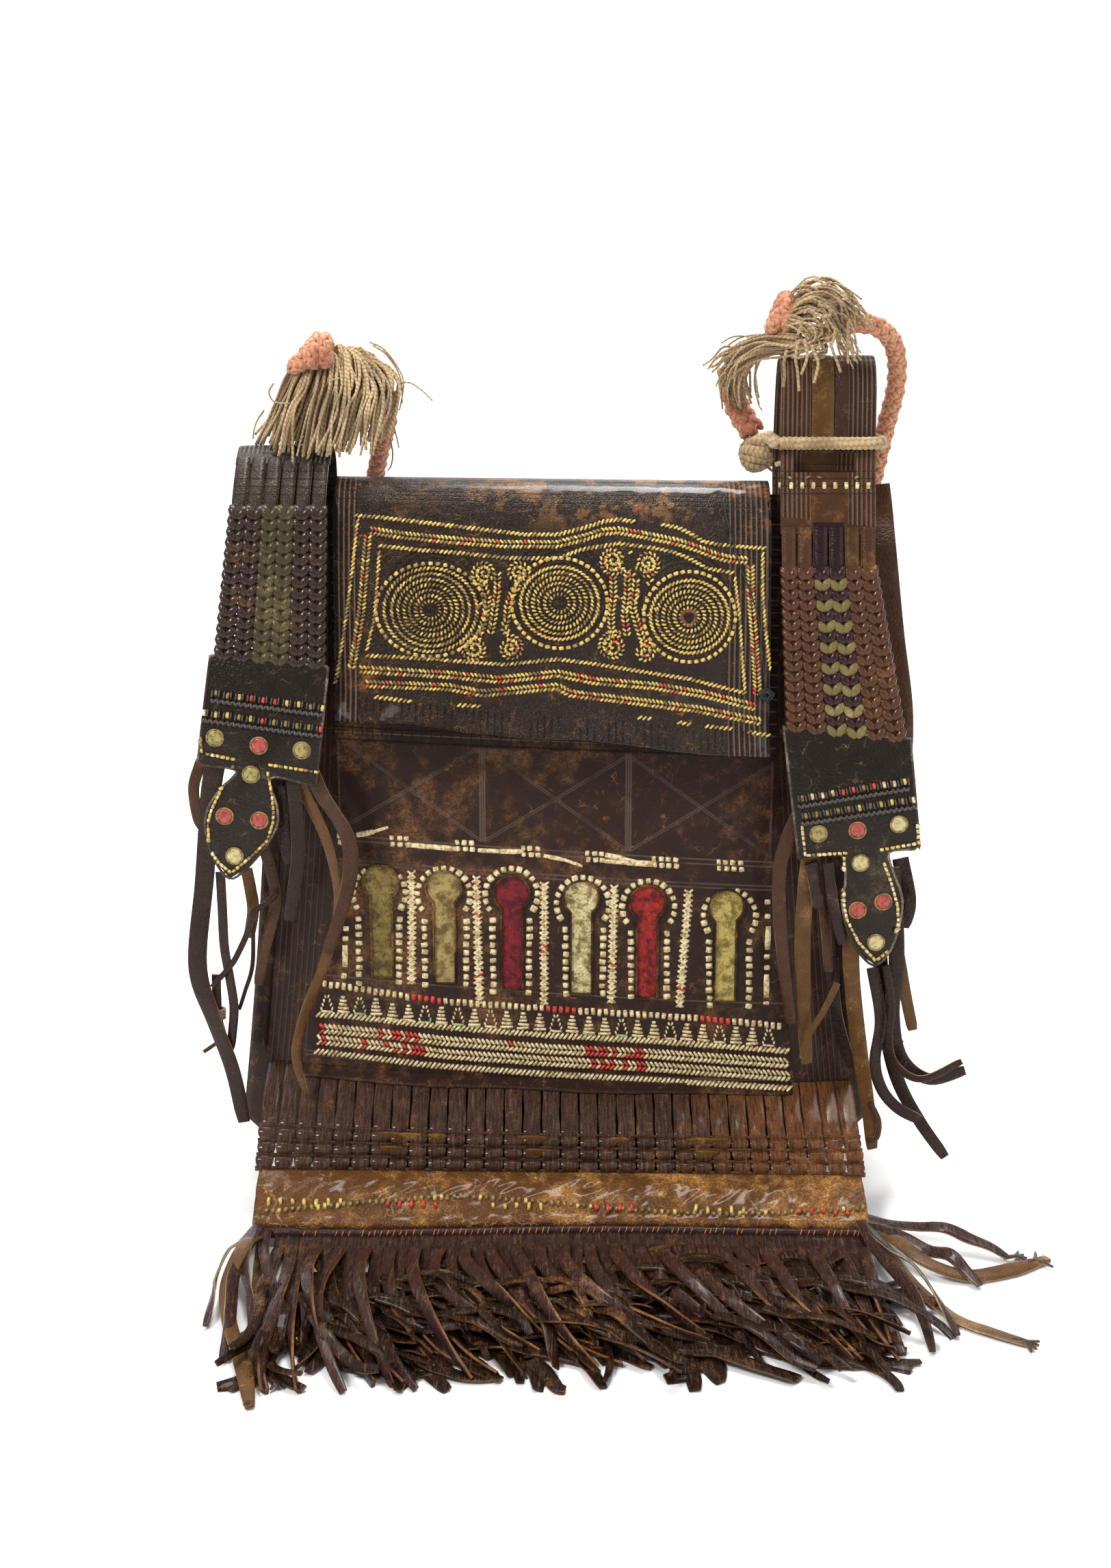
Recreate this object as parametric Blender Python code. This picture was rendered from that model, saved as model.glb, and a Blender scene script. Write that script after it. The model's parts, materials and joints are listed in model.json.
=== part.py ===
"""A desert shoulder bag of dark leather, worked all over with stitched slips of dyed hide.

Metres, +Z up, the front towards -Y. The origin is the centre of the pouch's flat base.
The pouch stands on its base, its apron and fringe run forward over the ground, two
hangers of plaited thongs carry a plate each, and the carrying cord hangs down behind.
"""

import math
import random

import bpy
import bmesh
from mathutils import Matrix, Vector

# Clearance between pieces that touch
GAP = 0.0003

# The pouch
MOUTH_HEIGHT = 0.430
MOUTH_HALF_WIDTH = 0.172
BASE_HALF_WIDTH = 0.2015
FLAT_HALF_WIDTH = 0.130
CORNER_RISE = 0.035
MOUTH_DEPTH = 0.026
BASE_DEPTH = 0.070
SIDE_MOUTH_DEPTH = 0.020
SIDE_BASE_DEPTH = 0.034
POUCH_LEATHER = 0.0025
SEAM_MARGIN = 0.003
GUSSET_DROP = 0.012

# The worked front: an openwork panel over dyed inlays, and the strip under the flap
INLAY_LEATHER = 0.0008
PANEL_LEATHER = 0.0016
PANEL_TOP = 0.360
PANEL_TOP_HALF_WIDTH = 0.1335
PANEL_SHOULDER = 0.215
PANEL_BOTTOM = 0.0662
PANEL_BOTTOM_HALF_WIDTH = 0.150
PANEL_BOTTOM_SLOPE = 0.039
KEYHOLE_X = (-0.108, -0.069, -0.027, 0.016, 0.057, 0.106)
KEYHOLE_HEIGHT = 0.1875
KEYHOLE_FOOT = 0.1260
KEYHOLE_SLOPE = 0.074
KEYHOLE_RADIUS = 0.0112
KEYHOLE_SLOT_WIDTH = 0.0134
INLAY_OVERLAP = 0.003
STRIP_TOP = 0.416
STRIP_BOTTOM = 0.2795
STRIP_HALF_WIDTH = 0.134
STRIP_SLOPE = 0.040

# The apron: a woven band and a seam band that slope forward to the ground
BAND_LEFT = -0.184
BAND_RIGHT = 0.190
BAND_STRIPS = 32
BAND_SLIT = 0.0011
BAND_LEATHER = 0.0018
BAND_FRONT_Y = -0.083
BAND_FRONT_Z = 0.0270
BAND_LEAN = math.radians(40)
BAND_LEAN_RUN = 0.012
BAND_ROWS = (0.0, 0.06, 0.58, 0.60, 0.725, 0.735, 0.86, 0.87, 0.99, 1.0)
SEAM_FRONT_Y = -0.117
SEAM_FRONT_Z = 0.0085
SEAM_LEATHER = 0.0022
APRON_WAVE = 0.0022
APRON_WAVE_LENGTH = 0.310
PIPING_RADIUS = 0.0030
PIPING_STEP = 0.0002

# The fringe and the long thongs that lie on the ground
FRINGE_LEFT = -0.166
FRINGE_RIGHT = 0.184
FRINGE_STRANDS = 38
FRINGE_SLIT = 0.0016
FRINGE_LEATHER = 0.0018
FRINGE_HEADER = 0.011
FRINGE_REACH = 0.136
FRINGE_SWEEP = 0.030
FRINGE_LIFTS = (0.004, 0.020, 0.010)
GROUND_THONG_WIDTH = 0.012
THONG_LEATHER = 0.0018

# The flap, hinged where it leaves the back of the mouth
FLAP_LEFT = -0.1300
FLAP_RIGHT = 0.1265
FLAP_LEATHER = 0.0024
FLAP_COLUMNS = 12
HINGE_Y = 0.0118
HINGE_RISE = 0.0016
FLAP_FOLD_SLOPE = 0.030
FLAP_LIP_SLOPE = 0.090
FLAP_LIP_WAVE = 0.0016

# The hangers
HANGER_WIDTH = 0.0555
LEFT_HANGER_X = -0.1605
RIGHT_HANGER_X = 0.1595
HANGER_LEATHER = 0.0022
FINGERS = 6
FINGER_SLIT = 0.0011
BRAID_THICKNESS = 0.0040
BRAID_LOBES = 6
PLATE_LEATHER = 0.0022
BACKING_LEATHER = 0.0010
BACKING_SHARE = 0.90
BOSS_SINK = 0.0004
DISC_RADIUS = 0.0048
PLATE_LEAN = 0.050
WINDOW_SIDES = 12

# Cords
CARRY_RADIUS = 0.0065
TIE_RADIUS = 0.0022
LIMB_RADIUS = 0.0040
KNOT_RADIUS = 0.0085
THREAD_RADIUS = 0.0007


# Plain sums

def mix(first, last, share):
    return first + (last - first) * share


def held(value, low=0.0, high=1.0):
    return min(max(value, low), high)


# Building tools

def leather(name, colour, roughness=0.6):
    finish = bpy.data.materials.new(name)
    finish.use_nodes = True
    shader = finish.node_tree.nodes["Principled BSDF"]
    shader.inputs["Base Color"].default_value = (*colour, 1.0)
    shader.inputs["Roughness"].default_value = roughness
    shader.inputs["Metallic"].default_value = 0.0
    return finish


def add_piece(name, mesh, finish, origin=(0, 0, 0)):
    """Turns a bmesh into a named object whose faces point out."""
    bmesh.ops.translate(mesh, verts=mesh.verts, vec=-Vector(origin))
    bmesh.ops.recalc_face_normals(mesh, faces=mesh.faces)
    data = bpy.data.meshes.new(name)
    mesh.to_mesh(data)
    mesh.free()
    data.materials.append(finish)
    piece = bpy.data.objects.new(name, data)
    piece.location = origin
    bpy.context.scene.collection.objects.link(piece)
    return piece


def thicken(piece, thickness, offset=0.0):
    wall = piece.modifiers.new("leather", "SOLIDIFY")
    wall.thickness = thickness
    wall.offset = offset
    wall.use_even_offset = True
    return piece


def as_guide(piece):
    piece.hide_render = True
    piece.display_type = "WIRE"
    return piece


def combine(piece, other, operation):
    step = piece.modifiers.new(other.name, "BOOLEAN")
    step.operation = operation
    step.solver = "EXACT"
    step.object = other


def outline_face(mesh, outline, y=0.0):
    return mesh.faces.new([mesh.verts.new((x, y, z)) for x, z in outline])


def layer(name, outline, back_y, thickness, finish, lines_x=(), lines_z=()):
    """A sheet cut to an outline, laid with its back on the surface y = back_y(x, z)."""
    mesh = bmesh.new()
    outline_face(mesh, outline)
    for normal, lines in (((1, 0, 0), lines_x), ((0, 0, 1), lines_z)):
        for line in lines:
            whole = mesh.verts[:] + mesh.edges[:] + mesh.faces[:]
            place = [part * line for part in normal]
            bmesh.ops.bisect_plane(mesh, geom=whole, dist=1e-6, plane_co=place, plane_no=normal)
    for vert in mesh.verts:
        vert.co.y = back_y(vert.co.x, vert.co.z)
    grown = bmesh.ops.extrude_face_region(mesh, geom=mesh.faces[:])["geom"]
    face_verts = [item for item in grown if isinstance(item, bmesh.types.BMVert)]
    bmesh.ops.translate(mesh, verts=face_verts, vec=(0, -thickness, 0))
    return add_piece(name, mesh, finish)


def prisms(name, outlines, near_y, far_y, finish):
    """Straight bars through a sheet, one for each outline, all in one object."""
    mesh = bmesh.new()
    for outline in outlines:
        face = outline_face(mesh, outline, near_y)
        grown = bmesh.ops.extrude_face_region(mesh, geom=[face])["geom"]
        verts = [item for item in grown if isinstance(item, bmesh.types.BMVert)]
        bmesh.ops.translate(mesh, verts=verts, vec=(0, far_y - near_y, 0))
    return add_piece(name, mesh, finish)


def ring_edges(items):
    verts = {item for item in items if isinstance(item, bmesh.types.BMVert)}
    edges = [item for item in items if isinstance(item, bmesh.types.BMEdge)]
    return list(verts), [edge for edge in edges if all(vert in verts for vert in edge.verts)]


FLAT = ((-1, -1), (1, -1), (1, 1), (-1, 1))
OVAL_6 = tuple((math.cos(k * math.tau / 6), math.sin(k * math.tau / 6)) for k in range(6))
OVAL_8 = tuple((math.cos(k * math.tau / 8), math.sin(k * math.tau / 8)) for k in range(8))


def station_frames(stations, across):
    """A matrix for each station: its half width, its half thickness, its run and its place."""
    points = [Vector(point) for point, width, depth in stations]
    frames = []
    for index, (point, width, depth) in enumerate(stations):
        before = points[max(index - 1, 0)]
        after = points[min(index + 1, len(points) - 1)]
        run = (after - before).normalized()
        side = (Vector(across) - run * run.dot(Vector(across))).normalized()
        frames.append(Matrix((side * width, run.cross(side) * depth, run)).transposed().to_4x4())
        frames[-1].translation = points[index]
    return frames


def swept(name, stations, profile, finish, across=(1, 0, 0), origin=(0, 0, 0)):
    """A bar grown ring by ring through stations of (place, half width, half thickness)."""
    mesh = bmesh.new()
    frames = station_frames(stations, across)
    start = mesh.faces.new([mesh.verts.new(frames[0] @ Vector((a, b, 0))) for a, b in profile])
    edges = start.edges[:]
    for before, after in zip(frames, frames[1:]):
        grown = bmesh.ops.extrude_edge_only(mesh, edges=edges)["geom"]
        verts, edges = ring_edges(grown)
        bmesh.ops.transform(mesh, matrix=after @ before.inverted(), verts=verts)
    bmesh.ops.edgeloop_fill(mesh, edges=edges)
    return add_piece(name, mesh, finish, origin)


def smooth_route(points, count):
    """Reads count points, evenly spaced, from a smooth curve through the route's own points."""
    knots = [Vector(point) for point in points]
    knots = [2 * knots[0] - knots[1]] + knots + [2 * knots[-1] - knots[-2]]
    fine = []
    for p0, p1, p2, p3 in zip(knots, knots[1:], knots[2:], knots[3:]):
        for step in range(12):
            t = step / 12
            fine.append(0.5 * (2 * p1 + (p2 - p0) * t + (2 * p0 - 5 * p1 + 4 * p2 - p3) * t * t
                               + (3 * p1 - 3 * p2 + p3 - p0) * t ** 3))
    fine.append(knots[-2])
    runs = [0.0]
    for first, last in zip(fine, fine[1:]):
        runs.append(runs[-1] + (last - first).length)
    route = []
    index = 0
    for number in range(count):
        target = runs[-1] * number / (count - 1)
        while index < len(runs) - 2 and runs[index + 1] < target:
            index += 1
        share = (target - runs[index]) / (runs[index + 1] - runs[index])
        route.append(fine[index].lerp(fine[index + 1], held(share)))
    return route


def cord(name, points, radius, finish, sides_level=2, cyclic=False, origin=(0, 0, 0)):
    """A round cord along a poly spline, with its ends filled."""
    curve = bpy.data.curves.new(name, "CURVE")
    curve.dimensions = "3D"
    curve.bevel_depth = radius
    curve.bevel_resolution = sides_level
    curve.use_fill_caps = True
    spline = curve.splines.new("POLY")
    spline.points.add(len(points) - 1)
    for spot, point in zip(spline.points, points):
        spot.co = (*(Vector(point) - Vector(origin)), 1.0)
    spline.use_cyclic_u = cyclic
    curve.materials.append(finish)
    piece = bpy.data.objects.new(name, curve)
    piece.location = origin
    bpy.context.scene.collection.objects.link(piece)
    return piece


# Materials

DARK = leather("dark_leather", (0.030, 0.019, 0.014), 0.50)
BROWN = leather("brown_leather", (0.060, 0.030, 0.018), 0.55)
PANEL_BROWN = leather("panel_leather", (0.045, 0.026, 0.018), 0.60)
PLUM = leather("plum_leather", (0.040, 0.018, 0.016), 0.45)
SEAM_GOLD = leather("seam_leather", (0.150, 0.080, 0.025), 0.60)
TAN = leather("tan_thongs", (0.180, 0.085, 0.030), 0.60)
OLIVE = leather("olive_hide", (0.210, 0.190, 0.070), 0.70)
GOLD = leather("gold_hide", (0.300, 0.230, 0.090), 0.70)
RED = leather("red_hide", (0.280, 0.020, 0.020), 0.65)
CREAM = leather("cream_hide", (0.600, 0.520, 0.300), 0.70)
SALMON = leather("salmon_cord", (0.620, 0.300, 0.180), 0.85)
UNDYED = leather("undyed_cord", (0.700, 0.590, 0.430), 0.85)
BLACK = leather("black_thread", (0.020, 0.020, 0.022), 0.80)


# The pouch: two leather faces with a gusset sewn between them round the sides and base

def half_depth(x, z):
    """Half the pouch's depth, front to back, out to the faces of its two panels."""
    up = held(z / MOUTH_HEIGHT)
    across = held(abs(x) / BASE_HALF_WIDTH)
    middle = mix(BASE_DEPTH, MOUTH_DEPTH, up ** 1.6) / 2
    side = mix(SIDE_BASE_DEPTH, SIDE_MOUTH_DEPTH, up) / 2
    return mix(middle, side, across ** 2.5)


def side_x(z):
    up = held((z - CORNER_RISE) / (MOUTH_HEIGHT - CORNER_RISE))
    return mix(MOUTH_HALF_WIDTH, BASE_HALF_WIDTH, (1 - up) ** 1.8)


def bottom_z(x):
    out = held((abs(x) - FLAT_HALF_WIDTH) / (BASE_HALF_WIDTH - FLAT_HALF_WIDTH))
    return CORNER_RISE * out ** 2


SIDE_STEPS = 8
CORNER_STEPS = 5


def right_edge(top_z, inset=0.0):
    """The pouch's right edge, from the mouth down the side and in along the base."""
    side = [mix(top_z, CORNER_RISE, step / SIDE_STEPS) for step in range(SIDE_STEPS + 1)]
    edge = [(side_x(z) - inset, z) for z in side]
    for step in range(1, CORNER_STEPS + 1):
        x = mix(BASE_HALF_WIDTH - inset, FLAT_HALF_WIDTH, step / CORNER_STEPS)
        edge.append((x, bottom_z(x)))
    return edge


def mirrored(edge):
    return [(-x, z) for x, z in reversed(edge)]


FACE_LINES_X = [sign * x for x in (0.03, 0.06, 0.09, 0.12, 0.145, 0.165, 0.182) for sign in (-1, 1)] + [0.0]
FACE_LINES_Z = (0.02, 0.05, 0.09, 0.14, 0.19, 0.24, 0.29, 0.34, 0.39)


def front_at(offset):
    """The surface that lies offset in front of the pouch's front face."""
    return lambda x, z: -half_depth(x, z) - offset


def build_pouch():
    right = right_edge(MOUTH_HEIGHT)
    outline = right + mirrored(right)
    layer("front_panel", outline, front_at(-POUCH_LEATHER), POUCH_LEATHER, PANEL_BROWN,
          FACE_LINES_X, FACE_LINES_Z)
    layer("back_panel", outline, half_depth, POUCH_LEATHER, PANEL_BROWN, FACE_LINES_X, FACE_LINES_Z)

    wall_right = right_edge(MOUTH_HEIGHT - GUSSET_DROP, SEAM_MARGIN)
    path = wall_right + mirrored(wall_right)
    mesh = bmesh.new()
    verts = [mesh.verts.new((x, POUCH_LEATHER + 2 * GAP - half_depth(x, z), z)) for x, z in path]
    edges = [mesh.edges.new(pair) for pair in zip(verts, verts[1:])]
    grown = bmesh.ops.extrude_edge_only(mesh, edges=edges)["geom"]
    bmesh.ops.scale(mesh, vec=(1, -1, 1), verts=ring_edges(grown)[0])
    mesh.normal_update()
    lowest = min(mesh.faces, key=lambda face: face.calc_center_median().z)
    if lowest.normal.z > 0:
        bmesh.ops.reverse_faces(mesh, faces=mesh.faces)
    grown = bmesh.ops.extrude_face_region(mesh, geom=mesh.faces[:])["geom"]
    for vert in ring_edges(grown)[0]:
        vert.co -= vert.normal * POUCH_LEATHER
    add_piece("gusset", mesh, BROWN)


# The worked front

def panel_bottom(x):
    return PANEL_BOTTOM - PANEL_BOTTOM_SLOPE * x


def keyhole_outline(x, grow=0.0):
    """A round head over a straight slot, grown outwards for the inlay behind it."""
    centre_z = KEYHOLE_HEIGHT - KEYHOLE_SLOPE * x
    foot_z = KEYHOLE_FOOT - KEYHOLE_SLOPE * x - grow
    radius = KEYHOLE_RADIUS + grow
    slot = KEYHOLE_SLOT_WIDTH / 2 + grow
    open_angle = math.asin(slot / radius)
    start = -math.pi / 2 + open_angle
    sweep = math.tau - 2 * open_angle
    arc = [start + sweep * step / 14 for step in range(15)]
    head = [(x + radius * math.cos(angle), centre_z + radius * math.sin(angle)) for angle in arc]
    return head + [(x - slot, foot_z), (x + slot, foot_z)]


def build_front():
    inlay_finishes = (OLIVE, GOLD, RED, CREAM, RED, OLIVE)
    for number, (x, finish) in enumerate(zip(KEYHOLE_X, inlay_finishes), 1):
        layer(f"keyhole_inlay_{number}", keyhole_outline(x, INLAY_OVERLAP), front_at(GAP),
              INLAY_LEATHER, finish, (), FACE_LINES_Z)

    right = [(PANEL_BOTTOM_HALF_WIDTH, panel_bottom(PANEL_BOTTOM_HALF_WIDTH)),
             (PANEL_TOP_HALF_WIDTH, PANEL_SHOULDER), (PANEL_TOP_HALF_WIDTH, PANEL_TOP)]
    left = [(-PANEL_TOP_HALF_WIDTH, PANEL_TOP), (-PANEL_TOP_HALF_WIDTH, PANEL_SHOULDER),
            (-PANEL_BOTTOM_HALF_WIDTH, panel_bottom(-PANEL_BOTTOM_HALF_WIDTH))]
    panel_offset = INLAY_LEATHER + 2 * GAP
    panel = layer("keyhole_panel", right + left, front_at(panel_offset), PANEL_LEATHER, PANEL_BROWN,
                  FACE_LINES_X, FACE_LINES_Z)
    windows = prisms("keyhole_cutter", [keyhole_outline(x) for x in KEYHOLE_X], 0.0, -BASE_DEPTH, RED)
    combine(panel, as_guide(windows), "DIFFERENCE")

    strip_left = STRIP_BOTTOM + STRIP_SLOPE * STRIP_HALF_WIDTH
    strip_right = STRIP_BOTTOM - STRIP_SLOPE * STRIP_HALF_WIDTH
    strip = [(STRIP_HALF_WIDTH, strip_right), (STRIP_HALF_WIDTH, STRIP_TOP),
             (-STRIP_HALF_WIDTH, STRIP_TOP), (-STRIP_HALF_WIDTH, strip_left)]
    layer("under_flap_strip", strip, front_at(panel_offset + PANEL_LEATHER + GAP), PANEL_LEATHER,
          DARK, FACE_LINES_X, FACE_LINES_Z)


# The apron

def apron_wave(x):
    return APRON_WAVE * math.sin(math.tau * (x + 0.045) / APRON_WAVE_LENGTH)


def band_point(x, share):
    """A point of the woven band's back, from its top edge on the pouch to its front edge."""
    top_z = panel_bottom(x) - 2 * GAP
    top_y = -half_depth(x, top_z) - GAP
    front_z = BAND_FRONT_Z - 0.012 * x
    bow = 0.004 * math.sin(math.pi * share)
    return mix(top_y, BAND_FRONT_Y, share) - bow, mix(top_z, front_z, share)


def build_woven_band():
    """Upright strips with slits between, laced through three tight cross rows below."""
    pitch = (BAND_RIGHT - BAND_LEFT) / BAND_STRIPS
    columns = [BAND_LEFT]
    for strip in range(1, BAND_STRIPS):
        middle = BAND_LEFT + pitch * strip
        columns += [middle - BAND_SLIT / 2, middle + BAND_SLIT / 2]
    columns.append(BAND_RIGHT)
    mesh = bmesh.new()
    grid = [[mesh.verts.new((x, *band_point(x, share))) for share in BAND_ROWS] for x in columns]
    pads, valleys = [], []
    for column, (left, right) in enumerate(zip(grid, grid[1:])):
        for row in range(len(BAND_ROWS) - 1):
            is_gap = column % 2 == 1
            if is_gap and row == 1:
                continue
            face = mesh.faces.new((left[row], left[row + 1], right[row + 1], right[row]))
            wide_row = row in (1, 3, 5, 7)
            (pads if wide_row and not is_gap else valleys).append((face, column // 2, row))
    mesh.normal_update()
    if pads[0][0].normal.y > 0:
        bmesh.ops.reverse_faces(mesh, faces=mesh.faces)
    base = mesh.faces[:]
    back = bmesh.ops.duplicate(mesh, geom=base)
    pad_faces = [face for face, column, row in pads]
    raised = [face for face, column, row in pads if row == 1 or (column + row // 2) % 2 == 0]
    low = [face for face in pad_faces if face not in raised]
    back_verts = [item for item in back["geom"] if isinstance(item, bmesh.types.BMVert)]
    back_faces = [item for item in back["geom"] if isinstance(item, bmesh.types.BMFace)]
    front_of = {vert: back["vert_map"][vert] for vert in back_verts}
    for vert in front_of.values():
        drop = held((panel_bottom(vert.co.x) - 2 * GAP - vert.co.z) / BAND_LEAN_RUN)
        vert.co += Vector((0, -math.cos(BAND_LEAN * drop), math.sin(BAND_LEAN * drop))) * BAND_LEATHER
    rims = [edge for edge in mesh.edges if edge.is_boundary]
    for first, last in (edge.verts for edge in rims if edge.verts[0] in front_of):
        mesh.faces.new((first, last, front_of[last], front_of[first]))
    bmesh.ops.reverse_faces(mesh, faces=back_faces)
    bmesh.ops.inset_individual(mesh, faces=raised, thickness=0.0014, depth=0.0012)
    bmesh.ops.inset_individual(mesh, faces=low, thickness=0.0014, depth=0.0004)
    add_piece("woven_band", mesh, PLUM)


def build_seam_band():
    rows = 3
    columns = 14
    mesh = bmesh.new()
    grid = []
    for number in range(columns + 1):
        x = mix(BAND_LEFT + 0.003, BAND_RIGHT - 0.003, number / columns)
        back_z = BAND_FRONT_Z - 0.012 * x
        line = []
        for row in range(rows + 1):
            share = row / rows
            y = mix(BAND_FRONT_Y - 0.0016, SEAM_FRONT_Y + apron_wave(x), share)
            z = mix(back_z, SEAM_FRONT_Z, share) + 0.003 * math.sin(math.pi * share)
            line.append(mesh.verts.new((x, y, z)))
        grid.append(line)
    for left, right in zip(grid, grid[1:]):
        for row in range(rows):
            mesh.faces.new((left[row], left[row + 1], right[row + 1], right[row]))
    thicken(add_piece("seam_band", mesh, SEAM_GOLD), SEAM_LEATHER)

    stations = []
    for number in range(25):
        x = mix(BAND_LEFT + 0.004, BAND_RIGHT - 0.004, number / 24)
        y = SEAM_FRONT_Y + apron_wave(x) - PIPING_STEP - GAP - PIPING_RADIUS
        stations.append(((x, y, 0.0072), PIPING_RADIUS, PIPING_RADIUS))
    swept("seam_piping", stations, OVAL_8, PLUM, across=(0, 1, 0))


# The fringe: one leather strip cut into strands that sweep forward over the ground

def build_fringe():
    draw = random.Random(11)
    pitch = (FRINGE_RIGHT - FRINGE_LEFT) / FRINGE_STRANDS
    header_y = SEAM_FRONT_Y - PIPING_STEP - 2 * PIPING_RADIUS - 2 * GAP
    floor_z = FRINGE_LEATHER / 2 + 0.0004
    mesh = bmesh.new()

    def header_pair(x):
        back = mesh.verts.new((x, header_y + apron_wave(x) - 0.0002, 0.0060))
        return back, mesh.verts.new((x, header_y - FRINGE_HEADER, 0.0034))

    edges_x = []
    for strand in range(FRINGE_STRANDS):
        left = FRINGE_LEFT + pitch * strand
        edges_x += [left + FRINGE_SLIT / 2, left + pitch - FRINGE_SLIT / 2]
    header = [header_pair(x) for x in edges_x]
    for left, right in zip(header, header[1:]):
        mesh.faces.new((left[0], left[1], right[1], right[0]))
    steps = 6
    for strand in range(FRINGE_STRANDS):
        left_vert = header[2 * strand][1]
        right_vert = header[2 * strand + 1][1]
        edge = mesh.edges.get((left_vert, right_vert))
        share_across = strand / (FRINGE_STRANDS - 1)
        sweep = FRINGE_SWEEP * (1 - share_across)
        reach = FRINGE_REACH + draw.uniform(-0.010, 0.008)
        lift = FRINGE_LIFTS[strand % 3]
        half = (edges_x[2 * strand + 1] - edges_x[2 * strand]) / 2
        root_x = edges_x[2 * strand] + half
        for step in range(1, steps + 1):
            share = step / steps
            grown = bmesh.ops.extrude_edge_only(mesh, edges=[edge])["geom"]
            verts, ends = ring_edges(grown)
            edge = ends[0]
            x = root_x + sweep * share ** 1.6
            y = header_y - FRINGE_HEADER - reach * share
            z = mix(0.0034, floor_z, share) + lift * math.sin(math.pi * share ** 0.9)
            verts.sort(key=lambda vert: vert.co.x)
            slim = half * mix(1.0, 0.88, share)
            verts[0].co = (x - slim, y, z)
            verts[1].co = (x + slim, y, z)
    thicken(add_piece("fringe", mesh, PLUM), FRINGE_LEATHER)


def flat_thong(name, points, half_widths, thickness, finish, across=(1, 0, 0)):
    stations = [(point, width, thickness / 2) for point, width in zip(points, half_widths)]
    return swept(name, stations, FLAT, finish, across)


def level_thong(name, points, half_widths, thickness, finish):
    """A thong that lies flat, with its thickness upward wherever it turns."""
    stations = [(point, thickness / 2, width) for point, width in zip(points, half_widths)]
    return swept(name, stations, FLAT, finish, (0, 0, 1))


def build_ground_thongs():
    """Long thongs from the two ends of the apron that curl over the ground."""
    half = GROUND_THONG_WIDTH / 2
    routes = {
        "corner_thong_left_1": ((-0.1745, -0.1255, 0.0080), (-0.180, -0.150, 0.0150), (-0.1845, -0.185, 0.0100),
                                (-0.177, -0.222, 0.0075), (-0.164, -0.258, 0.0050), (-0.155, -0.292, 0.0016)),
        "corner_thong_left_2": ((-0.1745, -0.1243, 0.0032), (-0.171, -0.150, 0.0014), (-0.1670, -0.190, 0.0014),
                                (-0.160, -0.225, 0.0014), (-0.1525, -0.250, 0.0014), (-0.1455, -0.268, 0.0014)),
        "corner_thong_right_1": ((0.1904, -0.1110, 0.0045), (0.200, -0.138, 0.0110), (0.214, -0.158, 0.0080),
                                 (0.236, -0.166, 0.0040), (0.262, -0.158, 0.0030), (0.288, -0.143, 0.0020)),
        "corner_thong_right_2": ((0.1915, -0.1130, 0.0022), (0.198, -0.150, 0.0016), (0.208, -0.182, 0.0016),
                                 (0.221, -0.208, 0.0016), (0.238, -0.222, 0.0016), (0.256, -0.234, 0.0016)),
    }
    for name, points in routes.items():
        widths = [half * share for share in (0.9, 1.0, 0.85, 0.9, 1.1, 0.8)]
        level_thong(name, points, widths, THONG_LEATHER, TAN)


# The flap: it rises from the back of the mouth, folds over and hangs in front

HINGE = Vector((0.0, HINGE_Y, MOUTH_HEIGHT + HINGE_RISE))
# Steps of (forward of the hinge, above the hinge) down the middle of the leather
FLAP_STEPS = ((0.0, 0.0), (0.0078, 0.0056), (0.0178, 0.0084), (0.0278, 0.0058), (0.0358, -0.0026),
              (0.0418, -0.0186), (0.0473, -0.0416), (0.0518, -0.0666), (0.0553, -0.0916),
              (0.0578, -0.1166), (0.0608, -0.1370))
FOLD_STEP = 3


def flap_point(x, step, lift=0.0):
    """A point of the flap at a step down its length, raised from its middle by lift."""
    forward, rise = FLAP_STEPS[step]
    nearer = Vector(FLAP_STEPS[max(step - 1, 0)])
    farther = Vector(FLAP_STEPS[min(step + 1, len(FLAP_STEPS) - 1)])
    run = (farther - nearer).normalized()
    forward -= run.y * lift
    rise += run.x * lift
    last = len(FLAP_STEPS) - 1
    if step <= FOLD_STEP:
        slope = FLAP_FOLD_SLOPE * step / FOLD_STEP
    else:
        slope = mix(FLAP_FOLD_SLOPE, FLAP_LIP_SLOPE, (step - FOLD_STEP) / (last - FOLD_STEP))
    belly = 0.003 * math.cos(math.pi * x / (FLAP_RIGHT - FLAP_LEFT)) * step / last
    wave = FLAP_LIP_WAVE * math.sin(math.tau * x / 0.115) * (step / last) ** 3
    return Vector((x, HINGE.y - forward - belly - wave, HINGE.z + rise - slope * x + wave))


def build_flap():
    mesh = bmesh.new()
    columns = [mix(FLAP_LEFT, FLAP_RIGHT, number / FLAP_COLUMNS) for number in range(FLAP_COLUMNS + 1)]
    grid = [[mesh.verts.new(flap_point(x, step)) for step in range(len(FLAP_STEPS))] for x in columns]
    for left, right in zip(grid, grid[1:]):
        for step in range(len(FLAP_STEPS) - 1):
            mesh.faces.new((left[step], left[step + 1], right[step + 1], right[step]))
    flap = thicken(add_piece("flap", mesh, DARK, HINGE), FLAP_LEATHER)

    clear = FLAP_LEATHER / 2 + GAP + THREAD_RADIUS + 0.0003
    thread_x = (0.1130, 0.1080, 0.1040, 0.1045, 0.1065, 0.1085, 0.1110, 0.1150)
    points = [flap_point(x, step, clear) for step, x in enumerate(thread_x, 2)]
    thread = cord("black_thread", points, THREAD_RADIUS, BLACK, 2, origin=HINGE)
    thread.parent = flap
    thread.matrix_parent_inverse = Matrix.Translation(HINGE).inverted()


# The hangers: a folded strap cut into fingers, six plaits, and a plate with its tongue

def on_back(x, z):
    return half_depth(x, z) + GAP + HANGER_LEATHER / 2 + 0.0002


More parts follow.
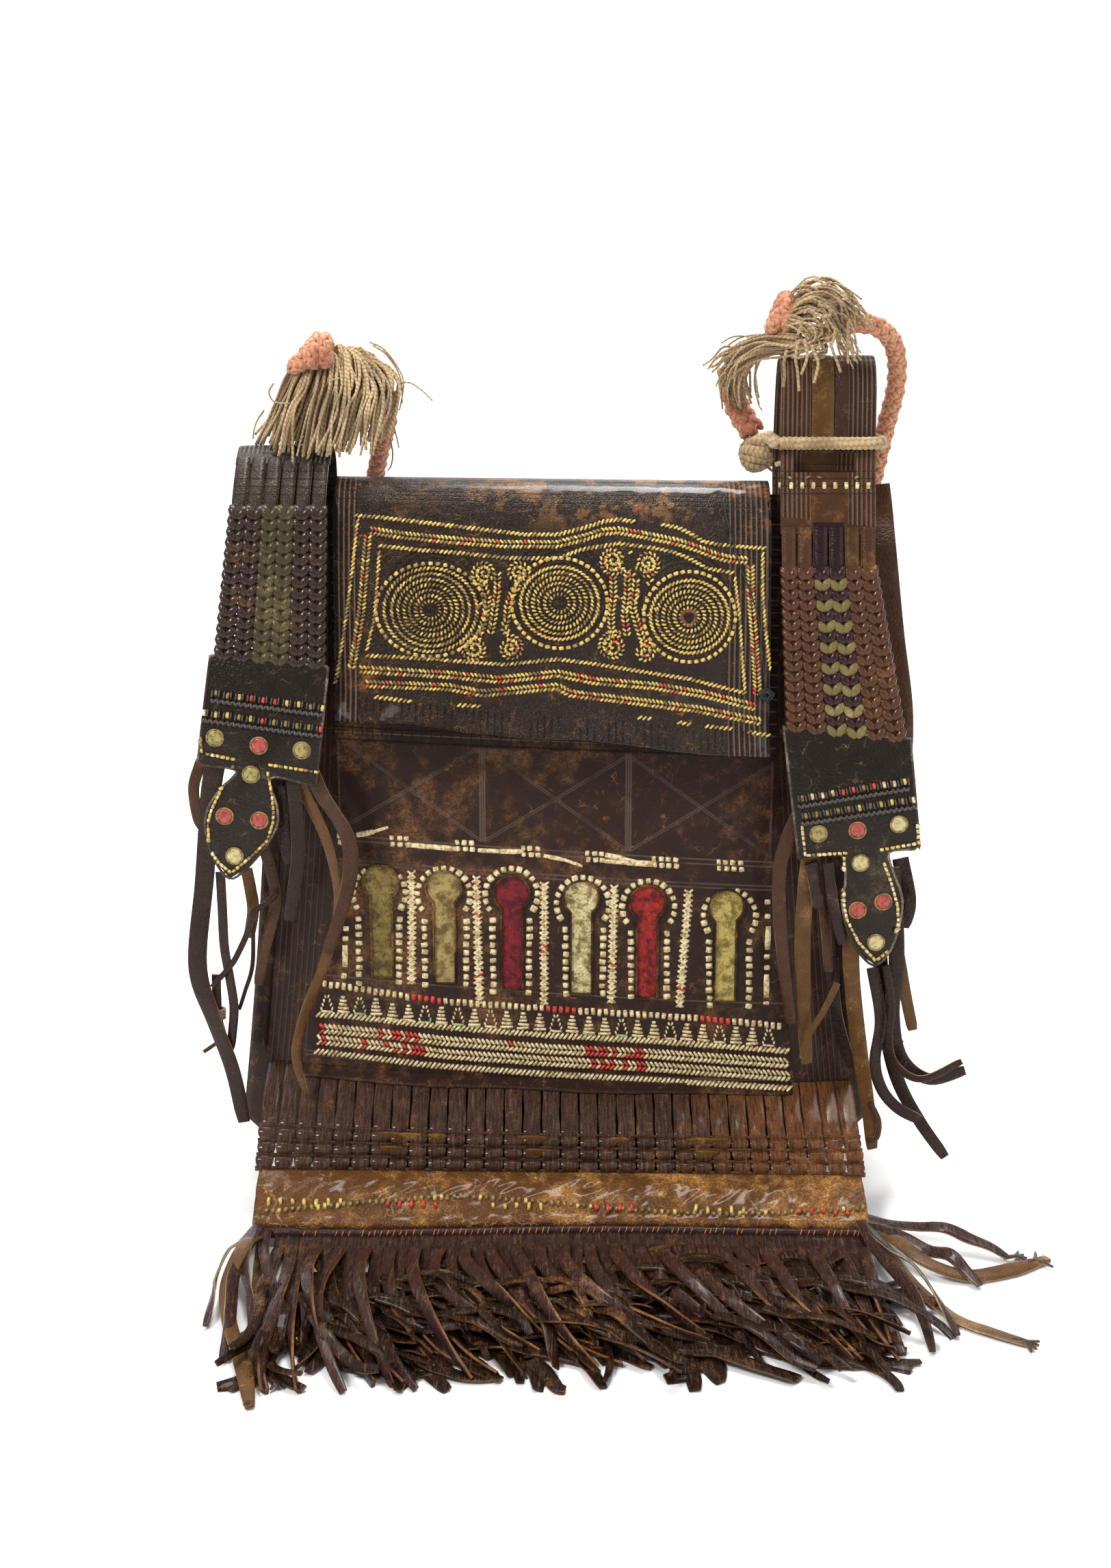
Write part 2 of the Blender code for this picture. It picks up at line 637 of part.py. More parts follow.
def hanger_strap(name, centre_x, path, openings, lines, finish):
    """A strap along path, rows of (y, z) with y None on the pouch's back, cut by openings.

    An opening is (left x, right x, first row, last row), its x measured from the strap's middle.
    """
    half = HANGER_WIDTH / 2
    cuts = {round(value, 5) for opening in openings for value in opening[:2]}
    columns = sorted(cuts | {-half, half} | set(lines))
    mesh = bmesh.new()
    grid = []
    for column in columns:
        x = centre_x + column
        line = [(on_back(x, z) if y is None else y, z) for y, z in path]
        grid.append([mesh.verts.new((x, y, z)) for y, z in line])
    for number, (left, right) in enumerate(zip(grid, grid[1:])):
        middle = (columns[number] + columns[number + 1]) / 2
        for row in range(len(path) - 1):
            cut = any(low < middle < high and first <= row < last for low, high, first, last in openings)
            if not cut:
                mesh.faces.new((left[row], left[row + 1], right[row + 1], right[row]))
    bmesh.ops.delete(mesh, geom=[vert for vert in mesh.verts if not vert.link_faces], context="VERTS")
    thicken(add_piece(name, mesh, finish), HANGER_LEATHER)


def finger_slits(first_row, last_row):
    pitch = HANGER_WIDTH / FINGERS
    middles = [pitch * number - HANGER_WIDTH / 2 for number in range(1, FINGERS)]
    return [(middle - FINGER_SLIT / 2, middle + FINGER_SLIT / 2, first_row, last_row) for middle in middles]


def plait(name, top, bottom, top_width, bottom_width, finish):
    """A flat plait: its edges swell at each crossing and draw in between."""
    rings = 2 * BRAID_LOBES
    stations = []
    for ring in range(rings + 1):
        share = ring / rings
        swell = 1.0 if ring % 2 else 0.80
        width = mix(top_width, bottom_width, share) / 2 * swell
        stations.append((Vector(top).lerp(Vector(bottom), share), width, BRAID_THICKNESS / 2 * swell))
    swept(name, stations, OVAL_6, finish)


def disc_outline(x, z, radius):
    turns = [math.tau * (side + 0.5) / WINDOW_SIDES for side in range(WINDOW_SIDES)]
    return [(x + radius * math.cos(turn), z + radius * math.sin(turn)) for turn in turns]


def shrunk(outline, share):
    middle_x = sum(x for x, z in outline) / len(outline)
    middle_z = sum(z for x, z in outline) / len(outline)
    return [(mix(middle_x, x, share), mix(middle_z, z, share)) for x, z in outline]


class Hanger:
    """The places of one hanger's plate, and of the fingers' ends above it."""

    def __init__(self, side, centre_x, finger_end, corners, tongue, discs, face_y):
        self.side = side
        self.centre_x = centre_x
        self.finger_end = finger_end
        self.corners = corners
        self.tongue = tongue
        self.discs = discs
        self.face_y = face_y

    def top_z(self, x):
        (left_x, left_z), (right_x, right_z) = self.corners[:2]
        return mix(left_z, right_z, (x - left_x) / (right_x - left_x))

    def face(self, x, z):
        return self.face_y - PLATE_LEAN * (self.corners[0][1] - z)

    def behind_backing(self, z):
        return self.face(0, z) + PLATE_LEATHER + BACKING_LEATHER + 2 * GAP

    def build_plaits(self):
        pitch = HANGER_WIDTH / FINGERS
        (left_x, left_z), (right_x, right_z) = self.corners[:2]
        low_pitch = (right_x - left_x - 0.004) / FINGERS
        end_y, end_z = self.finger_end
        for number in range(FINGERS):
            top_x = self.centre_x - HANGER_WIDTH / 2 + pitch * (number + 0.5)
            low_x = left_x + 0.002 + low_pitch * (number + 0.5)
            low_z = self.top_z(low_x - low_pitch / 2) + 2 * GAP
            top = (top_x, end_y - 0.0006, end_z - 0.0011)
            bottom = (low_x, self.face(0, self.corners[0][1]) + PLATE_LEATHER / 2, low_z)
            middle = number in (2, 3)
            plait(f"plait_{self.side}_{number + 1}", top, bottom, pitch - 0.0009, low_pitch - 0.0012,
                  OLIVE if middle else BROWN)

    def build_plate(self):
        top_left, top_right, low_right, low_left = self.corners
        outline = [top_left, low_left, *self.tongue, low_right, top_right]
        plate = layer(f"plate_{self.side}", outline, lambda x, z: self.face(x, z) + PLATE_LEATHER,
                      PLATE_LEATHER, DARK)
        holes = prisms(f"plate_cutter_{self.side}", [disc_outline(x, z, DISC_RADIUS) for x, z in self.discs],
                       0.0, -0.1, RED)
        combine(plate, as_guide(holes), "DIFFERENCE")

        back_y = PLATE_LEATHER + BACKING_LEATHER + GAP
        backing = layer(f"plate_backing_{self.side}", shrunk(outline, BACKING_SHARE),
                        lambda x, z: self.face(x, z) + back_y, BACKING_LEATHER, RED)
        for number, (x, z) in enumerate(self.discs, 1):
            near = self.face(x, z) + PLATE_LEATHER + GAP + BACKING_LEATHER / 2
            boss = prisms(f"disc_{self.side}_{number}", [disc_outline(x, z, DISC_RADIUS - GAP)], near,
                          self.face(x, z) + BOSS_SINK, RED)
            combine(backing, as_guide(boss), "UNION")

    def build_thongs(self, routes):
        """Thongs that start behind the plate's backing: routes of (x, z) with a depth behind it."""
        for name, (points, half_width, set_back, finish) in routes.items():
            start_y = self.behind_backing(points[0][1]) + THONG_LEATHER / 2
            places = [(x, start_y + set_back * min(step, 2) / 2, z) for step, (x, z) in enumerate(points)]
            widths = [half_width * mix(1.0, 0.72, step / (len(points) - 1)) for step in range(len(points))]
            flat_thong(name, places, widths, THONG_LEATHER, finish)


def build_left_hanger():
    path = ((None, 0.330), (None, 0.375), (None, 0.418), (0.0185, 0.4420), (0.0125, 0.4555),
            (0.0000, 0.4590), (-0.0130, 0.4530), (-0.0250, 0.4430), (-0.0350, 0.4330), (-0.0415, 0.4245))
    hanger_strap("hanger_strap_left", LEFT_HANGER_X, path, finger_slits(6, 9), (), DARK)
    tongue = ((-0.188, 0.2754), (-0.1985, 0.2640), (-0.2068, 0.2500), (-0.2072, 0.2370), (-0.2030, 0.2210),
              (-0.1945, 0.2098), (-0.1845, 0.2160), (-0.1730, 0.2290), (-0.1655, 0.2420), (-0.1650, 0.2540),
              (-0.1680, 0.2715))
    hanger = Hanger("left", LEFT_HANGER_X, path[-1],
                    ((-0.2008, 0.3450), (-0.1325, 0.3376), (-0.1414, 0.2664), (-0.2110, 0.2797)), tongue,
                    ((-0.2000, 0.2955), (-0.1743, 0.2909), (-0.1491, 0.2880), (-0.1795, 0.2735),
                     (-0.1960, 0.2483), (-0.1755, 0.2458), (-0.1910, 0.2240)), -0.0577)
    hanger.build_plaits()
    hanger.build_plate()
    hanger.build_thongs({
        "thong_left_1": (((-0.150, 0.290), (-0.140, 0.262), (-0.125, 0.2350), (-0.1235, 0.2100),
                          (-0.131, 0.182), (-0.139, 0.160)), 0.0048, 0.0, BROWN),
        "thong_left_2": (((-0.160, 0.292), (-0.150, 0.262), (-0.137, 0.228), (-0.132, 0.190), (-0.142, 0.150),
                          (-0.154, 0.120), (-0.1610, 0.092), (-0.156, 0.066)), 0.0034, 0.0040, TAN),
        "thong_left_3": (((-0.196, 0.300), (-0.2050, 0.262), (-0.2120, 0.206), (-0.2190, 0.150),
                          (-0.2110, 0.115), (-0.2010, 0.082), (-0.1950, 0.046)), 0.0060, 0.0040, PLUM),
    })


def build_right_hanger():
    path = ((None, 0.330), (None, 0.375), (None, 0.418), (0.0195, 0.4450), (0.0190, 0.4650),
            (0.0165, 0.4900), (0.0110, 0.5060), (0.0020, 0.5115), (-0.0080, 0.5080), (-0.0150, 0.4950),
            (-0.0185, 0.4750), (-0.0215, 0.4583), (-0.0240, 0.4464), (-0.0265, 0.4380), (-0.0290, 0.4300),
            (-0.0330, 0.4160), (-0.0370, 0.4020), (-0.0415, 0.3892))
    top_slits = [(-0.0106, -0.0096, 6, 10), (0.0030, 0.0040, 6, 10)]
    slot = [(-0.0200, 0.0165, 11, 12)]
    hanger_strap("hanger_strap_right", RIGHT_HANGER_X, path, finger_slits(15, 17) + top_slits + slot, (), BROWN)
    tongue = ((0.1696, 0.2245), (0.1735, 0.2100), (0.1722, 0.1930), (0.1765, 0.1750), (0.1850, 0.1610),
              (0.1933, 0.1554), (0.2020, 0.1650), (0.2070, 0.1830), (0.2075, 0.1980), (0.2020, 0.2130),
              (0.1989, 0.2255))
    hanger = Hanger("right", RIGHT_HANGER_X, path[-1],
                    ((0.1340, 0.3017), (0.2088, 0.2943), (0.2171, 0.2279), (0.1452, 0.2215)), tongue,
                    ((0.1564, 0.2372), (0.1795, 0.2393), (0.2040, 0.2430), (0.1820, 0.2193),
                     (0.1812, 0.1901), (0.1965, 0.1953), (0.1930, 0.1700)), -0.0585)
    hanger.build_plaits()
    hanger.build_plate()
    hanger.build_thongs({
        "thong_right_1": (((0.152, 0.262), (0.140, 0.235), (0.1345, 0.210), (0.1375, 0.165), (0.1445, 0.114)),
                          0.0042, 0.0, BROWN),
        "thong_right_2": (((0.163, 0.252), (0.1530, 0.219), (0.1505, 0.170), (0.1525, 0.125), (0.1560, 0.086)),
                          0.0052, 0.0040, BROWN),
        "thong_right_3": (((0.180, 0.215), (0.179, 0.180), (0.180, 0.150), (0.186, 0.105), (0.194, 0.060),
                           (0.198, 0.031)), 0.0052, 0.0, BROWN),
        "thong_right_4": (((0.2012, 0.215), (0.2060, 0.180), (0.2090, 0.150), (0.2080, 0.115), (0.2150, 0.088),
                           (0.2330, 0.074), (0.2550, 0.080)), 0.0050, 0.0090, PLUM),
        "thong_right_5": (((0.1905, 0.215), (0.1960, 0.180), (0.2010, 0.145), (0.2060, 0.105), (0.2150, 0.070),
                           (0.2300, 0.042), (0.2475, 0.017)), 0.0048, 0.0170, TAN),
    })
    strap_edge = RIGHT_HANGER_X + HANGER_WIDTH / 2
    half = 0.0080
    behind = hanger.behind_backing(0.280) + THONG_LEATHER / 2
    points = ((strap_edge + GAP + half, 0.0190, 0.4350), (0.1972, 0.0120, 0.4180), (0.1970, -0.0080, 0.3955),
              (0.2005, -0.0260, 0.3500), (0.2045, -0.0420, 0.3100), (0.2030, behind, 0.2800),
              (0.2010, behind, 0.2600))
    flat_thong("back_strap_right", points, [half] * 7, THONG_LEATHER, BROWN)


# Cords and tassels

CARRY_ROUTE = ((-0.1438, 0.0355, 0.5022), (-0.1450, 0.0490, 0.4995), (-0.1460, 0.0580, 0.4890),
               (-0.1470, 0.0630, 0.4700), (-0.1480, 0.0630, 0.4400), (-0.1500, 0.0580, 0.3600),
               (-0.1510, 0.0560, 0.2500), (-0.1500, 0.0550, 0.1500), (-0.1460, 0.0550, 0.0800),
               (-0.1360, 0.0560, 0.0380), (-0.1150, 0.0590, 0.0130), (-0.0850, 0.0620, 0.0072),
               (-0.0400, 0.0660, 0.0069), (0.0100, 0.0690, 0.0069), (0.0600, 0.0670, 0.0069),
               (0.1050, 0.0630, 0.0072), (0.1380, 0.0590, 0.0150), (0.1610, 0.0560, 0.0380),
               (0.1740, 0.0540, 0.0800), (0.1800, 0.0520, 0.1500), (0.1850, 0.0510, 0.2500),
               (0.1900, 0.0500, 0.3500), (0.1960, 0.0480, 0.4200), (0.2030, 0.0420, 0.4650),
               (0.2070, 0.0310, 0.4960), (0.2020, 0.0190, 0.5180), (0.1890, 0.0090, 0.5290),
               (0.1700, 0.0050, 0.5305))
CARRY_POINTS = 74


def build_cords():
    cord("carrying_cord", smooth_route(CARRY_ROUTE, CARRY_POINTS), CARRY_RADIUS, SALMON, 2)

    left_arch = (((-0.177, -0.0065, 0.4626), 0.0045), ((-0.166, 0.002, 0.4690), 0.0085),
                 ((-0.159, 0.011, 0.4840), 0.0115),
                 ((-0.149, 0.0175, 0.4990), 0.0135), ((-0.137, 0.0235, 0.5060), 0.0125),
                 ((-0.123, 0.031, 0.4970), 0.0100), ((-0.110, 0.037, 0.4790), 0.0085),
                 ((-0.101, 0.041, 0.4620), 0.0060))
    swept("tassel_left", [(place, radius, radius) for place, radius in left_arch], OVAL_8, UNDYED,
          across=(0, 1, 0))

    right_arch = (((0.1030, 0.0330, 0.5080), 0.0060), ((0.1110, 0.0300, 0.5160), 0.0090),
                  ((0.1260, 0.0180, 0.5260), 0.0130), ((0.1450, 0.0040, 0.5290), 0.0165),
                  ((0.1570, 0.0050, 0.5292), 0.0145), ((0.1678, 0.0048, 0.5306), 0.0090))
    swept("tassel_right", [(place, radius, radius) for place, radius in right_arch], OVAL_8, UNDYED,
          across=(0, 1, 0))

    half = HANGER_WIDTH / 2
    clear = HANGER_LEATHER / 2 + GAP + TIE_RADIUS
    left_x = RIGHT_HANGER_X - half - GAP - TIE_RADIUS
    right_x = RIGHT_HANGER_X + half + GAP + TIE_RADIUS
    front_y = -0.0208 - clear - 0.0004
    back_y = 0.0190 + clear + 0.0004
    tie_z = 0.4635
    turn = 0.0012
    ring = ((left_x + turn, front_y), (left_x, front_y + turn), (left_x, -0.008), (left_x, 0.008),
            (left_x, back_y - turn), (left_x + turn, back_y), (right_x - turn, back_y),
            (right_x, back_y - turn), (right_x, 0.0), (right_x, front_y + turn), (right_x - turn, front_y))
    cord("tie_cord", [(x, y, tie_z) for x, y in ring], TIE_RADIUS, UNDYED, 1, cyclic=True)

    knot = bmesh.new()
    bmesh.ops.create_icosphere(knot, subdivisions=2, radius=KNOT_RADIUS)
    knot_place = (left_x - 0.0036, back_y + 0.0075, 0.4575)
    bmesh.ops.translate(knot, verts=knot.verts, vec=knot_place)
    add_piece("tie_knot", knot, UNDYED)

    limb = ((0.1058, 0.0328, 0.5030), (0.1074, 0.0340, 0.4930), (0.1110, 0.0360, 0.4810),
            (0.1165, 0.0360, 0.4715), (0.1211, 0.0344, 0.4653))
    cord("knot_limb", smooth_route(limb, 9), LIMB_RADIUS, SALMON, 2)


for old in list(bpy.data.objects):
    bpy.data.objects.remove(old, do_unlink=True)
build_pouch()
build_front()
build_woven_band()
build_seam_band()
build_fringe()
build_ground_thongs()
build_flap()
build_left_hanger()
build_right_hanger()
build_cords()
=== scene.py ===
import json
import math
import random

import bmesh
import bpy
from mathutils import Matrix, Vector, noise
from mathutils.bvhtree import BVHTree

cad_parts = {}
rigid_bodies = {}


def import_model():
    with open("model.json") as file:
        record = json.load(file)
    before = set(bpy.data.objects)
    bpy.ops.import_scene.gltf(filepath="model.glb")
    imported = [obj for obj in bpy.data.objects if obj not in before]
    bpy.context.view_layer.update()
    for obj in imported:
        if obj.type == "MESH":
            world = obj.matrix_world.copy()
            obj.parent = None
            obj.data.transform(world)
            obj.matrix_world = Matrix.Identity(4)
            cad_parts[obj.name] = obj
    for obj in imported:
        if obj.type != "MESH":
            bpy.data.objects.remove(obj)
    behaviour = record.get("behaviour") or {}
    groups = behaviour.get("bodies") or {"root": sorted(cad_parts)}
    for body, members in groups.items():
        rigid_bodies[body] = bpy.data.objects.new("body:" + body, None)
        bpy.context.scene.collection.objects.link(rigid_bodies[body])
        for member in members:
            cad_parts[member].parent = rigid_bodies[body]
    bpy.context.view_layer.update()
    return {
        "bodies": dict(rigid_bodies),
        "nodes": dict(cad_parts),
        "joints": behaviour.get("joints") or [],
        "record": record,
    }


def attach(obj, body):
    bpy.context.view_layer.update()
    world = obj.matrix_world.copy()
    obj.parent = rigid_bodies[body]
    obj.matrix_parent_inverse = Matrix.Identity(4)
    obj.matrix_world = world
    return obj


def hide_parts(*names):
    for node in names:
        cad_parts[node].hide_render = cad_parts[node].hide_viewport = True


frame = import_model()

# View: the bag is seen from its own front, a little from above, from a metre away.
# A place measured in the picture, in pixels of 1624 x 2293, is carried down the camera's line
# of sight to the leather that it shows, so that the stitching lies on its own piece.

EYE = Vector((0.0, -1.115, 0.55))
TILT = math.radians(15)
FOCAL_PIXELS = 2700
MIDDLE_X, MIDDLE_Y = 812.0, 1146.5
AHEAD = Vector((0.0, math.cos(TILT), -math.sin(TILT)))
UPWARD = Vector((0.0, math.sin(TILT), math.cos(TILT)))
ACROSS = Vector((1.0, 0.0, 0.0))

camera_data = bpy.data.cameras.new("camera")
camera_data.sensor_width = 36.0
camera_data.lens = 36.0 * FOCAL_PIXELS / (2 * MIDDLE_Y)
camera = bpy.data.objects.new("camera", camera_data)
camera.location = EYE
camera.rotation_euler = (math.pi / 2 - TILT, 0.0, 0.0)
bpy.context.scene.collection.objects.link(camera)
bpy.context.scene.camera = camera
bpy.context.scene.view_settings.view_transform = "Standard"


def mix(first, last, share):
    return first + (last - first) * share


def held(value, low=0.0, high=1.0):
    return min(max(value, low), high)


def surface_of(piece):
    """A tree of a piece's finished faces, in the row frame, that lines of sight can hit."""
    graph = bpy.context.evaluated_depsgraph_get()
    shown = piece.evaluated_get(graph)
    mesh = shown.to_mesh()
    places = [shown.matrix_world @ vert.co for vert in mesh.vertices]
    tree = BVHTree.FromPolygons(places, [tuple(face.vertices) for face in mesh.polygons])
    shown.to_mesh_clear()
    return tree


def sight(px, py):
    side = (px - MIDDLE_X) / FOCAL_PIXELS
    rise = (MIDDLE_Y - py) / FOCAL_PIXELS
    return AHEAD + ACROSS * side + UPWARD * rise


def spot(tree, px, py):
    """The place on a surface behind a point of the picture, and the way out of the surface there."""
    place, normal, index, distance = tree.ray_cast(EYE, sight(px, py).normalized())
    if place is None:
        return None
    if normal.dot(place - EYE) > 0:
        normal = -normal
    return place, normal


def at(px, py, y):
    """The place at a depth y behind a point of the picture."""
    ray = sight(px, py)
    return EYE + ray * ((y - EYE.y) / ray.y)


def add(tree, kind, settings=None, *values, **named):
    """Adds a shader node. Its inputs take a value, or another node's output."""
    node = tree.nodes.new("ShaderNode" + kind)
    for name, value in (settings or {}).items():
        setattr(node, name, value)
    sockets = [(node.inputs[place], value) for place, value in enumerate(values)]
    sockets += [(node.inputs[name.replace("_", " ")], value) for name, value in named.items()]
    for socket, value in sockets:
        if isinstance(value, bpy.types.NodeSocket):
            tree.links.new(value, socket)
        elif value is not None:
            socket.default_value = value
    return node


def reckon(operation, *values):
    """A Math node, in the tree of whichever of its values comes from a node."""
    tree = next(value.id_data for value in values if isinstance(value, bpy.types.NodeSocket))
    return add(tree, "Math", {"operation": operation}, *values).outputs[0]


def plus(first, second):
    return reckon("ADD", first, second)


def minus(first, second):
    return reckon("SUBTRACT", first, second)


def times(first, second):
    if isinstance(first, float) and isinstance(second, float):
        return first * second
    return reckon("MULTIPLY", first, second)


def tint(share, first, last, mode="MIX"):
    """Two colours mixed by a share."""
    tree = next(value.id_data for value in (share, first, last) if isinstance(value, bpy.types.NodeSocket))
    node = add(tree, "Mix", {"data_type": "RGBA", "blend_type": mode}, share)
    for socket, value in ((node.inputs[6], first), (node.inputs[7], last)):
        if isinstance(value, bpy.types.NodeSocket):
            tree.links.new(value, socket)
        else:
            socket.default_value = (*value[:3], 1.0)
    return node.outputs[2]


def eased(value, low, high, first=0.0, last=1.0):
    """A value between low and high made into a smooth step from first to last."""
    node = add(value.id_data, "MapRange", {"interpolation_type": "SMOOTHSTEP"}, value, low, high, first, last)
    return node.outputs[0]


def object_places(tree):
    return add(tree, "TexCoord").outputs["Object"]


def place_parts(tree):
    return add(tree, "SeparateXYZ", None, object_places(tree)).outputs


def cloudy(places, scale, detail=2.0, output="Fac", **named):
    """Noise at these places."""
    return add(places.id_data, "TexNoise", None, Vector=places, Scale=scale, Detail=detail,
        **named).outputs[output]


def emboss(shader, height, strength, distance):
    """Raises and sinks a finish by a height."""
    bump = add(shader.id_data, "Bump", None, Strength=strength, Distance=distance, Height=height)
    shader.id_data.links.new(bump.outputs["Normal"], shader.inputs["Normal"])


def new_finish(name, roughness):
    """A material with its Principled shader: gives back the material, its node tree and the shader."""
    finish = bpy.data.materials.new(name)
    finish.use_nodes = True
    shader = finish.node_tree.nodes["Principled BSDF"]
    shader.inputs["Roughness"].default_value = roughness
    return finish, finish.node_tree, shader


# Floor and light: a plain pale floor that runs up into a backdrop, and soft studio lamps
# high at the left and in front, so that the polished leather shows long soft highlights.

FLOOR_SHADE = (0.90, 0.893, 0.875)

floor_mesh = bmesh.new()
bmesh.ops.create_grid(floor_mesh, x_segments=1, y_segments=1, size=3.0)
rear = [edge for edge in floor_mesh.edges if all(vert.co.y > 1.0 for vert in edge.verts)]
for turn in range(6):
    grown = bmesh.ops.extrude_edge_only(floor_mesh, edges=rear)["geom"]
    rear = [item for item in grown if isinstance(item, bmesh.types.BMEdge)]
    angle = math.radians(15 * turn + 7.5)
    step = Vector((0.0, math.cos(angle), math.sin(angle))) * 0.4
    bmesh.ops.translate(floor_mesh, verts=list({vert for edge in rear for vert in edge.verts}), vec=step)
grown = bmesh.ops.extrude_edge_only(floor_mesh, edges=rear)["geom"]
upper = [item for item in grown if isinstance(item, bmesh.types.BMVert)]
bmesh.ops.translate(floor_mesh, verts=upper, vec=(0, 0, 4.0))
floor_data = bpy.data.meshes.new("floor")
floor_mesh.to_mesh(floor_data)
floor_mesh.free()
floor_data.shade_smooth()
floor = bpy.data.objects.new("floor", floor_data)
bpy.context.scene.collection.objects.link(floor)
floor_finish, floor_tree, floor_shader = new_finish("pale_floor", 0.75)
floor_shader.inputs["Base Color"].default_value = (*FLOOR_SHADE, 1.0)
floor_data.materials.append(floor_finish)

for lamp_name, place, aim, size, power in (
        ("key_lamp", (-1.20, -1.35, 1.90), (0.0, -0.05, 0.22), 0.6, 44.0),
        ("fill_lamp", (1.60, -1.30, 1.10), (0.0, -0.05, 0.22), 1.5, 12.0),
        ("top_lamp", (0.10, 0.25, 2.10), (0.0, -0.05, 0.20), 0.6, 24.0),
        ("backdrop_lamp", (0.0, 1.40, 2.90), (0.0, 3.60, 0.30), 3.0, 150.0)):
    lamp_data = bpy.data.lights.new(lamp_name, "AREA")
    lamp_data.shape = "SQUARE"
    lamp_data.size = size
    lamp_data.energy = power
    lamp = bpy.data.objects.new(lamp_name, lamp_data)
    lamp.location = place
    lamp.rotation_euler = (Vector(aim) - Vector(place)).to_track_quat("-Z", "Y").to_euler()
    bpy.context.scene.collection.objects.link(lamp)

world = bpy.data.worlds.new("studio")
world.use_nodes = True
world.node_tree.nodes["Background"].inputs["Color"].default_value = (0.95, 0.97, 1.0, 1.0)
world.node_tree.nodes["Background"].inputs["Strength"].default_value = 0.42
bpy.context.scene.world = world

# Carrying cord: a round braid of faded salmon wool, tied to both hangers. It hangs down behind
# the pouch and crosses the ground there. It is limp, and about 13 mm thick. Eight flat strands
# run round it, four each way, and pass over and under each other.

CARRY_ROUTE = ((-0.1438, 0.0355, 0.5022), (-0.1450, 0.0490, 0.4995), (-0.1460, 0.0580, 0.4890),
               (-0.1470, 0.0630, 0.4700), (-0.1480, 0.0630, 0.4400), (-0.1500, 0.0580, 0.3600),
               (-0.1510, 0.0560, 0.2500), (-0.1500, 0.0550, 0.1500), (-0.1460, 0.0550, 0.0800),
               (-0.1360, 0.0560, 0.0380), (-0.1150, 0.0590, 0.0130), (-0.0850, 0.0620, 0.0072),
               (-0.0400, 0.0660, 0.0069), (0.0100, 0.0690, 0.0069), (0.0600, 0.0670, 0.0069),
               (0.1050, 0.0630, 0.0072), (0.1380, 0.0590, 0.0150), (0.1610, 0.0560, 0.0380),
               (0.1740, 0.0540, 0.0800), (0.1800, 0.0520, 0.1500), (0.1850, 0.0510, 0.2500),
               (0.1900, 0.0500, 0.3500), (0.1960, 0.0480, 0.4200), (0.2030, 0.0420, 0.4650),
               (0.2070, 0.0310, 0.4960), (0.2020, 0.0190, 0.5180), (0.1890, 0.0090, 0.5290),
               (0.1700, 0.0050, 0.5305))
CARRY_RADIUS = 0.0065


def smooth_route(points, count):
    """Evenly spaced points on a smooth curve through the route's own points."""
    knots = [Vector(point) for point in points]
    knots = [2 * knots[0] - knots[1]] + knots + [2 * knots[-1] - knots[-2]]
    fine = []
    for p0, p1, p2, p3 in zip(knots, knots[1:], knots[2:], knots[3:]):
        for step in range(12):
            t = step / 12
            fine.append(0.5 * (2 * p1 + (p2 - p0) * t + (2 * p0 - 5 * p1 + 4 * p2 - p3) * t * t
                               + (3 * p1 - 3 * p2 + p3 - p0) * t ** 3))
    fine.append(knots[-2])
    runs = [0.0]
    for first, last in zip(fine, fine[1:]):
        runs.append(runs[-1] + (last - first).length)
    route = []
    index = 0
    for number in range(count):
        target = runs[-1] * number / (count - 1)
        while index < len(runs) - 2 and runs[index + 1] < target:
            index += 1
        share = (target - runs[index]) / max(runs[index + 1] - runs[index], 1e-9)
        route.append(fine[index].lerp(fine[index + 1], held(share)))
    return route


def turned_to(side, normal, run, place):
    """A frame at a place, with its x, y and z along these three ways."""
    frame_here = Matrix((side, normal, run)).transposed().to_4x4()
    frame_here.translation = place
    return frame_here


def frames_along(points, hint=(1, 0, 0)):
    """A turned and placed matrix for each point, carried along without twist. Its x is the side."""
    frames = []
    side = Vector(hint)
    for index, point in enumerate(points):
        run = (points[min(index + 1, len(points) - 1)] - points[max(index - 1, 0)]).normalized()
        side = (side - run * run.dot(side)).normalized()
        frames.append(turned_to(side, run.cross(side), run, point))
    return frames


def round_profile(sides):
    turns = [math.tau * side / sides for side in range(sides)]
    return [(math.cos(turn), math.sin(turn)) for turn in turns]


ROUND_6 = round_profile(6)
ROUND_8 = round_profile(8)


def grown_mesh(frames, sizes, profile, length=None):
    """A bar grown through its frames, as a mesh. Its points keep how far along and round they lie."""
    mesh = bmesh.new()
    along = mesh.verts.layers.float.new("along")
    around = mesh.verts.layers.float.new("around")
    length = length or sum((b.translation - a.translation).length for a, b in zip(frames, frames[1:]))

    def placed(frame, size):
        return frame @ Matrix.Diagonal((size[0], size[1], 1.0, 1.0))

    places = [placed(frame, size) for frame, size in zip(frames, sizes)]
    ring = [mesh.verts.new(places[0] @ Vector((x, y, 0))) for x, y in profile]
    for number, vert in enumerate(ring):
        vert[around] = number / len(ring)
    edges = list(mesh.faces.new(ring).edges)
    for index in range(1, len(places)):
        grown = bmesh.ops.extrude_edge_only(mesh, edges=edges)["geom"]
        verts = {item for item in grown if isinstance(item, bmesh.types.BMVert)}
        edges = [item for item in grown
                 if isinstance(item, bmesh.types.BMEdge) and all(vert in verts for vert in item.verts)]
        change = places[index] @ places[index - 1].inverted()
        bmesh.ops.transform(mesh, matrix=change, verts=list(verts))
        for vert in verts:
            vert[along] = length * index / (len(places) - 1)
    bmesh.ops.edgeloop_fill(mesh, edges=edges)
    bmesh.ops.recalc_face_normals(mesh, faces=mesh.faces)
    data = bpy.data.meshes.new("grown")
    mesh.to_mesh(data)
    mesh.free()
    return data


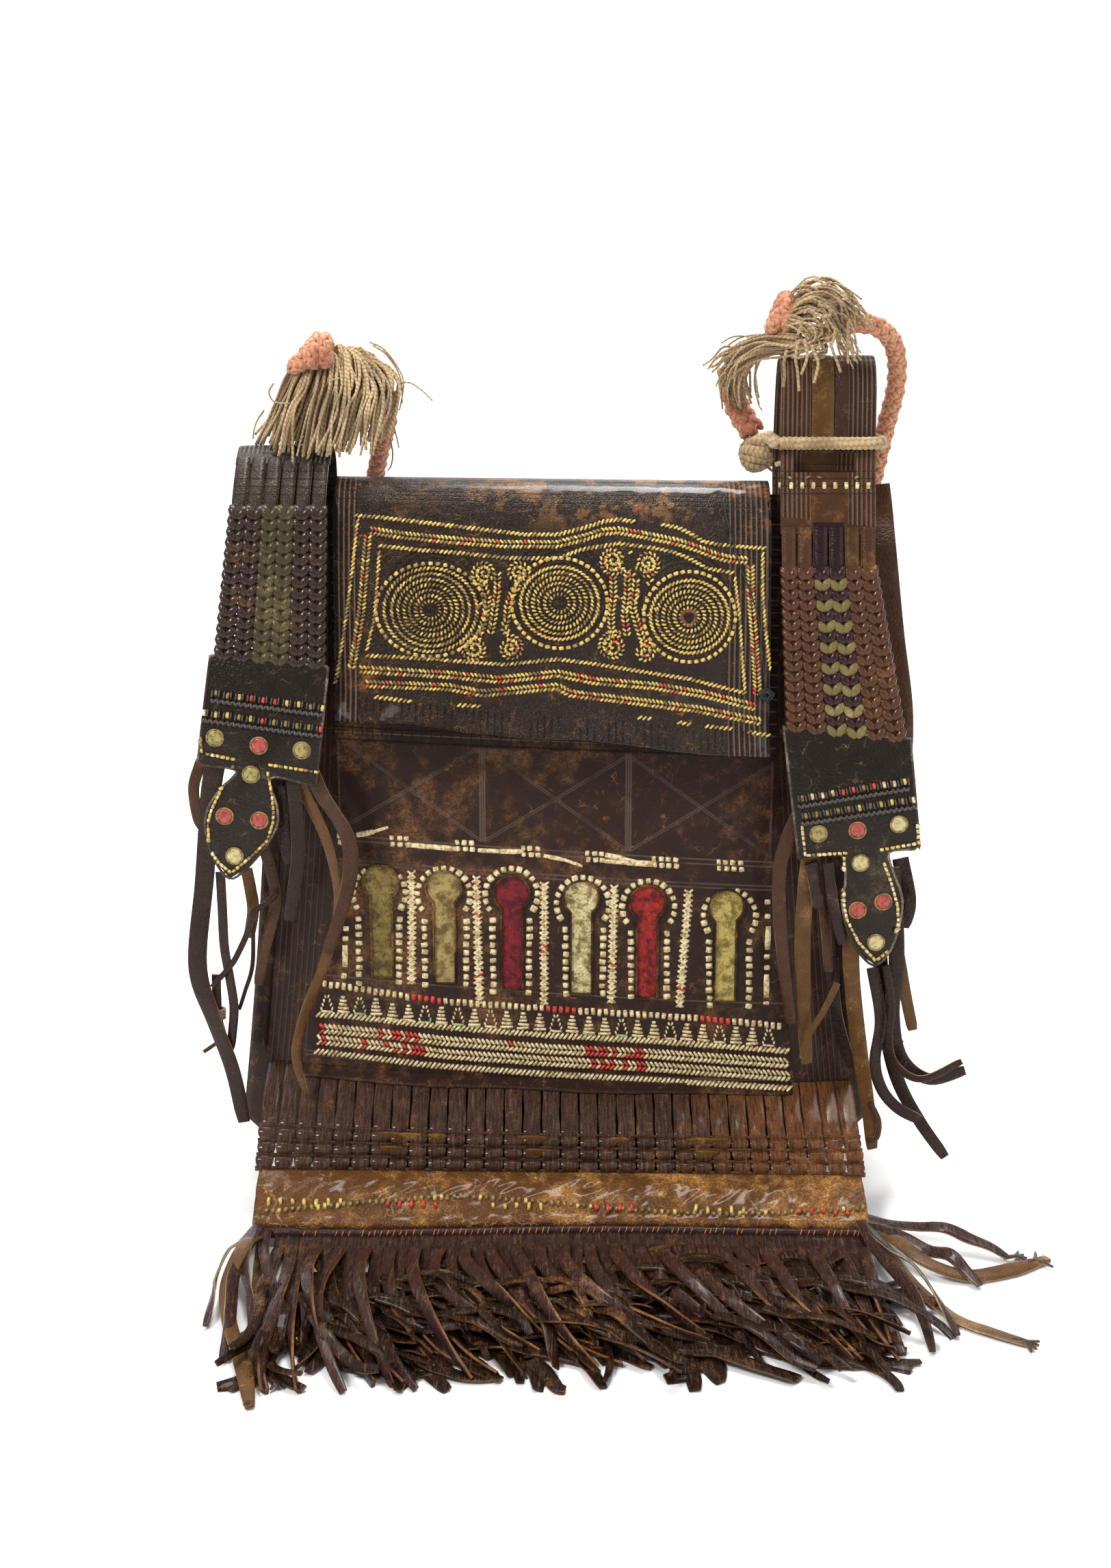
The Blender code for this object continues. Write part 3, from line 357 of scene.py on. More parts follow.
def hand_over(piece, slot, *nodes, body="bag"):
    """Hides the nodes that a piece stands for, and sets the piece on the body it rides on. Its slot is not used.
    """
    if nodes:
        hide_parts(*nodes)
    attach(piece, body)


def gathered(name, parts, finishes, smooth=True, sharp=None):
    """Puts small meshes together as one piece, and removes them."""
    mesh = bmesh.new()
    for part in parts:
        mesh.from_mesh(part)
    for part in set(parts):
        bpy.data.meshes.remove(part)
    return finished(name, mesh, finishes, smooth, sharp)


def finished(name, mesh, finishes, smooth=True, sharp=None):
    """Turns a bmesh into a piece at the origin, with its materials and its shading."""
    data = bpy.data.meshes.new(name)
    mesh.to_mesh(data)
    mesh.free()
    for finish in finishes:
        data.materials.append(finish)
    if smooth:
        data.shade_smooth()
        if sharp:
            data.set_sharp_from_angle(angle=math.radians(sharp))
    piece = bpy.data.objects.new(name, data)
    bpy.context.scene.collection.objects.link(piece)
    return piece


def braid_strands(route, radius, pitch, per_turn=16):
    """The strands of a round braid on a route: four each way, over and under by turns."""
    length = sum((last - first).length for first, last in zip(route, route[1:]))
    count = max(round(length / pitch * per_turn), 8)
    spine = frames_along(smooth_route(route, count + 1))
    strands = []
    for direction in (1, -1):
        for quarter in range(4):
            places = []
            for index, frame_here in enumerate(spine):
                turn = direction * math.tau * index / per_turn + quarter * math.pi / 2
                swell = 0.11 * direction * math.cos(4 * math.tau * index / per_turn)
                out = radius * (0.66 + swell)
                places.append(frame_here @ Vector((out * math.cos(turn), out * math.sin(turn), 0)))
            frames = []
            for index, point in enumerate(places):
                run = (places[min(index + 1, count)] - places[max(index - 1, 0)]).normalized()
                out = (point - spine[index].translation).normalized()
                side = run.cross(out).normalized()
                frames.append(turned_to(side, run.cross(side), run, point))
            sizes = [(radius * 0.40, radius * 0.21)] * len(frames)
            strands.append(grown_mesh(frames, sizes, ROUND_6))
    return strands


def thread_finish(name, pale, deep, ply, roughness=0.85):
    """Twisted, fuzzy thread: turns of its ply as slanted lines with painted shade between them, and dirt and faded
    patches.
    """
    finish, tree, shader = new_finish(name, roughness)
    spots = object_places(tree)
    along = add(tree, "Attribute", {"attribute_name": "along"}).outputs["Fac"]
    around = add(tree, "Attribute", {"attribute_name": "around"}).outputs["Fac"]
    turns = plus(times(along, 1 / ply), around)
    twist = reckon("SINE", times(turns, math.tau))
    twist = eased(twist, -1.0, 0.4)
    fuzz = cloudy(spots, 1400.0, 3.0)
    patches = cloudy(spots, 45.0, 4.0)
    dirt = eased(patches, 0.42, 0.66)
    colour = tint(dirt, pale, deep)
    # Painted shade: the grooves between the turns of the ply are darkened.
    colour = tint(times(minus(1.0, twist), 0.55),
                  colour, tuple(value * 0.35 for value in deep))
    colour = tint(times(fuzz, 0.35), colour, tuple(min(value * 1.25, 1) for value in pale))
    tree.links.new(colour, shader.inputs["Base Color"])
    height = plus(twist, times(fuzz, 0.8))
    emboss(shader, height, 0.7, 0.0004)
    shader.inputs["Sheen Weight"].default_value = 0.25
    shader.inputs["Sheen Roughness"].default_value = 0.5
    return finish


SALMON_WOOL = thread_finish("salmon_wool", (0.62, 0.275, 0.145), (0.36, 0.10, 0.040), 0.0026)
UNDYED_YARN = thread_finish("undyed_yarn", (0.49, 0.34, 0.17), (0.20, 0.115, 0.048), 0.0028)

carry_path = smooth_route(CARRY_ROUTE, 74)
carrying_cord = gathered("carrying_cord_braid", braid_strands(carry_path, CARRY_RADIUS, 0.036), [SALMON_WOOL])
hand_over(carrying_cord, "salmon_cord", "carrying_cord")


# Tassels: where the cord ends it is bound, and its undyed threads spread over the top of each hanger.
# The left one hangs as a mop of twisted threads. The right one is frayed and hangs loose to both sides.

def thread(points, radius, steps=10, thin_end=0.7, profile=ROUND_6):
    frames = frames_along(smooth_route(points, steps))
    sizes = [(radius * mix(1.0, thin_end, index / (steps - 1)),) * 2 for index in range(steps)]
    return grown_mesh(frames, sizes, profile)


def strayed(points, draw, spread, stray):
    """A way beside another: set off to one side by the spread, with small bends of its own."""
    offset = Vector([draw.gauss(0, 0.5) * spread for axis in range(3)])
    return [Vector(point) + offset * min(0.35 + index * 0.3, 1.0)
        + Vector([draw.uniform(-stray, stray) for axis in range(3)]) for index, point in enumerate(points)]


draw = random.Random(5)
left_threads = []
for number in range(250):
    share = draw.random()
    layer = draw.uniform(-1.0, 1.0)
    inner = mix(1.0, 0.62, layer ** 2)
    sink = 18 * layer ** 2 + draw.uniform(0, 12)
    way = ((mix(462, 500, share), 524, 0.014), (mix(438, 556, share), 499 + 90 * (share - 0.45) ** 2 + sink,
            0.014 - 0.006 * layer), (mix(414, 586, share), 540 + 40 * (share - 0.45) ** 2 + sink,
            0.013 - 0.018 * layer), (mix(394, 578, share), 592 + sink * 0.5, 0.010 - 0.025 * layer),
        (mix(374, 562, share), 647 + 26 * max(layer, 0) ** 0.7 - 7 * (share > 0.6) + draw.uniform(-14, 5),
            0.004 - 0.029 * layer))
    points = [at(mix(mix(478, 470, step / 4), px, inner) + draw.uniform(-2.4, 2.4) * step, py, y)
              for step, (px, py, y) in enumerate(way)]
    left_threads.append(thread(points, 0.00090 * draw.uniform(0.75, 1.15), 14, 0.95))
for line in (((585, 560), (600, 560), (618, 572), (632, 586)),
        ((400, 560), (393, 574), (402, 588), (424, 590)), ((480, 552), (487, 555), (497, 553)),
        ((386, 600), (376, 615), (371, 630), (370, 642)), ((572, 610), (580, 640), (583, 655)),
        ((570, 640), (574, 662), (572, 680), (567, 688)), ((540, 500), (560, 510), (580, 535), (590, 560),
            (584, 600)), ((545, 505), (566, 520), (585, 552), (588, 590))):
    left_threads.append(thread([at(px, py, -0.008 if px < 500 else 0.014) for px, py in line], 0.0006, 18))
tassel_left = gathered("tassel_left_threads", left_threads, [UNDYED_YARN])
hand_over(tassel_left, "undyed_cord", "tassel_left")

# Each bundle: its way in the picture with depths, how many threads, how wide, how stray
RIGHT_BUNDLES = ((((1150, 462, 0.004), (1162, 436, 0.002), (1190, 424, 0.000), (1216, 432, -0.004),
            (1236, 452, -0.010)), 46, 0.0075, 0.0012),
    (((1152, 470, 0.000), (1170, 448, -0.006), (1200, 444, -0.010), (1222, 462, -0.012),
            (1228, 488, -0.014)), 34, 0.0080, 0.0016),
    (((1150, 480, 0.002), (1165, 475, -0.006), (1190, 485, -0.012), (1200, 505, -0.014),
            (1180, 512, -0.016)), 34, 0.0090, 0.0022),
    (((1205, 430, -0.002), (1228, 440, -0.004), (1250, 455, -0.006), (1266, 474, -0.006)), 12, 0.0050,
        0.0014), (((1205, 455, -0.012), (1224, 480, -0.018), (1240, 505, -0.020), (1246, 524, -0.022)), 12,
        0.0055, 0.0016), (((1190, 500, -0.014), (1160, 505, -0.008), (1120, 505, 0.004), (1086, 522, 0.014),
            (1072, 552, 0.022)), 70, 0.0065, 0.0014),
    (((1170, 495, -0.010), (1130, 492, 0.000), (1092, 503, 0.012), (1066, 520, 0.018)), 26, 0.0050, 0.0016),
    (((1110, 508, 0.008), (1084, 530, 0.016), (1074, 556, 0.022), (1080, 582, 0.026)), 50, 0.0085, 0.0016),
    (((1092, 520, 0.012), (1066, 512, 0.016), (1050, 525, 0.018), (1036, 538, 0.018)), 6, 0.0030, 0.0016),)
right_threads = []
for way, count, spread, stray in RIGHT_BUNDLES:
    for number in range(count):
        points = strayed([at(*place) for place in way], draw, spread, stray)
        right_threads.append(thread(points, 0.00082 * draw.uniform(0.7, 1.15), 12, 0.8))
for line in (((1166, 500), (1163, 525), (1166, 545), (1168, 572)),
        ((1176, 498), (1180, 520), (1176, 535), (1171, 548)),
        ((1186, 505), (1192, 520), (1196, 533), (1190, 560)),
        ((1214, 500), (1218, 515), (1224, 530), (1229, 545)),
        ((1150, 512), (1146, 530), (1147, 548), (1145, 566)),
        ((1240, 470), (1240, 500), (1246, 515), (1250, 528)), ((1222, 480), (1218, 498), (1212, 508)),
        ((1152, 480), (1150, 468), (1158, 462), (1172, 470), (1166, 490)),
        ((1180, 452), (1200, 462), (1214, 460), (1210, 450), (1196, 446))):
    right_threads.append(thread([at(px, py, -0.027) for px, py in line], 0.0009, 18, 0.9))
for line in (((1120, 500), (1090, 492), (1070, 493), (1054, 502)),
        ((1100, 520), (1070, 515), (1048, 522), (1034, 540)), ((1060, 545), (1052, 552), (1046, 566)),
        ((1200, 424), (1214, 420), (1228, 424), (1234, 434)),
        ((1104, 548), (1107, 570), (1108, 590), (1114, 600))):
    right_threads.append(thread([at(px, py, 0.012) for px, py in line], 0.0006, 18))
tassel_right = gathered("tassel_right_threads", right_threads, [UNDYED_YARN])
hand_over(tassel_right, "undyed_cord", "tassel_right")

binding_parts = []
for px, py, y, size, tip in ((441, 527, 0.006, 0.0054, 30), (449, 518, 0.004, 0.0066, 20),
        (461, 513, 0.002, 0.0066, 0), (474, 512, 0.002, 0.0058, -18), (1139, 459, 0.004, 0.0094, 10),
        (1148, 460, 0.002, 0.0082, -15)):
    lean = Matrix.Rotation(math.radians(tip), 3, "Y")
    loop = [at(px, py, y) + lean @ Vector((0.002 * math.sin(turn), size * 0.8 * math.cos(turn),
                size * math.sin(turn))) for turn in [math.tau * step / 12 for step in range(13)]]
    binding_parts += braid_strands(loop, 0.0056, 0.024, 12)
for way in (((520, 525, 0.026), (548, 545, 0.022), (566, 578, 0.014), (567, 615, 0.018), (556, 660, 0.040),
            (547, 705, 0.056)), ((1228, 474, 0.005), (1215, 482, 0.004), (1200, 492, 0.003))):
    binding_parts += braid_strands([at(*place) for place in way], 0.0062, 0.032, 12)
bindings = gathered("cord_bindings", binding_parts, [SALMON_WOOL])
hand_over(bindings, "salmon_cord")

LIMB_ROUTE = ((0.1058, 0.0328, 0.5030), (0.1074, 0.0340, 0.4930), (0.1110, 0.0360, 0.4810),
              (0.1165, 0.0360, 0.4715), (0.1211, 0.0344, 0.4653))
limb = gathered("knot_limb_braid", braid_strands(smooth_route(LIMB_ROUTE, 24), 0.0086, 0.032, 12),
    [SALMON_WOOL])
hand_over(limb, "salmon_cord", "knot_limb")


# Tie: an undyed cord drawn tight round the neck of the right hanger, and knotted at its left.

def ring_route(points, count):
    """A closed route, rounded at its corners."""
    points = [Vector(point) for point in points]
    doubled = points[-2:] + points + points[:3]
    route = smooth_route(doubled, count * 2)
    start = min(range(count), key=lambda index: (route[index] - points[0]).length)
    loop = [point for point in route[start:]]
    closing = min(range(count // 2, len(loop)), key=lambda index: (loop[index] - points[0]).length)
    return loop[:closing + 1]


TIE_RING = ((0.1305, -0.0249, 0.4635), (0.1292, -0.008, 0.4635), (0.1292, 0.008, 0.4635),
    (0.1305, 0.0230, 0.4635), (0.1590, 0.0240, 0.4635), (0.1885, 0.0230, 0.4635), (0.1898, 0.0, 0.4635),
    (0.1885, -0.0249, 0.4635), (0.1590, -0.0262, 0.4635))
tie_spine = frames_along(ring_route(TIE_RING, 190))
tie_parts = []
for ply in range(3):
    places = []
    for index, frame_here in enumerate(tie_spine):
        turn = math.tau * (ply / 3 + round(len(tie_spine) / 12) * index / (len(tie_spine) - 1))
        places.append(frame_here @ Vector((0.0019 * math.cos(turn), 0.0019 * math.sin(turn), 0)))
    tie_parts.append(grown_mesh(frames_along(places), [(0.0020, 0.0020)] * len(places), ROUND_8))
tie_cord = gathered("tie_turns", tie_parts, [UNDYED_YARN])
hand_over(tie_cord, "undyed_cord", "tie_cord")

KNOT_PLACE = Vector((0.12500, 0.0290, 0.4530))
knot_parts = []
for number in range(7):
    tilt = Matrix.Rotation(math.radians(26 * number), 3, "X") @ Matrix.Rotation(math.radians(38 * number),
        3, "Z")
    bend = draw.uniform(0.80, 1.0)
    loop = [KNOT_PLACE + tilt @ Vector((0.0084 * bend * math.cos(turn), 0.0104 * math.sin(turn),
                                        0.0018 * math.sin(2 * turn)))
            for turn in [math.tau * step / 14 for step in range(15)]]
    frames = frames_along(loop)
    knot_parts.append(grown_mesh(frames, [(0.0031, 0.0031)] * len(frames), ROUND_8))
for end in ((0.1160, 0.0250, 0.4460), (0.1210, 0.0270, 0.4430), (0.1330, 0.0290, 0.4420)):
    knot_parts.append(thread(strayed([KNOT_PLACE + Vector((0, -0.003, -0.005)), end], draw, 0.001, 0.001),
            0.0012, 8))
tie_knot = gathered("tie_knot_turns", knot_parts, [UNDYED_YARN])
hand_over(tie_knot, "undyed_cord", "tie_knot")

# Pouch: two faces of goat leather with a gusset sewn between them round the sides and the base.
# It is cut and stitched flat, and sags to a belly below. The front's borders have tooled lines
# that run down beside the seam.

MOUTH_HEIGHT = 0.430
MOUTH_HALF_WIDTH = 0.172
BASE_HALF_WIDTH = 0.2015
FLAT_HALF_WIDTH = 0.130
CORNER_RISE = 0.035
MOUTH_DEPTH, BASE_DEPTH = 0.026, 0.070
SIDE_MOUTH_DEPTH, SIDE_BASE_DEPTH = 0.020, 0.034
POUCH_LEATHER = 0.0025
GUSSET_DROP = 0.012


def half_depth(x, z):
    """Half the pouch's depth, front to back, out to the faces of its two panels."""
    up = held(z / MOUTH_HEIGHT)
    across = held(abs(x) / BASE_HALF_WIDTH)
    middle = mix(BASE_DEPTH, MOUTH_DEPTH, up ** 1.6) / 2
    side = mix(SIDE_BASE_DEPTH, SIDE_MOUTH_DEPTH, up) / 2
    return mix(middle, side, across ** 2.5)


def side_x(z):
    up = held((z - CORNER_RISE) / (MOUTH_HEIGHT - CORNER_RISE))
    return mix(MOUTH_HALF_WIDTH, BASE_HALF_WIDTH, (1 - up) ** 1.8)


def bottom_z(x):
    out = held((abs(x) - FLAT_HALF_WIDTH) / (BASE_HALF_WIDTH - FLAT_HALF_WIDTH))
    return CORNER_RISE * out ** 2


def ripple(x, z, scale, seed):
    """A soft crease pattern, from about -1 to 1."""
    return noise.noise(Vector((x * scale + seed, seed, z * scale * 0.55)))


def settled(piece):
    """Applies a piece's modifiers to its mesh."""
    graph = bpy.context.evaluated_depsgraph_get()
    data = bpy.data.meshes.new_from_object(piece.evaluated_get(graph), depsgraph=graph)
    piece.modifiers.clear()
    piece.data = data
    return piece


def thicken(piece, thickness, offset=-1.0):
    wall = piece.modifiers.new("leather", "SOLIDIFY")
    wall.thickness = thickness
    wall.offset = offset
    wall.use_even_offset = True
    return settled(piece)


def hide_group():
    """Worn, greasy hide: pores, blotches, dry cracks, and speckled patches rubbed to the raw leather."""
    group = bpy.data.node_groups.new("worn_hide", "ShaderNodeTree")
    for name, kind in (("Deep", "Color"), ("Worn", "Color"), ("Wear", "Float"), ("Grain", "Float"),
                       ("Cracks", "Float")):
        group.interface.new_socket(name, in_out="INPUT", socket_type="NodeSocket" + kind)
    for name, kind in (("Colour", "Color"), ("Roughness", "Float"), ("Height", "Float")):
        group.interface.new_socket(name, in_out="OUTPUT", socket_type="NodeSocket" + kind)
    given = group.nodes.new("NodeGroupInput")
    made = group.nodes.new("NodeGroupOutput")
    spots = object_places(group)
    broad = cloudy(spots, 17.0, 3.0)
    blotch = cloudy(spots, 95.0, 5.0, Roughness=0.62)
    fleck = cloudy(spots, 760.0, 2.0)
    pores = add(group, "TexVoronoi", None, Vector=spots, Scale=given.outputs["Grain"]).outputs["Distance"]
    warp = cloudy(spots, 60.0, 3.0, output="Color")
    bent = add(group, "VectorMath", {"operation": "MULTIPLY_ADD"}, warp, (0.03, 0.03, 0.03), spots).outputs[0]
    lines = add(group, "TexVoronoi", {"feature": "DISTANCE_TO_EDGE"}, Vector=bent,
        Scale=70.0).outputs["Distance"]
    crack = times(eased(lines, 0.030, 0.0), eased(blotch, 0.47, 0.62))
    crack = times(crack, given.outputs["Cracks"])
    level = plus(times(broad, 0.55), times(blotch, 0.45))
    level = plus(level, times(given.outputs["Wear"], 0.30))
    rubbed = eased(level, 0.60, 0.78)
    speckle = eased(fleck, 0.40, 0.60, 0.35, 1.0)
    rubbed = times(rubbed, speckle)
    shown = reckon("MAXIMUM", rubbed, crack)
    colour = tint(shown, given.outputs["Deep"], given.outputs["Worn"])
    shade = plus(0.42, times(blotch, 0.52))
    shade = times(shade, eased(pores, 0.0, 0.35, 0.72, 1.0))
    dark = add(group, "CombineColor", None, shade, shade, shade).outputs[0]
    colour = tint(1.0, colour, dark, "MULTIPLY")
    group.links.new(colour, made.inputs["Colour"])
    rough = plus(eased(rubbed, 0.0, 1.0, 0.32, 0.66),
                   times(minus(fleck, 0.5), 0.30))
    group.links.new(rough, made.inputs["Roughness"])
    height = plus(times(pores, 0.55), times(blotch, 0.9))
    height = minus(height, times(crack, 0.8))
    group.links.new(height, made.inputs["Height"])
    return group


HIDE = hide_group()


def stripes(value, pitch, width, shift=0.0):
    """Thin lines at every pitch of a value: 1 on a line, 0 between."""
    place = reckon("FRACT", plus(times(value, 1 / pitch), shift))
    away = reckon("ABSOLUTE", minus(place, 0.5))
    return eased(away, width / pitch * 0.5, width / pitch * 0.2)


def between(value, low, high):
    """1 where a value lies between low and high."""
    return times(reckon("GREATER_THAN", value, low), reckon("LESS_THAN", value, high))


def attribute(tree, name):
    return add(tree, "Attribute", {"attribute_name": name}).outputs["Fac"]


def leather(name, deep, worn, wear=0.3, grain=1100.0, cracks=0.5, relief=0.0005, grooves=None, coat=0.12,
        fade=None):
    """Leather of the hide group. grooves(tree) gives a mask of pressed lines, which are darker in the
    groove and rubbed paler beside it. fade(tree) gives a share and the two colours it goes over to."""
    finish, tree, shader = new_finish(name, 0.5)
    hide = tree.nodes.new("ShaderNodeGroup")
    hide.node_tree = HIDE
    hide.inputs["Deep"].default_value = (*deep, 1.0)
    hide.inputs["Worn"].default_value = (*worn, 1.0)
    hide.inputs["Wear"].default_value = wear
    hide.inputs["Grain"].default_value = grain
    hide.inputs["Cracks"].default_value = cracks
    colour, height = hide.outputs["Colour"], hide.outputs["Height"]
    if fade:
        share, deep_end, worn_end = fade(tree)
        tree.links.new(tint(share, deep, deep_end), hide.inputs["Deep"])
        tree.links.new(tint(share, worn, worn_end), hide.inputs["Worn"])
    if grooves:
        mask, rims = grooves(tree)
        colour = tint(times(rims, 0.45), colour, tuple(value * 0.45 + 0.09 for value in worn))
        colour = tint(times(mask, 0.75), colour, tuple(value * 0.3 for value in deep))
        height = minus(height, times(mask, 1.3))
        height = plus(height, times(rims, 0.5))
    tree.links.new(colour, shader.inputs["Base Color"])
    tree.links.new(minus(hide.outputs["Roughness"], 0.05 * coat), shader.inputs["Roughness"])
    emboss(shader, height, 0.75, relief)
    shader.inputs["Specular IOR Level"].default_value = 0.12 + 0.06 * coat
    shader.inputs["Specular Tint"].default_value = (1.0, 0.84, 0.70, 1.0)
    shader.inputs["Coat Weight"].default_value = coat * 0.55
    shader.inputs["Coat Roughness"].default_value = 0.12
    shader.inputs["Coat IOR"].default_value = 1.40
    return finish


def border_grooves(tree):
    """Lines that run down beside the pouch's side seams."""
    inward = attribute(tree, "inward")
    near = between(inward, 0.0135, 0.0400)
    fine = times(stripes(inward, 0.0036, 0.0007), near)
    rims = times(stripes(inward, 0.0036, 0.0008, 0.40), near)
    return times(fine, 0.6), times(rims, 0.6)


POUCH_HIDE = leather("pouch_hide", (0.040, 0.018, 0.013), (0.22, 0.090, 0.036), 0.24, 1100, 0.9,
    grooves=border_grooves, coat=0.3)
BACK_HIDE = leather("back_hide", (0.060, 0.030, 0.019), (0.20, 0.095, 0.045), 0.18, 900, 0.4)
CUT_HIDE = leather("cut_edge", (0.23, 0.115, 0.045), (0.42, 0.24, 0.10), 0.5, 1500, 0.0, coat=0.0)


def face_sheet(front, columns, rows):
    """One face of the pouch as a fine grid, bent to the sag, with creases that grow to its borders."""
    mesh = bmesh.new()
    bmesh.ops.create_grid(mesh, x_segments=columns, y_segments=rows, size=1.0)
    inward = mesh.verts.layers.float.new("inward")
    for vert in mesh.verts:
        u, t = vert.co.x, (vert.co.y + 1) / 2
        z = mix(bottom_z(u * BASE_HALF_WIDTH), MOUTH_HEIGHT, t)
        x = u * side_x(z)
        free = held((abs(x) - 0.145) / 0.03) if front else 1.0
        crease = 0.0006 * free * ripple(x, z, 55, 3.0) + (0.0 if front else 0.0011 * ripple(x, z, 16, 9.0))
        y = half_depth(x, z) - abs(crease)
        vert.co = Vector((x, -y if front else y, z))
        vert[inward] = side_x(z) - abs(x)
    if not front:
        bmesh.ops.reverse_faces(mesh, faces=mesh.faces)
    return mesh


front_mesh = face_sheet(True, 72, 80)
pouch_front = thicken(finished("pouch_front", front_mesh, [POUCH_HIDE]), POUCH_LEATHER)
hand_over(pouch_front, "panel_leather", "front_panel")

back_mesh = face_sheet(False, 60, 70)
pouch_back = thicken(finished("pouch_back", back_mesh, [BACK_HIDE]), POUCH_LEATHER)
hand_over(pouch_back, "panel_leather", "back_panel")

gusset_mesh = bmesh.new()
bmesh.ops.create_grid(gusset_mesh, x_segments=6, y_segments=110, size=1.0)
gusset_edge = []
for step in range(31):
    gusset_edge.append((side_x(mix(MOUTH_HEIGHT - GUSSET_DROP, CORNER_RISE, step / 30)) - 0.003,
                        mix(MOUTH_HEIGHT - GUSSET_DROP, CORNER_RISE, step / 30)))
for step in range(1, 26):
    x = mix(BASE_HALF_WIDTH - 0.003, 0.0, step / 25)
    gusset_edge.append((x, bottom_z(x)))
gusset_edge += [(-x, z) for x, z in reversed(gusset_edge[:-1])]
for vert in gusset_mesh.verts:
    place = (vert.co.y + 1) / 2 * (len(gusset_edge) - 1)
    low = min(int(place), len(gusset_edge) - 2)
    x = mix(gusset_edge[low][0], gusset_edge[low + 1][0], place - low)
    z = mix(gusset_edge[low][1], gusset_edge[low + 1][1], place - low)
    deep = half_depth(x, z) - POUCH_LEATHER - 0.0006
    tuck = 0.0030 * (1 - vert.co.x ** 2) * held(z / 0.06)
    vert.co = Vector((x - math.copysign(tuck, x), vert.co.x * deep, z + 0.0002))
bmesh.ops.recalc_face_normals(gusset_mesh, faces=gusset_mesh.faces)
lowest = min(gusset_mesh.faces, key=lambda face: face.calc_center_median().z)
if lowest.normal.z > 0:
    bmesh.ops.reverse_faces(gusset_mesh, faces=gusset_mesh.faces)
gusset = thicken(finished("pouch_gusset", gusset_mesh, [BACK_HIDE]), POUCH_LEATHER)
hand_over(gusset, "brown_leather", "gusset")

# Side bindings: a folded slip of leather over each side seam of the front, rubbed pale at its edge.

BINDING_WIDTH = 0.0105
BINDING_HIDE = leather("binding_hide", (0.030, 0.017, 0.013), (0.23, 0.12, 0.06), 0.3, 1200, 0.5)

binding_parts = []
for side in (-1, 1):
    mesh = bmesh.new()
    bmesh.ops.create_grid(mesh, x_segments=5, y_segments=70, size=1.0)
    for vert in mesh.verts:
        z = mix(0.082, MOUTH_HEIGHT - 0.002, (vert.co.y + 1) / 2)
        x = side * (side_x(z) - 0.0005 - BINDING_WIDTH * (1 - vert.co.x) / 2)
        roll = 0.0009 * (1 - vert.co.x ** 2) + 0.0004 * ripple(x, z, 90, 5.0)
        vert.co = Vector((x, -half_depth(x, z) - 0.0008 - max(roll, 0), z))
    bmesh.ops.recalc_face_normals(mesh, faces=mesh.faces)
    if next(iter(mesh.faces)).normal.y > 0:
        bmesh.ops.reverse_faces(mesh, faces=mesh.faces)
    data = bpy.data.meshes.new("binding")
    mesh.to_mesh(data)
    mesh.free()
    binding_parts.append(data)
bindings = thicken(gathered("side_bindings", binding_parts, [BINDING_HIDE]), 0.0007)
hand_over(bindings, "dark_leather")

# Dyed inlays: thin parchment-like slips of hide glued behind the keyhole windows. The fibres of
# the dried skin show as pale hairs, and the dye has gone patchy.

INLAY_COLOURS = {
    1: ((0.29, 0.20, 0.045), (0.085, 0.052, 0.014), (0.50, 0.42, 0.19)),
    2: ((0.38, 0.28, 0.095), (0.125, 0.075, 0.020), (0.60, 0.50, 0.26)),
    3: ((0.20, 0.010, 0.016), (0.055, 0.003, 0.007), (0.40, 0.05, 0.04)),
    4: ((0.68, 0.57, 0.27), (0.15, 0.10, 0.030), (0.88, 0.80, 0.55)),
    5: ((0.34, 0.014, 0.012), (0.070, 0.004, 0.006), (0.52, 0.10, 0.05)),
    6: ((0.55, 0.41, 0.10), (0.17, 0.12, 0.030), (0.74, 0.64, 0.34)),
}


def inlay_finish(number, body, deep, pale):
    finish, tree, shader = new_finish(f"dyed_inlay_{number}", 0.55)
    spots = object_places(tree)
    patch = cloudy(spots, 160.0, 5.0, Roughness=0.65)
    pits = cloudy(spots, 520.0, 3.0, Distortion=0.6)
    warp = cloudy(spots, 140.0, 2.0, output="Color")
    bent = add(tree, "VectorMath", {"operation": "MULTIPLY_ADD"}, warp, (0.012, 0.012, 0.012),
        spots).outputs[0]
    hairs = add(tree, "TexVoronoi", {"feature": "DISTANCE_TO_EDGE"}, Vector=bent,
        Scale=230.0).outputs["Distance"]
    hairs = times(eased(hairs, 0.06, 0.0), eased(patch, 0.4, 0.62))
    colour = tint(eased(patch, 0.36, 0.60), deep, body)
    colour = tint(eased(pits, 0.44, 0.36, 0.0, 0.8), colour, deep)
    colour = tint(times(hairs, 0.75), colour, pale)
    tree.links.new(colour, shader.inputs["Base Color"])
    height = plus(hairs, times(pits, 1.2))
    emboss(shader, height, 0.8, 0.0005)
    shader.inputs["Specular IOR Level"].default_value = 0.22
    shader.inputs["Coat Weight"].default_value = 0.06
    return finish


def dress(node, finish):
    for material_slot in frame["nodes"][node].material_slots:
        material_slot.material = finish


for number, colours in INLAY_COLOURS.items():
    dress(f"keyhole_inlay_{number}", inlay_finish(number, *colours))


# Keyhole panel: one sheet of thin leather with six keyhole windows cut through it. Its upper part is
# pressed with crossed lines, and copper brown shows where it is rubbed. The cut edges are paler.

PANEL_OFFSET = 0.0014
PANEL_LEATHER = 0.0016
PANEL_TOP = 0.360
KEYHOLE_X = (-0.108, -0.069, -0.027, 0.016, 0.057, 0.106)
KEYHOLE_HEIGHT = 0.1875
KEYHOLE_FOOT = 0.1260
KEYHOLE_SLOPE = 0.074
KEYHOLE_RADIUS = 0.0112
KEYHOLE_SLOT_WIDTH = 0.0134


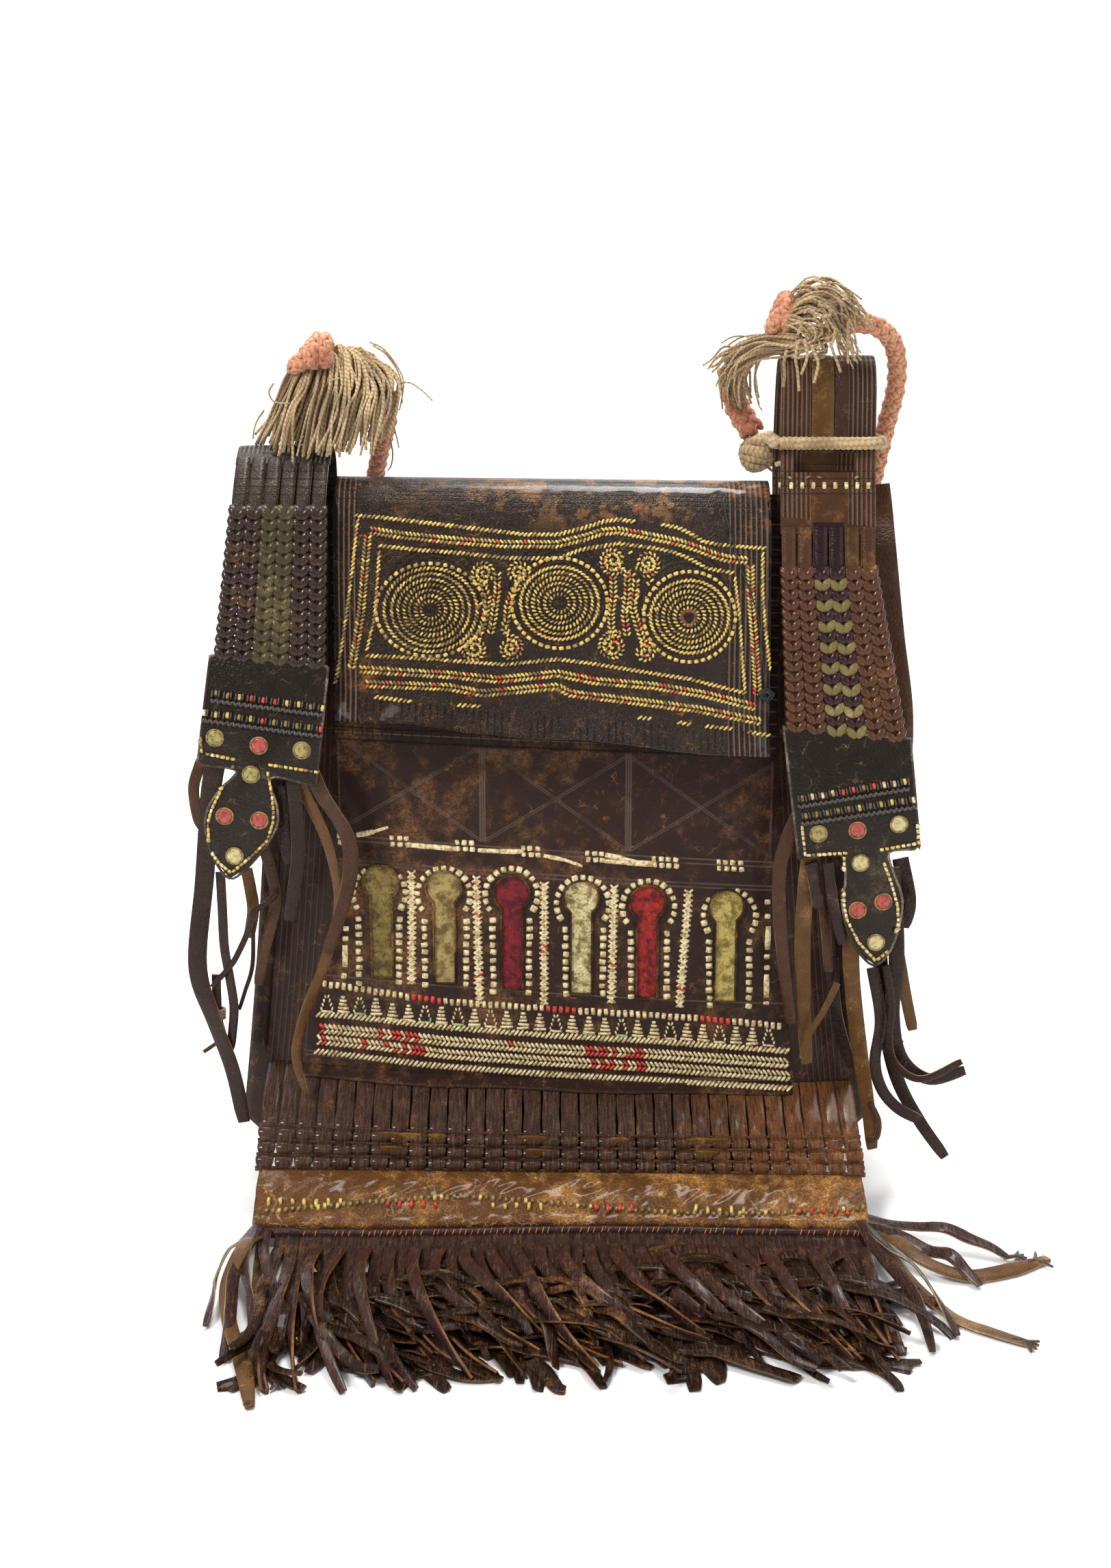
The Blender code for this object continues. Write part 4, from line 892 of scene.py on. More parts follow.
def panel_bottom(x):
    return 0.0662 - 0.039 * x + 0.0007 * math.sin(x * 70) + 0.0004 * math.sin(x * 190 + 1)


def panel_half_width(z, side):
    low = 0.1640 if side < 0 else 0.1520
    return mix(low, 0.1335, held((z - 0.066) / 0.149) ** 0.8)


def crossed_lines(tree):
    """Pressed double lines: tall crosses in the upper fields, uprights between them, and level rules."""
    spots = object_places(tree)
    parts = place_parts(tree)
    x, z = parts["X"], parts["Z"]
    level = plus(z, times(x, 0.066))
    field = reckon("FRACT", times(plus(x, 0.134), 1 / 0.0893))
    rise = times(minus(level, 0.2190), 1 / 0.0600)
    upper = between(level, 0.2190, 0.2800)
    masks = []
    for slanted in (minus(field, rise),
                    minus(minus(1.0, field), rise)):
        for shift in (-0.013, 0.013):
            away = reckon("ABSOLUTE", plus(slanted, shift))
            masks.append(times(eased(away, 0.008, 0.003), upper))
    for shift in (0.484, 0.5):
        away = reckon("ABSOLUTE", minus(reckon("ABSOLUTE",
                      minus(field, 0.5)), shift))
        masks.append(times(eased(away, 0.008, 0.003), upper))
    for height in (0.2165, 0.2135, 0.2010, 0.1985, 0.1245, 0.0700, 0.0725):
        away = reckon("ABSOLUTE", minus(level, height))
        masks.append(eased(away, 0.0007, 0.0002))
    lines = masks[0]
    for mask in masks[1:]:
        lines = reckon("MAXIMUM", lines, mask)
    broken = cloudy(spots, 55.0, 2.0)
    lines = times(lines, eased(broken, 0.36, 0.5, 0.35, 1.0))
    return times(lines, 0.35), times(lines, 1.15)


PANEL_HIDE = leather("panel_hide", (0.038, 0.017, 0.013), (0.24, 0.108, 0.042), 0.38, 1300, 0.9,
    grooves=crossed_lines, coat=0.25)


def keyhole_outline(x):
    centre_z = KEYHOLE_HEIGHT - KEYHOLE_SLOPE * x
    foot_z = KEYHOLE_FOOT - KEYHOLE_SLOPE * x
    slot = KEYHOLE_SLOT_WIDTH / 2
    start = -math.pi / 2 + math.asin(slot / KEYHOLE_RADIUS)
    sweep = math.tau - 2 * math.asin(slot / KEYHOLE_RADIUS)
    arc = [start + sweep * step / 30 for step in range(31)]
    head = [(x + KEYHOLE_RADIUS * math.cos(angle), centre_z + KEYHOLE_RADIUS * math.sin(angle))
        for angle in arc]
    return head + [(x - slot, foot_z), (x + slot, foot_z)]


mesh = bmesh.new()
bmesh.ops.create_grid(mesh, x_segments=110, y_segments=110, size=1.0)
for vert in mesh.verts:
    t = (vert.co.y + 1) / 2
    rough_x = vert.co.x * 0.15
    z = mix(panel_bottom(rough_x), PANEL_TOP, t)
    x = vert.co.x * panel_half_width(z, vert.co.x)
    vert.co = Vector((x, 0.0, mix(panel_bottom(x), PANEL_TOP, t)))
bmesh.ops.recalc_face_normals(mesh, faces=mesh.faces)
if next(iter(mesh.faces)).normal.y > 0:
    bmesh.ops.reverse_faces(mesh, faces=mesh.faces)
panel = thicken(finished("keyhole_panel_sheet", mesh, [PANEL_HIDE, CUT_HIDE], False), PANEL_LEATHER)
cutters = bmesh.new()
for x in KEYHOLE_X:
    face = cutters.faces.new([cutters.verts.new((px, -0.01, pz)) for px, pz in keyhole_outline(x)])
    grown = bmesh.ops.extrude_face_region(cutters, geom=[face])["geom"]
    bmesh.ops.translate(cutters, verts=[item for item in grown if isinstance(item, bmesh.types.BMVert)],
        vec=(0, 0.02, 0))
bmesh.ops.recalc_face_normals(cutters, faces=cutters.faces)
cutter = finished("window_cutter", cutters, [CUT_HIDE], False)
windows = panel.modifiers.new("windows", "BOOLEAN")
windows.operation = "DIFFERENCE"
windows.solver = "EXACT"
windows.object = cutter
settled(panel)
bpy.data.objects.remove(cutter, do_unlink=True)
for face in panel.data.polygons:
    face.material_index = 1 if abs(face.normal.y) < 0.3 else 0
for vert in panel.data.vertices:
    vert.co.y -= half_depth(vert.co.x, vert.co.z) + PANEL_OFFSET
panel.data.shade_smooth()
panel.data.set_sharp_from_angle(angle=math.radians(40))
panel.data.materials.clear()
panel.data.materials.append(PANEL_HIDE)
panel.data.materials.append(CUT_HIDE)
hand_over(panel, "panel_leather", "keyhole_panel")

rim_parts = []
for x in KEYHOLE_X:
    places = keyhole_outline(x)
    places = [Vector((px, -half_depth(px, pz) - PANEL_OFFSET - 0.0002, pz)) for px, pz in places + places[:1]]
    rim_parts.append(grown_mesh(frames_along(places, (0, 1, 0)), [(0.0019, 0.0008)] * len(places), ROUND_8))
RIM_HIDE = leather("rim_hide", (0.060, 0.027, 0.014), (0.40, 0.21, 0.08), 0.45, 1400, 0.5)
rims = gathered("keyhole_rims", rim_parts, [RIM_HIDE])
hand_over(rims, "panel_leather")


# Panel stitching: flat slips of pale dyed hide, drawn through small slits in rows. Squares ring every
# window, crossed pairs stand between them, and bands of triangles and plaited rows run below.

def slip_finish(name, pale, deep, stain, roughness=0.48):
    finish, tree, shader = new_finish(name, roughness)
    spots = object_places(tree)
    each = cloudy(spots, 430.0, 1.0)
    spotty = cloudy(spots, 900.0, 3.0)
    colour = tint(eased(each, 0.36, 0.56), deep, pale)
    colour = tint(eased(spotty, 0.56, 0.72, 0.0, 0.7), colour, stain)
    tree.links.new(colour, shader.inputs["Base Color"])
    emboss(shader, spotty, 0.6, 0.0003)
    shader.inputs["Coat Weight"].default_value = 0.2
    shader.inputs["Coat Roughness"].default_value = 0.25
    return finish


CREAM_SLIP = slip_finish("cream_slip", (0.80, 0.65, 0.38), (0.44, 0.31, 0.12), (0.16, 0.095, 0.035))
YELLOW_SLIP = slip_finish("yellow_slip", (0.70, 0.50, 0.13), (0.42, 0.27, 0.05), (0.10, 0.055, 0.018))
RED_SLIP = slip_finish("red_slip", (0.62, 0.045, 0.025), (0.38, 0.020, 0.015), (0.12, 0.01, 0.01))
GREEN_SLIP = slip_finish("green_slip", (0.36, 0.50, 0.20), (0.20, 0.30, 0.12), (0.08, 0.08, 0.03))
DULL_SLIP = slip_finish("dull_slip", (0.30, 0.19, 0.055), (0.13, 0.075, 0.022), (0.03, 0.02, 0.012))
SLIP_FINISHES = (CREAM_SLIP, YELLOW_SLIP, RED_SLIP, GREEN_SLIP, DULL_SLIP)
CREAM, YELLOW, RED, GREEN, DULL = range(5)

slip_shape = bmesh.new()
bmesh.ops.create_cube(slip_shape, size=1.0)
lengthwise = [edge for edge in slip_shape.edges if abs((edge.verts[0].co - edge.verts[1].co).x) > 0.5]
bmesh.ops.subdivide_edges(slip_shape, edges=lengthwise, cuts=2)
for vert in slip_shape.verts:
    at_end = abs(vert.co.x) > 0.4
    if vert.co.z > 0:
        vert.co.z = 0.45 if at_end else 1.0
        vert.co.y *= 0.80 if at_end else 0.84
    else:
        vert.co.z = -0.35
    vert.co.y *= 0.9 if at_end else 1.0
SLIP = bpy.data.meshes.new("slip")
slip_shape.to_mesh(SLIP)
slip_shape.free()
SLIP.shade_smooth()


def laid(tree, px, py, angle, length, width, height=0.0008):
    """The matrix that lays a slip on a surface where the picture shows it. Its size is in pixels."""
    found = spot(tree, px, py)
    if found is None:
        return None
    place, normal = found
    ray = sight(px, py)
    scale = (place - EYE).dot(AHEAD) / FOCAL_PIXELS
    turn = math.radians(angle)

    def on_surface(right, up):
        step = (ACROSS * right + UPWARD * up) * scale
        return step - ray * (step.dot(normal) / min(ray.dot(normal), -0.35))

    run = on_surface(math.cos(turn) * length, math.sin(turn) * length)
    side = on_surface(-math.sin(turn) * width, math.cos(turn) * width)
    side -= run * (side.dot(run) / run.length_squared)
    turned = Matrix((run, side, normal * height)).transposed().to_4x4()
    turned.translation = place
    return turned


def sewn(name, slips, slot_name, body):
    """All the slips of one piece of work, as (colour, matrix), put together as one piece."""
    mesh = bmesh.new()
    faces = len(SLIP.polygons)
    for colour, matrix in slips:
        if matrix is None:
            continue
        copy = SLIP.copy()
        copy.transform(matrix)
        copy.polygons.foreach_set("material_index", [colour] * faces)
        mesh.from_mesh(copy)
        bpy.data.meshes.remove(copy)
    piece = finished(name, mesh, SLIP_FINISHES)
    hand_over(piece, slot_name, body=body)
    return piece


def spaced(points, pitch):
    """Places along a line through points of the picture, one pitch apart: (x, y, angle of the line)."""
    places = []
    travelled, due = 0.0, pitch / 2
    for (x0, y0), (x1, y1) in zip(points, points[1:]):
        run = math.hypot(x1 - x0, y1 - y0)
        angle = math.degrees(math.atan2(y0 - y1, x1 - x0))
        while due <= travelled + run:
            share = (due - travelled) / run
            places.append((mix(x0, x1, share), mix(y0, y1, share), angle))
            due += pitch
        travelled += run
    return places


def jitter(amount):
    return draw.uniform(-amount, amount)


draw = random.Random(23)
panel_tree = surface_of(panel)
slips = []

# Squares round the windows, with two columns down each slot
HEADS = ((554.2, 1306.0, 536.0, 573.0, 1436), (648.7, 1308.4, 632.5, 671.5, 1446),
    (747.6, 1308.4, 732.0, 763.0, 1450), (852.0, 1321.8, 838.5, 870.5, 1460),
    (947.8, 1326.6, 934.0, 964.5, 1466), (1066.6, 1340.0, 1048.0, 1084.5, 1470))
for head_x, head_y, slot_left, slot_right, foot_y in HEADS:
    for step in range(15):
        turn = math.radians(-32 + 244 * step / 14)
        x, y = head_x + 38.5 * math.cos(turn), head_y - 38.5 * math.sin(turn)
        size = 8.6 + jitter(1.2)
        slips.append((CREAM, laid(panel_tree, x, y, math.degrees(turn) + jitter(12), size,
                    size + jitter(1.0), 0.0011)))
    for column, lean in ((slot_left - 10.5, -1.5), (slot_right + 9.5, 1.5)):
        rows = int((foot_y - head_y - 36) / 11.6) + 1
        for row in range(rows):
            y = head_y + 38 + 11.6 * row + jitter(1.0)
            x = column + lean * (1 - row / rows) + jitter(0.8)
            slips.append((CREAM, laid(panel_tree, x, y, jitter(10), 8.8 + jitter(1.2), 8.0 + jitter(1.2),
                        0.0011)))

# Crossed pairs in columns between the windows
for top, foot, reds in (((601.5, 1275), (602, 1438), 0.06), ((696, 1282), (701, 1464), 0.14),
                        ((795.5, 1290), (795.5, 1466), 0.05), ((898, 1295), (893.5, 1468), 0.05),
                        ((1007, 1302), (993, 1474), 0.08)):
    for x, y, angle in spaced((top, foot), 7.4):
        for lean in (38, -38):
            colour = RED if draw.random() < reds * 0.5 else CREAM
            slips.append((colour, laid(panel_tree, x + jitter(0.6), y, lean + jitter(7), 15.5 + jitter(1.5),
                        3.5, 0.0009)))
        slips.append((CREAM, laid(panel_tree, x + jitter(1.0), y + 3.7, jitter(16), 9.0 + jitter(2), 3.0,
                    0.0007)))

# Single bars and squares near the two sides
for x, y, tall in ((506, 1358, 7), (505, 1372.7, 7), (504.5, 1398, 32), (502.8, 1427, 8), (1121.9, 1319, 7),
        (1121.9, 1340, 7), (1122.4, 1371.5, 34), (1121, 1399, 7), (1121, 1415, 7), (1120.4, 1441.8, 34),
        (1120, 1467, 5)):
    slips.append((CREAM, laid(panel_tree, x, y, 90 + jitter(3), tall, 9.0, 0.0009)))

# Long dashes between groups of squares, along the top
for group_x, group_y in ((482, 1221.5), (573, 1225), (668, 1231.6), (764.3, 1240), (858, 1247.5),
        (955.5, 1255.5), (1050, 1260.3)):
    for column in range(3 if group_x < 940 else 4):
        for row in range(2):
            x = group_x + (3.5 if group_x == 482 else 0) + 10.7 * column + 1.5 * row
            if group_x == 482 and column == 2:
                continue
            slips.append((CREAM, laid(panel_tree, x + jitter(0.8), group_y + 0.55 * column + 9.3 * row,
                        jitter(9), 6.0 if column == 0 else 7.5, 7.6 + jitter(0.8), 0.0011)))
for (x0, y0), (x1, y1), wide in (((522.7, 1221), (545, 1216.5), 8.5), ((543, 1217), (566, 1210), 5.0),
                                 ((599, 1235.7), (632, 1238.5), 8.0), ((630, 1238.0), (665, 1241.5), 8.5),
                                 ((700, 1243.5), (733, 1245), 7.0), ((731, 1245), (765, 1245.4), 8.0),
                                 ((796, 1251.5), (826, 1257.5), 6.5), ((824, 1257), (850, 1266), 5.0),
                                 ((886, 1250.3), (912, 1255.5), 8.0), ((910, 1255), (937, 1261.5), 5.0),
                                 ((886, 1259.5), (920, 1261.5), 7.0), ((918, 1261.5), (957.5, 1263.6), 9.5)):
    angle = math.degrees(math.atan2(y0 - y1, x1 - x0))
    slips.append((CREAM, laid(panel_tree, (x0 + x1) / 2, (y0 + y1) / 2, angle,
                math.hypot(x1 - x0, y1 - y0) + 3, wide)))

# The row of small squares under the windows
DOT_LINE = ((470, 1437.5), (556, 1451), (606, 1459), (646, 1464), (707, 1468.5), (800, 1475), (845, 1478),
    (950, 1484), (1030, 1490), (1140, 1500))
for x, y, angle in spaced(DOT_LINE, 9.4):
    red = 604 < x < 648 or 796 < x < 842 or 1026 < x < 1065
    slips.append((RED if red else CREAM, laid(panel_tree, x, y + jitter(0.8), 90 + jitter(8),
                9.5 + jitter(1), 6.3, 0.0010)))

# Triangles of widening bars, and some that are only outlined, with a few green feet
STACKED = (0, 1, 0, 1, 1, 1, 0, 1, 0, 1, 0, 1, 1, 1, 0, 1, 1, 1, 0, 1, 1, 0, 1, 1, 0, 1, 1, 0)
for number in range(28):
    x = 478 + 23.9 * number
    foot = 1480 + 0.068 * (x - 478) + (6 if x > 560 else 0)
    tall = 26.0
    if STACKED[number]:
        for bar in range(5):
            wide = 6.5 + 11.5 * bar / 4 + jitter(1.0)
            slips.append((CREAM, laid(panel_tree, x + jitter(0.6), foot - tall + 2.5 + tall * bar / 5
                        * 1.02, jitter(6) - 3, wide, 3.9, 0.0009)))
    else:
        for side in (-1, 1):
            for dash in range(4):
                slips.append((CREAM, laid(panel_tree, x + side * (2.2 + 1.9 * dash),
                            foot - tall + 3 + 6.0 * dash, 90 - side * 18 + jitter(8), 4.8, 2.6, 0.0008)))
        slips.append((GREEN if number in (2, 6, 8, 18) else CREAM,
                laid(panel_tree, x, foot - 1.0, -4, 17, 3.2, 0.0008)))
    if number in (4, 7, 9, 16):
        slips.append((GREEN, laid(panel_tree, x, foot - 0.5, -4, 18, 3.4, 0.0009)))

# Slanted rows and two plaited rows below
SLANT_LINE_1 = ((462.5, 1483), (510, 1486), (578.6, 1494), (655, 1502.3), (800, 1513.8), (950, 1522),
    (1150, 1537))
SLANT_LINE_2 = ((460, 1537), (553, 1548), (619.4, 1557), (800, 1571), (950, 1579), (1155, 1592))
PLAIT_LINE_1 = ((467.6, 1503.6), (553, 1511), (655, 1522.7), (800, 1534), (950, 1541), (1152, 1555))
PLAIT_LINE_2 = ((463.8, 1520), (553, 1529), (655, 1541.8), (800, 1552), (950, 1560), (1153, 1574))
for x, y, angle in spaced(SLANT_LINE_1, 6.6):
    slips.append((CREAM, laid(panel_tree, x, y, angle + 50 + jitter(7), 10.8 + jitter(1.2), 3.7, 0.0011)))
for line in (PLAIT_LINE_1, PLAIT_LINE_2):
    for x, y, angle in spaced(line, 6.6):
        busy = 555 < x < 625 or 855 < x < 945
        red = (busy and draw.random() < 0.55) or 470 < x < 477 or 530 < x < 535 or 743 < x < 748 or 1058 < x < 1062
        for side in (1, -1):
            colour = RED if red and draw.random() < 0.85 else CREAM
            slips.append((colour, laid(panel_tree, x, y - side * 3.9, angle - side * (44 + jitter(6)), 9.4,
                        3.6, 0.0012)))
panel_stitching = sewn("panel_stitching", slips, "cream_hide", "bag")


# Strip under the flap's lip: a dark sheet pressed with level double lines and small upright ones.

def strip_grooves(tree):
    parts = place_parts(tree)
    level = plus(parts["Z"], times(parts["X"], 0.040))
    rules = stripes(level, 0.0075, 0.0011)
    uprights = times(stripes(parts["X"], 0.0060, 0.0009), between(level, 0.2835, 0.2905))
    return reckon("MAXIMUM", rules, uprights), stripes(level, 0.0075, 0.0012, 0.42)


STRIP_HIDE = leather("strip_hide", (0.030, 0.016, 0.013), (0.26, 0.12, 0.05), 0.25, 1200, 0.5,
    grooves=strip_grooves)
dress("under_flap_strip", STRIP_HIDE)

# Flap: soft, heavy leather from the back of the mouth, folded over and hanging in front. It is black
# with handling and rubbed orange on the fold. The lip curls outward, and shines where hands polish it.

HINGE = Vector((0.0, 0.0118, 0.4316))
FLAP_LEFT, FLAP_RIGHT = -0.1300, 0.1265
FLAP_STEPS = ((0.0, 0.0), (0.0078, 0.0056), (0.0178, 0.0084), (0.0278, 0.0058), (0.0358, -0.0026),
              (0.0418, -0.0186), (0.0473, -0.0416), (0.0518, -0.0666), (0.0553, -0.0916),
              (0.0578, -0.1166), (0.0608, -0.1370))
FLAP_FOLD_STEP = 3
FLAP_LEATHER = 0.0024
FLAP_ROWS = 130
flap_line = smooth_route([(0.0, forward, rise) for forward, rise in FLAP_STEPS], FLAP_ROWS + 1)
FLAP_LENGTH = sum((b - a).length for a, b in zip(flap_line, flap_line[1:]))


def flap_place(x, row):
    """A point in the middle of the flap's leather, at a row of its length."""
    share = row / FLAP_ROWS
    step = share * (len(FLAP_STEPS) - 1)
    forward, rise = flap_line[row].y, flap_line[row].z
    slope = 0.030 * step / 3 if step <= 3 else mix(0.030, 0.090, (step - 3) / 7)
    belly = 0.003 * math.cos(math.pi * x / (FLAP_RIGHT - FLAP_LEFT)) * share
    wave = 0.0016 * math.sin(math.tau * x / 0.115) * share ** 3
    lip = held((share - 0.915) / 0.085)
    worn = noise.noise(Vector((x * 42, 3.1, 0.0)))
    curl = (0.0052 + 0.0034 * worn) * lip ** 1.6
    tuck = -0.0008 * math.sin(math.pi * held((share - 0.84) / 0.10))
    settle = 0.0007 * noise.noise(Vector((x * 60, share * 9.0, 4.0))) * held(share * 4)
    settle += 0.0005 * noise.noise(Vector((x * 210, share * 38, 6.0))) * held(share * 4)
    settle += 0.0022 * (0.5 + noise.noise(Vector((x * 17, share * 3.4, 8.0)))) * held(share * 3 - 0.4)
    y = HINGE.y - forward - belly - wave - curl - tuck - settle
    z = HINGE.z + rise - slope * x + wave + 0.0016 * worn * lip - 0.0012 * lip
    edge = held((abs(x - (FLAP_LEFT + FLAP_RIGHT) / 2) - 0.118) / 0.010)
    return Vector((x, y + 0.0012 * edge ** 2 * held(share * 3), z))


def flap_grooves(tree):
    parts = place_parts(tree)
    along = attribute(tree, "along")
    sides = reckon("MAXIMUM", between(parts["X"], -0.1285, -0.1160), between(parts["X"], 0.1010, 0.1250))
    upright = times(stripes(parts["X"], 0.0031, 0.0011), sides)
    top = between(along, 0.018, 0.046)
    level = times(stripes(along, 0.0028, 0.0009), top)
    low = times(stripes(parts["X"], 0.0042, 0.0012),
                 between(along, FLAP_LENGTH - 0.012, FLAP_LENGTH))
    spots = object_places(tree)
    broken = eased(cloudy(spots, 70.0, 2.0), 0.42, 0.56)
    for middle_x, middle_z in ((-0.0703, 0.3756), (0.0023, 0.3790), (0.0755, 0.3722)):
        across = minus(parts["X"], middle_x)
        over = minus(parts["Z"], middle_z)
        away = reckon("SQRT", plus(times(across, across),
                                           times(over, over)))
        rounds = times(stripes(away, 0.0034, 0.0016), reckon("LESS_THAN", away, 0.0300))
        upright = reckon("MAXIMUM", upright, times(rounds, 0.7))
    lines = reckon("MAXIMUM", upright, times(reckon("MAXIMUM", level, low), broken))
    return lines, times(stripes(parts["X"], 0.0031, 0.0014, 0.45), sides)


def rubbed_fold(tree):
    """Where the dye is rubbed off the fold, mostly to the right."""
    parts = place_parts(tree)
    along = attribute(tree, "along")
    spots = object_places(tree)
    folded = times(eased(along, 0.064, 0.040), eased(parts["X"], -0.10, 0.03, 0.12, 1.0))
    patches = cloudy(spots, 44.0, 6.0, Roughness=0.68)
    return times(eased(patches, 0.505, 0.575), folded), (0.26, 0.115, 0.040), (0.42, 0.20, 0.075)


FLAP_HIDE = leather("flap_hide", (0.024, 0.0135, 0.0095), (0.34, 0.135, 0.036), 0.06, 1000, 0.8, 0.0011,
                    flap_grooves, 0.9, rubbed_fold)
# Its polish has gone dull to the left, and is brightest at the right end of the lip
tree = FLAP_HIDE.node_tree
parts = place_parts(tree)
tree.links.new(eased(parts["X"], -0.10, 0.09, 0.06, 0.62),
    tree.nodes["Principled BSDF"].inputs["Coat Weight"])

mesh = bmesh.new()
bmesh.ops.create_grid(mesh, x_segments=120, y_segments=FLAP_ROWS, size=1.0)
along = mesh.verts.layers.float.new("along")
for vert in mesh.verts:
    row = round((1 - vert.co.y) / 2 * FLAP_ROWS)
    x = mix(FLAP_LEFT, FLAP_RIGHT, (vert.co.x + 1) / 2)
    vert[along] = FLAP_LENGTH * row / FLAP_ROWS
    vert.co = flap_place(x, row)
bmesh.ops.recalc_face_normals(mesh, faces=mesh.faces)
mesh.faces.ensure_lookup_table()
if min(mesh.faces, key=lambda face: face.calc_center_median().z).normal.y > 0:
    bmesh.ops.reverse_faces(mesh, faces=mesh.faces)
flap = thicken(finished("flap_sheet", mesh, [FLAP_HIDE]), FLAP_LEATHER, 0.0)
hand_over(flap, "dark_leather", "flap", body="flap")


# Flap stitching: short slips of yellow hide, many of them dulled by grease, with a few red ones. More of them are
# dull towards the left, which is painted shade. Rows frame the flap, three ringed rounds fill it, and curled
# stems stand between the rounds.

draw = random.Random(41)
flap_tree = surface_of(flap)
slips = []


def shade(px, reds=0.0):
    """A slip's colour: bright yellow to the right, duller and darker to the left as painted shade."""
    if draw.random() < reds:
        return RED
    # Painted shade: the share of dull slips grows towards the left.
    dull_and_shaded_share = mix(0.68, 0.16, held((px - 480) / 450))
    return DULL if draw.random() < dull_and_shaded_share else YELLOW


def slanted_row(points, pitch=6.4, length=8.0, width=3.3, lean=42, reds=0.0, colour=None):
    for x, y, angle in spaced(points, pitch):
        slips.append((shade(x, reds) if colour is None else colour,
                      laid(flap_tree, x, y, angle + lean + jitter(8), length + jitter(0.8), width, 0.0010)))


def plaited_row(points, pitch=5.8, width=3.3, reds=0.0, half=3.5, length=7.0):
    for x, y, angle in spaced(points, pitch):
        over = math.radians(angle + 90)
        for side in (1, -1):
            slips.append((shade(x, reds), laid(flap_tree, x + side * half * math.cos(over),
                        y - side * half * math.sin(over), angle - side * (44 + jitter(8)), length, width,
                        0.0010)))


def ring(x, y, across, tall, pitch, length, width, lean, colour=None, bright=1.0, start=0.0, sweep=360.0):
    """Slips on an oval round a place of the picture."""
    count = max(round(math.radians(sweep) * (across + tall) / 2 / pitch), 1)
    for number in range(count):
        turn = math.radians(start + sweep * (number + 0.5) / count)
        px, py = x + across * math.cos(turn), y - tall * math.sin(turn)
        shown = colour
        if shown is None:
            shown = YELLOW if draw.random() < bright else DULL
        slips.append((shown, laid(flap_tree, px, py, math.degrees(turn) + 90 + lean + jitter(9),
                    length + jitter(0.8), width, 0.0010)))


def curl(x, y, radius, turns, start, way):
    """A plaited spiral: points of the picture from its eye outward."""
    points = []
    steps = int(turns * 14)
    for step in range(steps + 1):
        share = step / steps
        turn = math.radians(start) + way * math.tau * turns * (share - 1)
        reach = mix(0.28, 1.0, share) * radius
        points.append((x + reach * math.cos(turn), y - reach * math.sin(turn)))
    return points


# Rows that frame the flap
slanted_row(((517, 754), (558, 757), (608, 763), (684, 772), (767, 782), (815, 782), (855, 772), (882, 763),
        (903, 760), (926, 763)))
slanted_row(((966, 767), (992, 772), (1008, 780), (1028, 792), (1047, 796), (1074, 799), (1119, 802)))
slanted_row(((1115, 808), (1115, 868), (1119, 923), (1126, 980), (1130, 1040), (1131, 1076)), lean=-32)
slanted_row(((523, 759), (514, 841), (503, 923), (492, 992), (488, 1008)), lean=-32)
plaited_row(((540, 776), (586, 783), (657, 790), (739, 796), (815, 796), (855, 786), (879, 778), (904, 776),
        (937, 782), (992, 793), (1019, 802), (1047, 813), (1063, 817), (1094, 820)), reds=0.10)
plaited_row(((1097, 826), (1097, 868), (1103, 937), (1107, 1005), (1106, 1018)), reds=0.12)
plaited_row(((538, 782), (535, 813), (528, 896), (517, 964), (514, 975)), reds=0.06)
slanted_row(((553, 798), (608, 804), (673, 809), (739, 816), (815, 817), (849, 804), (904, 795), (959, 802),
        (986, 808), (1008, 817), (1033, 831), (1072, 838)))
slanted_row(((1074, 844), (1081, 898), (1085, 964), (1089, 1011)), lean=-32)
slanted_row(((554, 806), (553, 833), (547, 904), (536, 953)), lean=-32)
slanted_row(((534, 959), (586, 961), (657, 966), (739, 972), (815, 964), (869, 971), (937, 982),
        (1008, 993), (1091, 1014)))
plaited_row(((525, 979), (657, 987), (728, 994), (815, 985), (869, 996), (954, 1003), (1033, 1016),
        (1104, 1034)), reds=0.13)
plaited_row(((534, 1000), (657, 1005), (706, 1014), (767, 1008), (815, 1004), (833, 1014), (932, 1026),
        (1019, 1037), (1110, 1055)), reds=0.07)
for first, last in (((547, 1019), (600, 1026)), ((668, 1031), (700, 1033)), ((932, 1049), (950, 1051)),
                    ((990, 1056), (1012, 1060)), ((1030, 1062), (1074, 1066)), ((1092, 1070), (1126, 1076))):
    slanted_row((first, last), 7.0)

# Three ringed rounds. The left one has fewer yellow slips, as painted shade.
for x, y, outer, low, bright in ((629.5, 892, 80, 68, 0.45), (818, 882, 70, 66, 0.85),
        (1008, 902, 67, 66, 0.92)):
    ring(x, y, 14, 13, 5.4, 4.6, 2.6, 70, None, 0.5 * bright)
    ring(x, y, 22, 21, 5.6, 6.0, 3.0, 66, None, bright)
    ring(x, y, 31, 29, 5.6, 5.4, 2.6, 40, None, 0.6 * bright)
    ring(x, y, 39, 37, 5.8, 6.4, 3.0, 62, None, bright)
    ring(x, y, 48, 45, 6.0, 6.6, 3.0, 40, None, 0.7 * bright)
    ring(x, y, 57, 53, 6.0, 7.6, 3.2, 34, None, bright)
    ring(x, y, outer, low, 10.0, 6.8, 5.6, 8, None, bright)
ring(629.5, 892, 68, 61, 6.0, 7.0, 3.2, 40, None, 0.5)

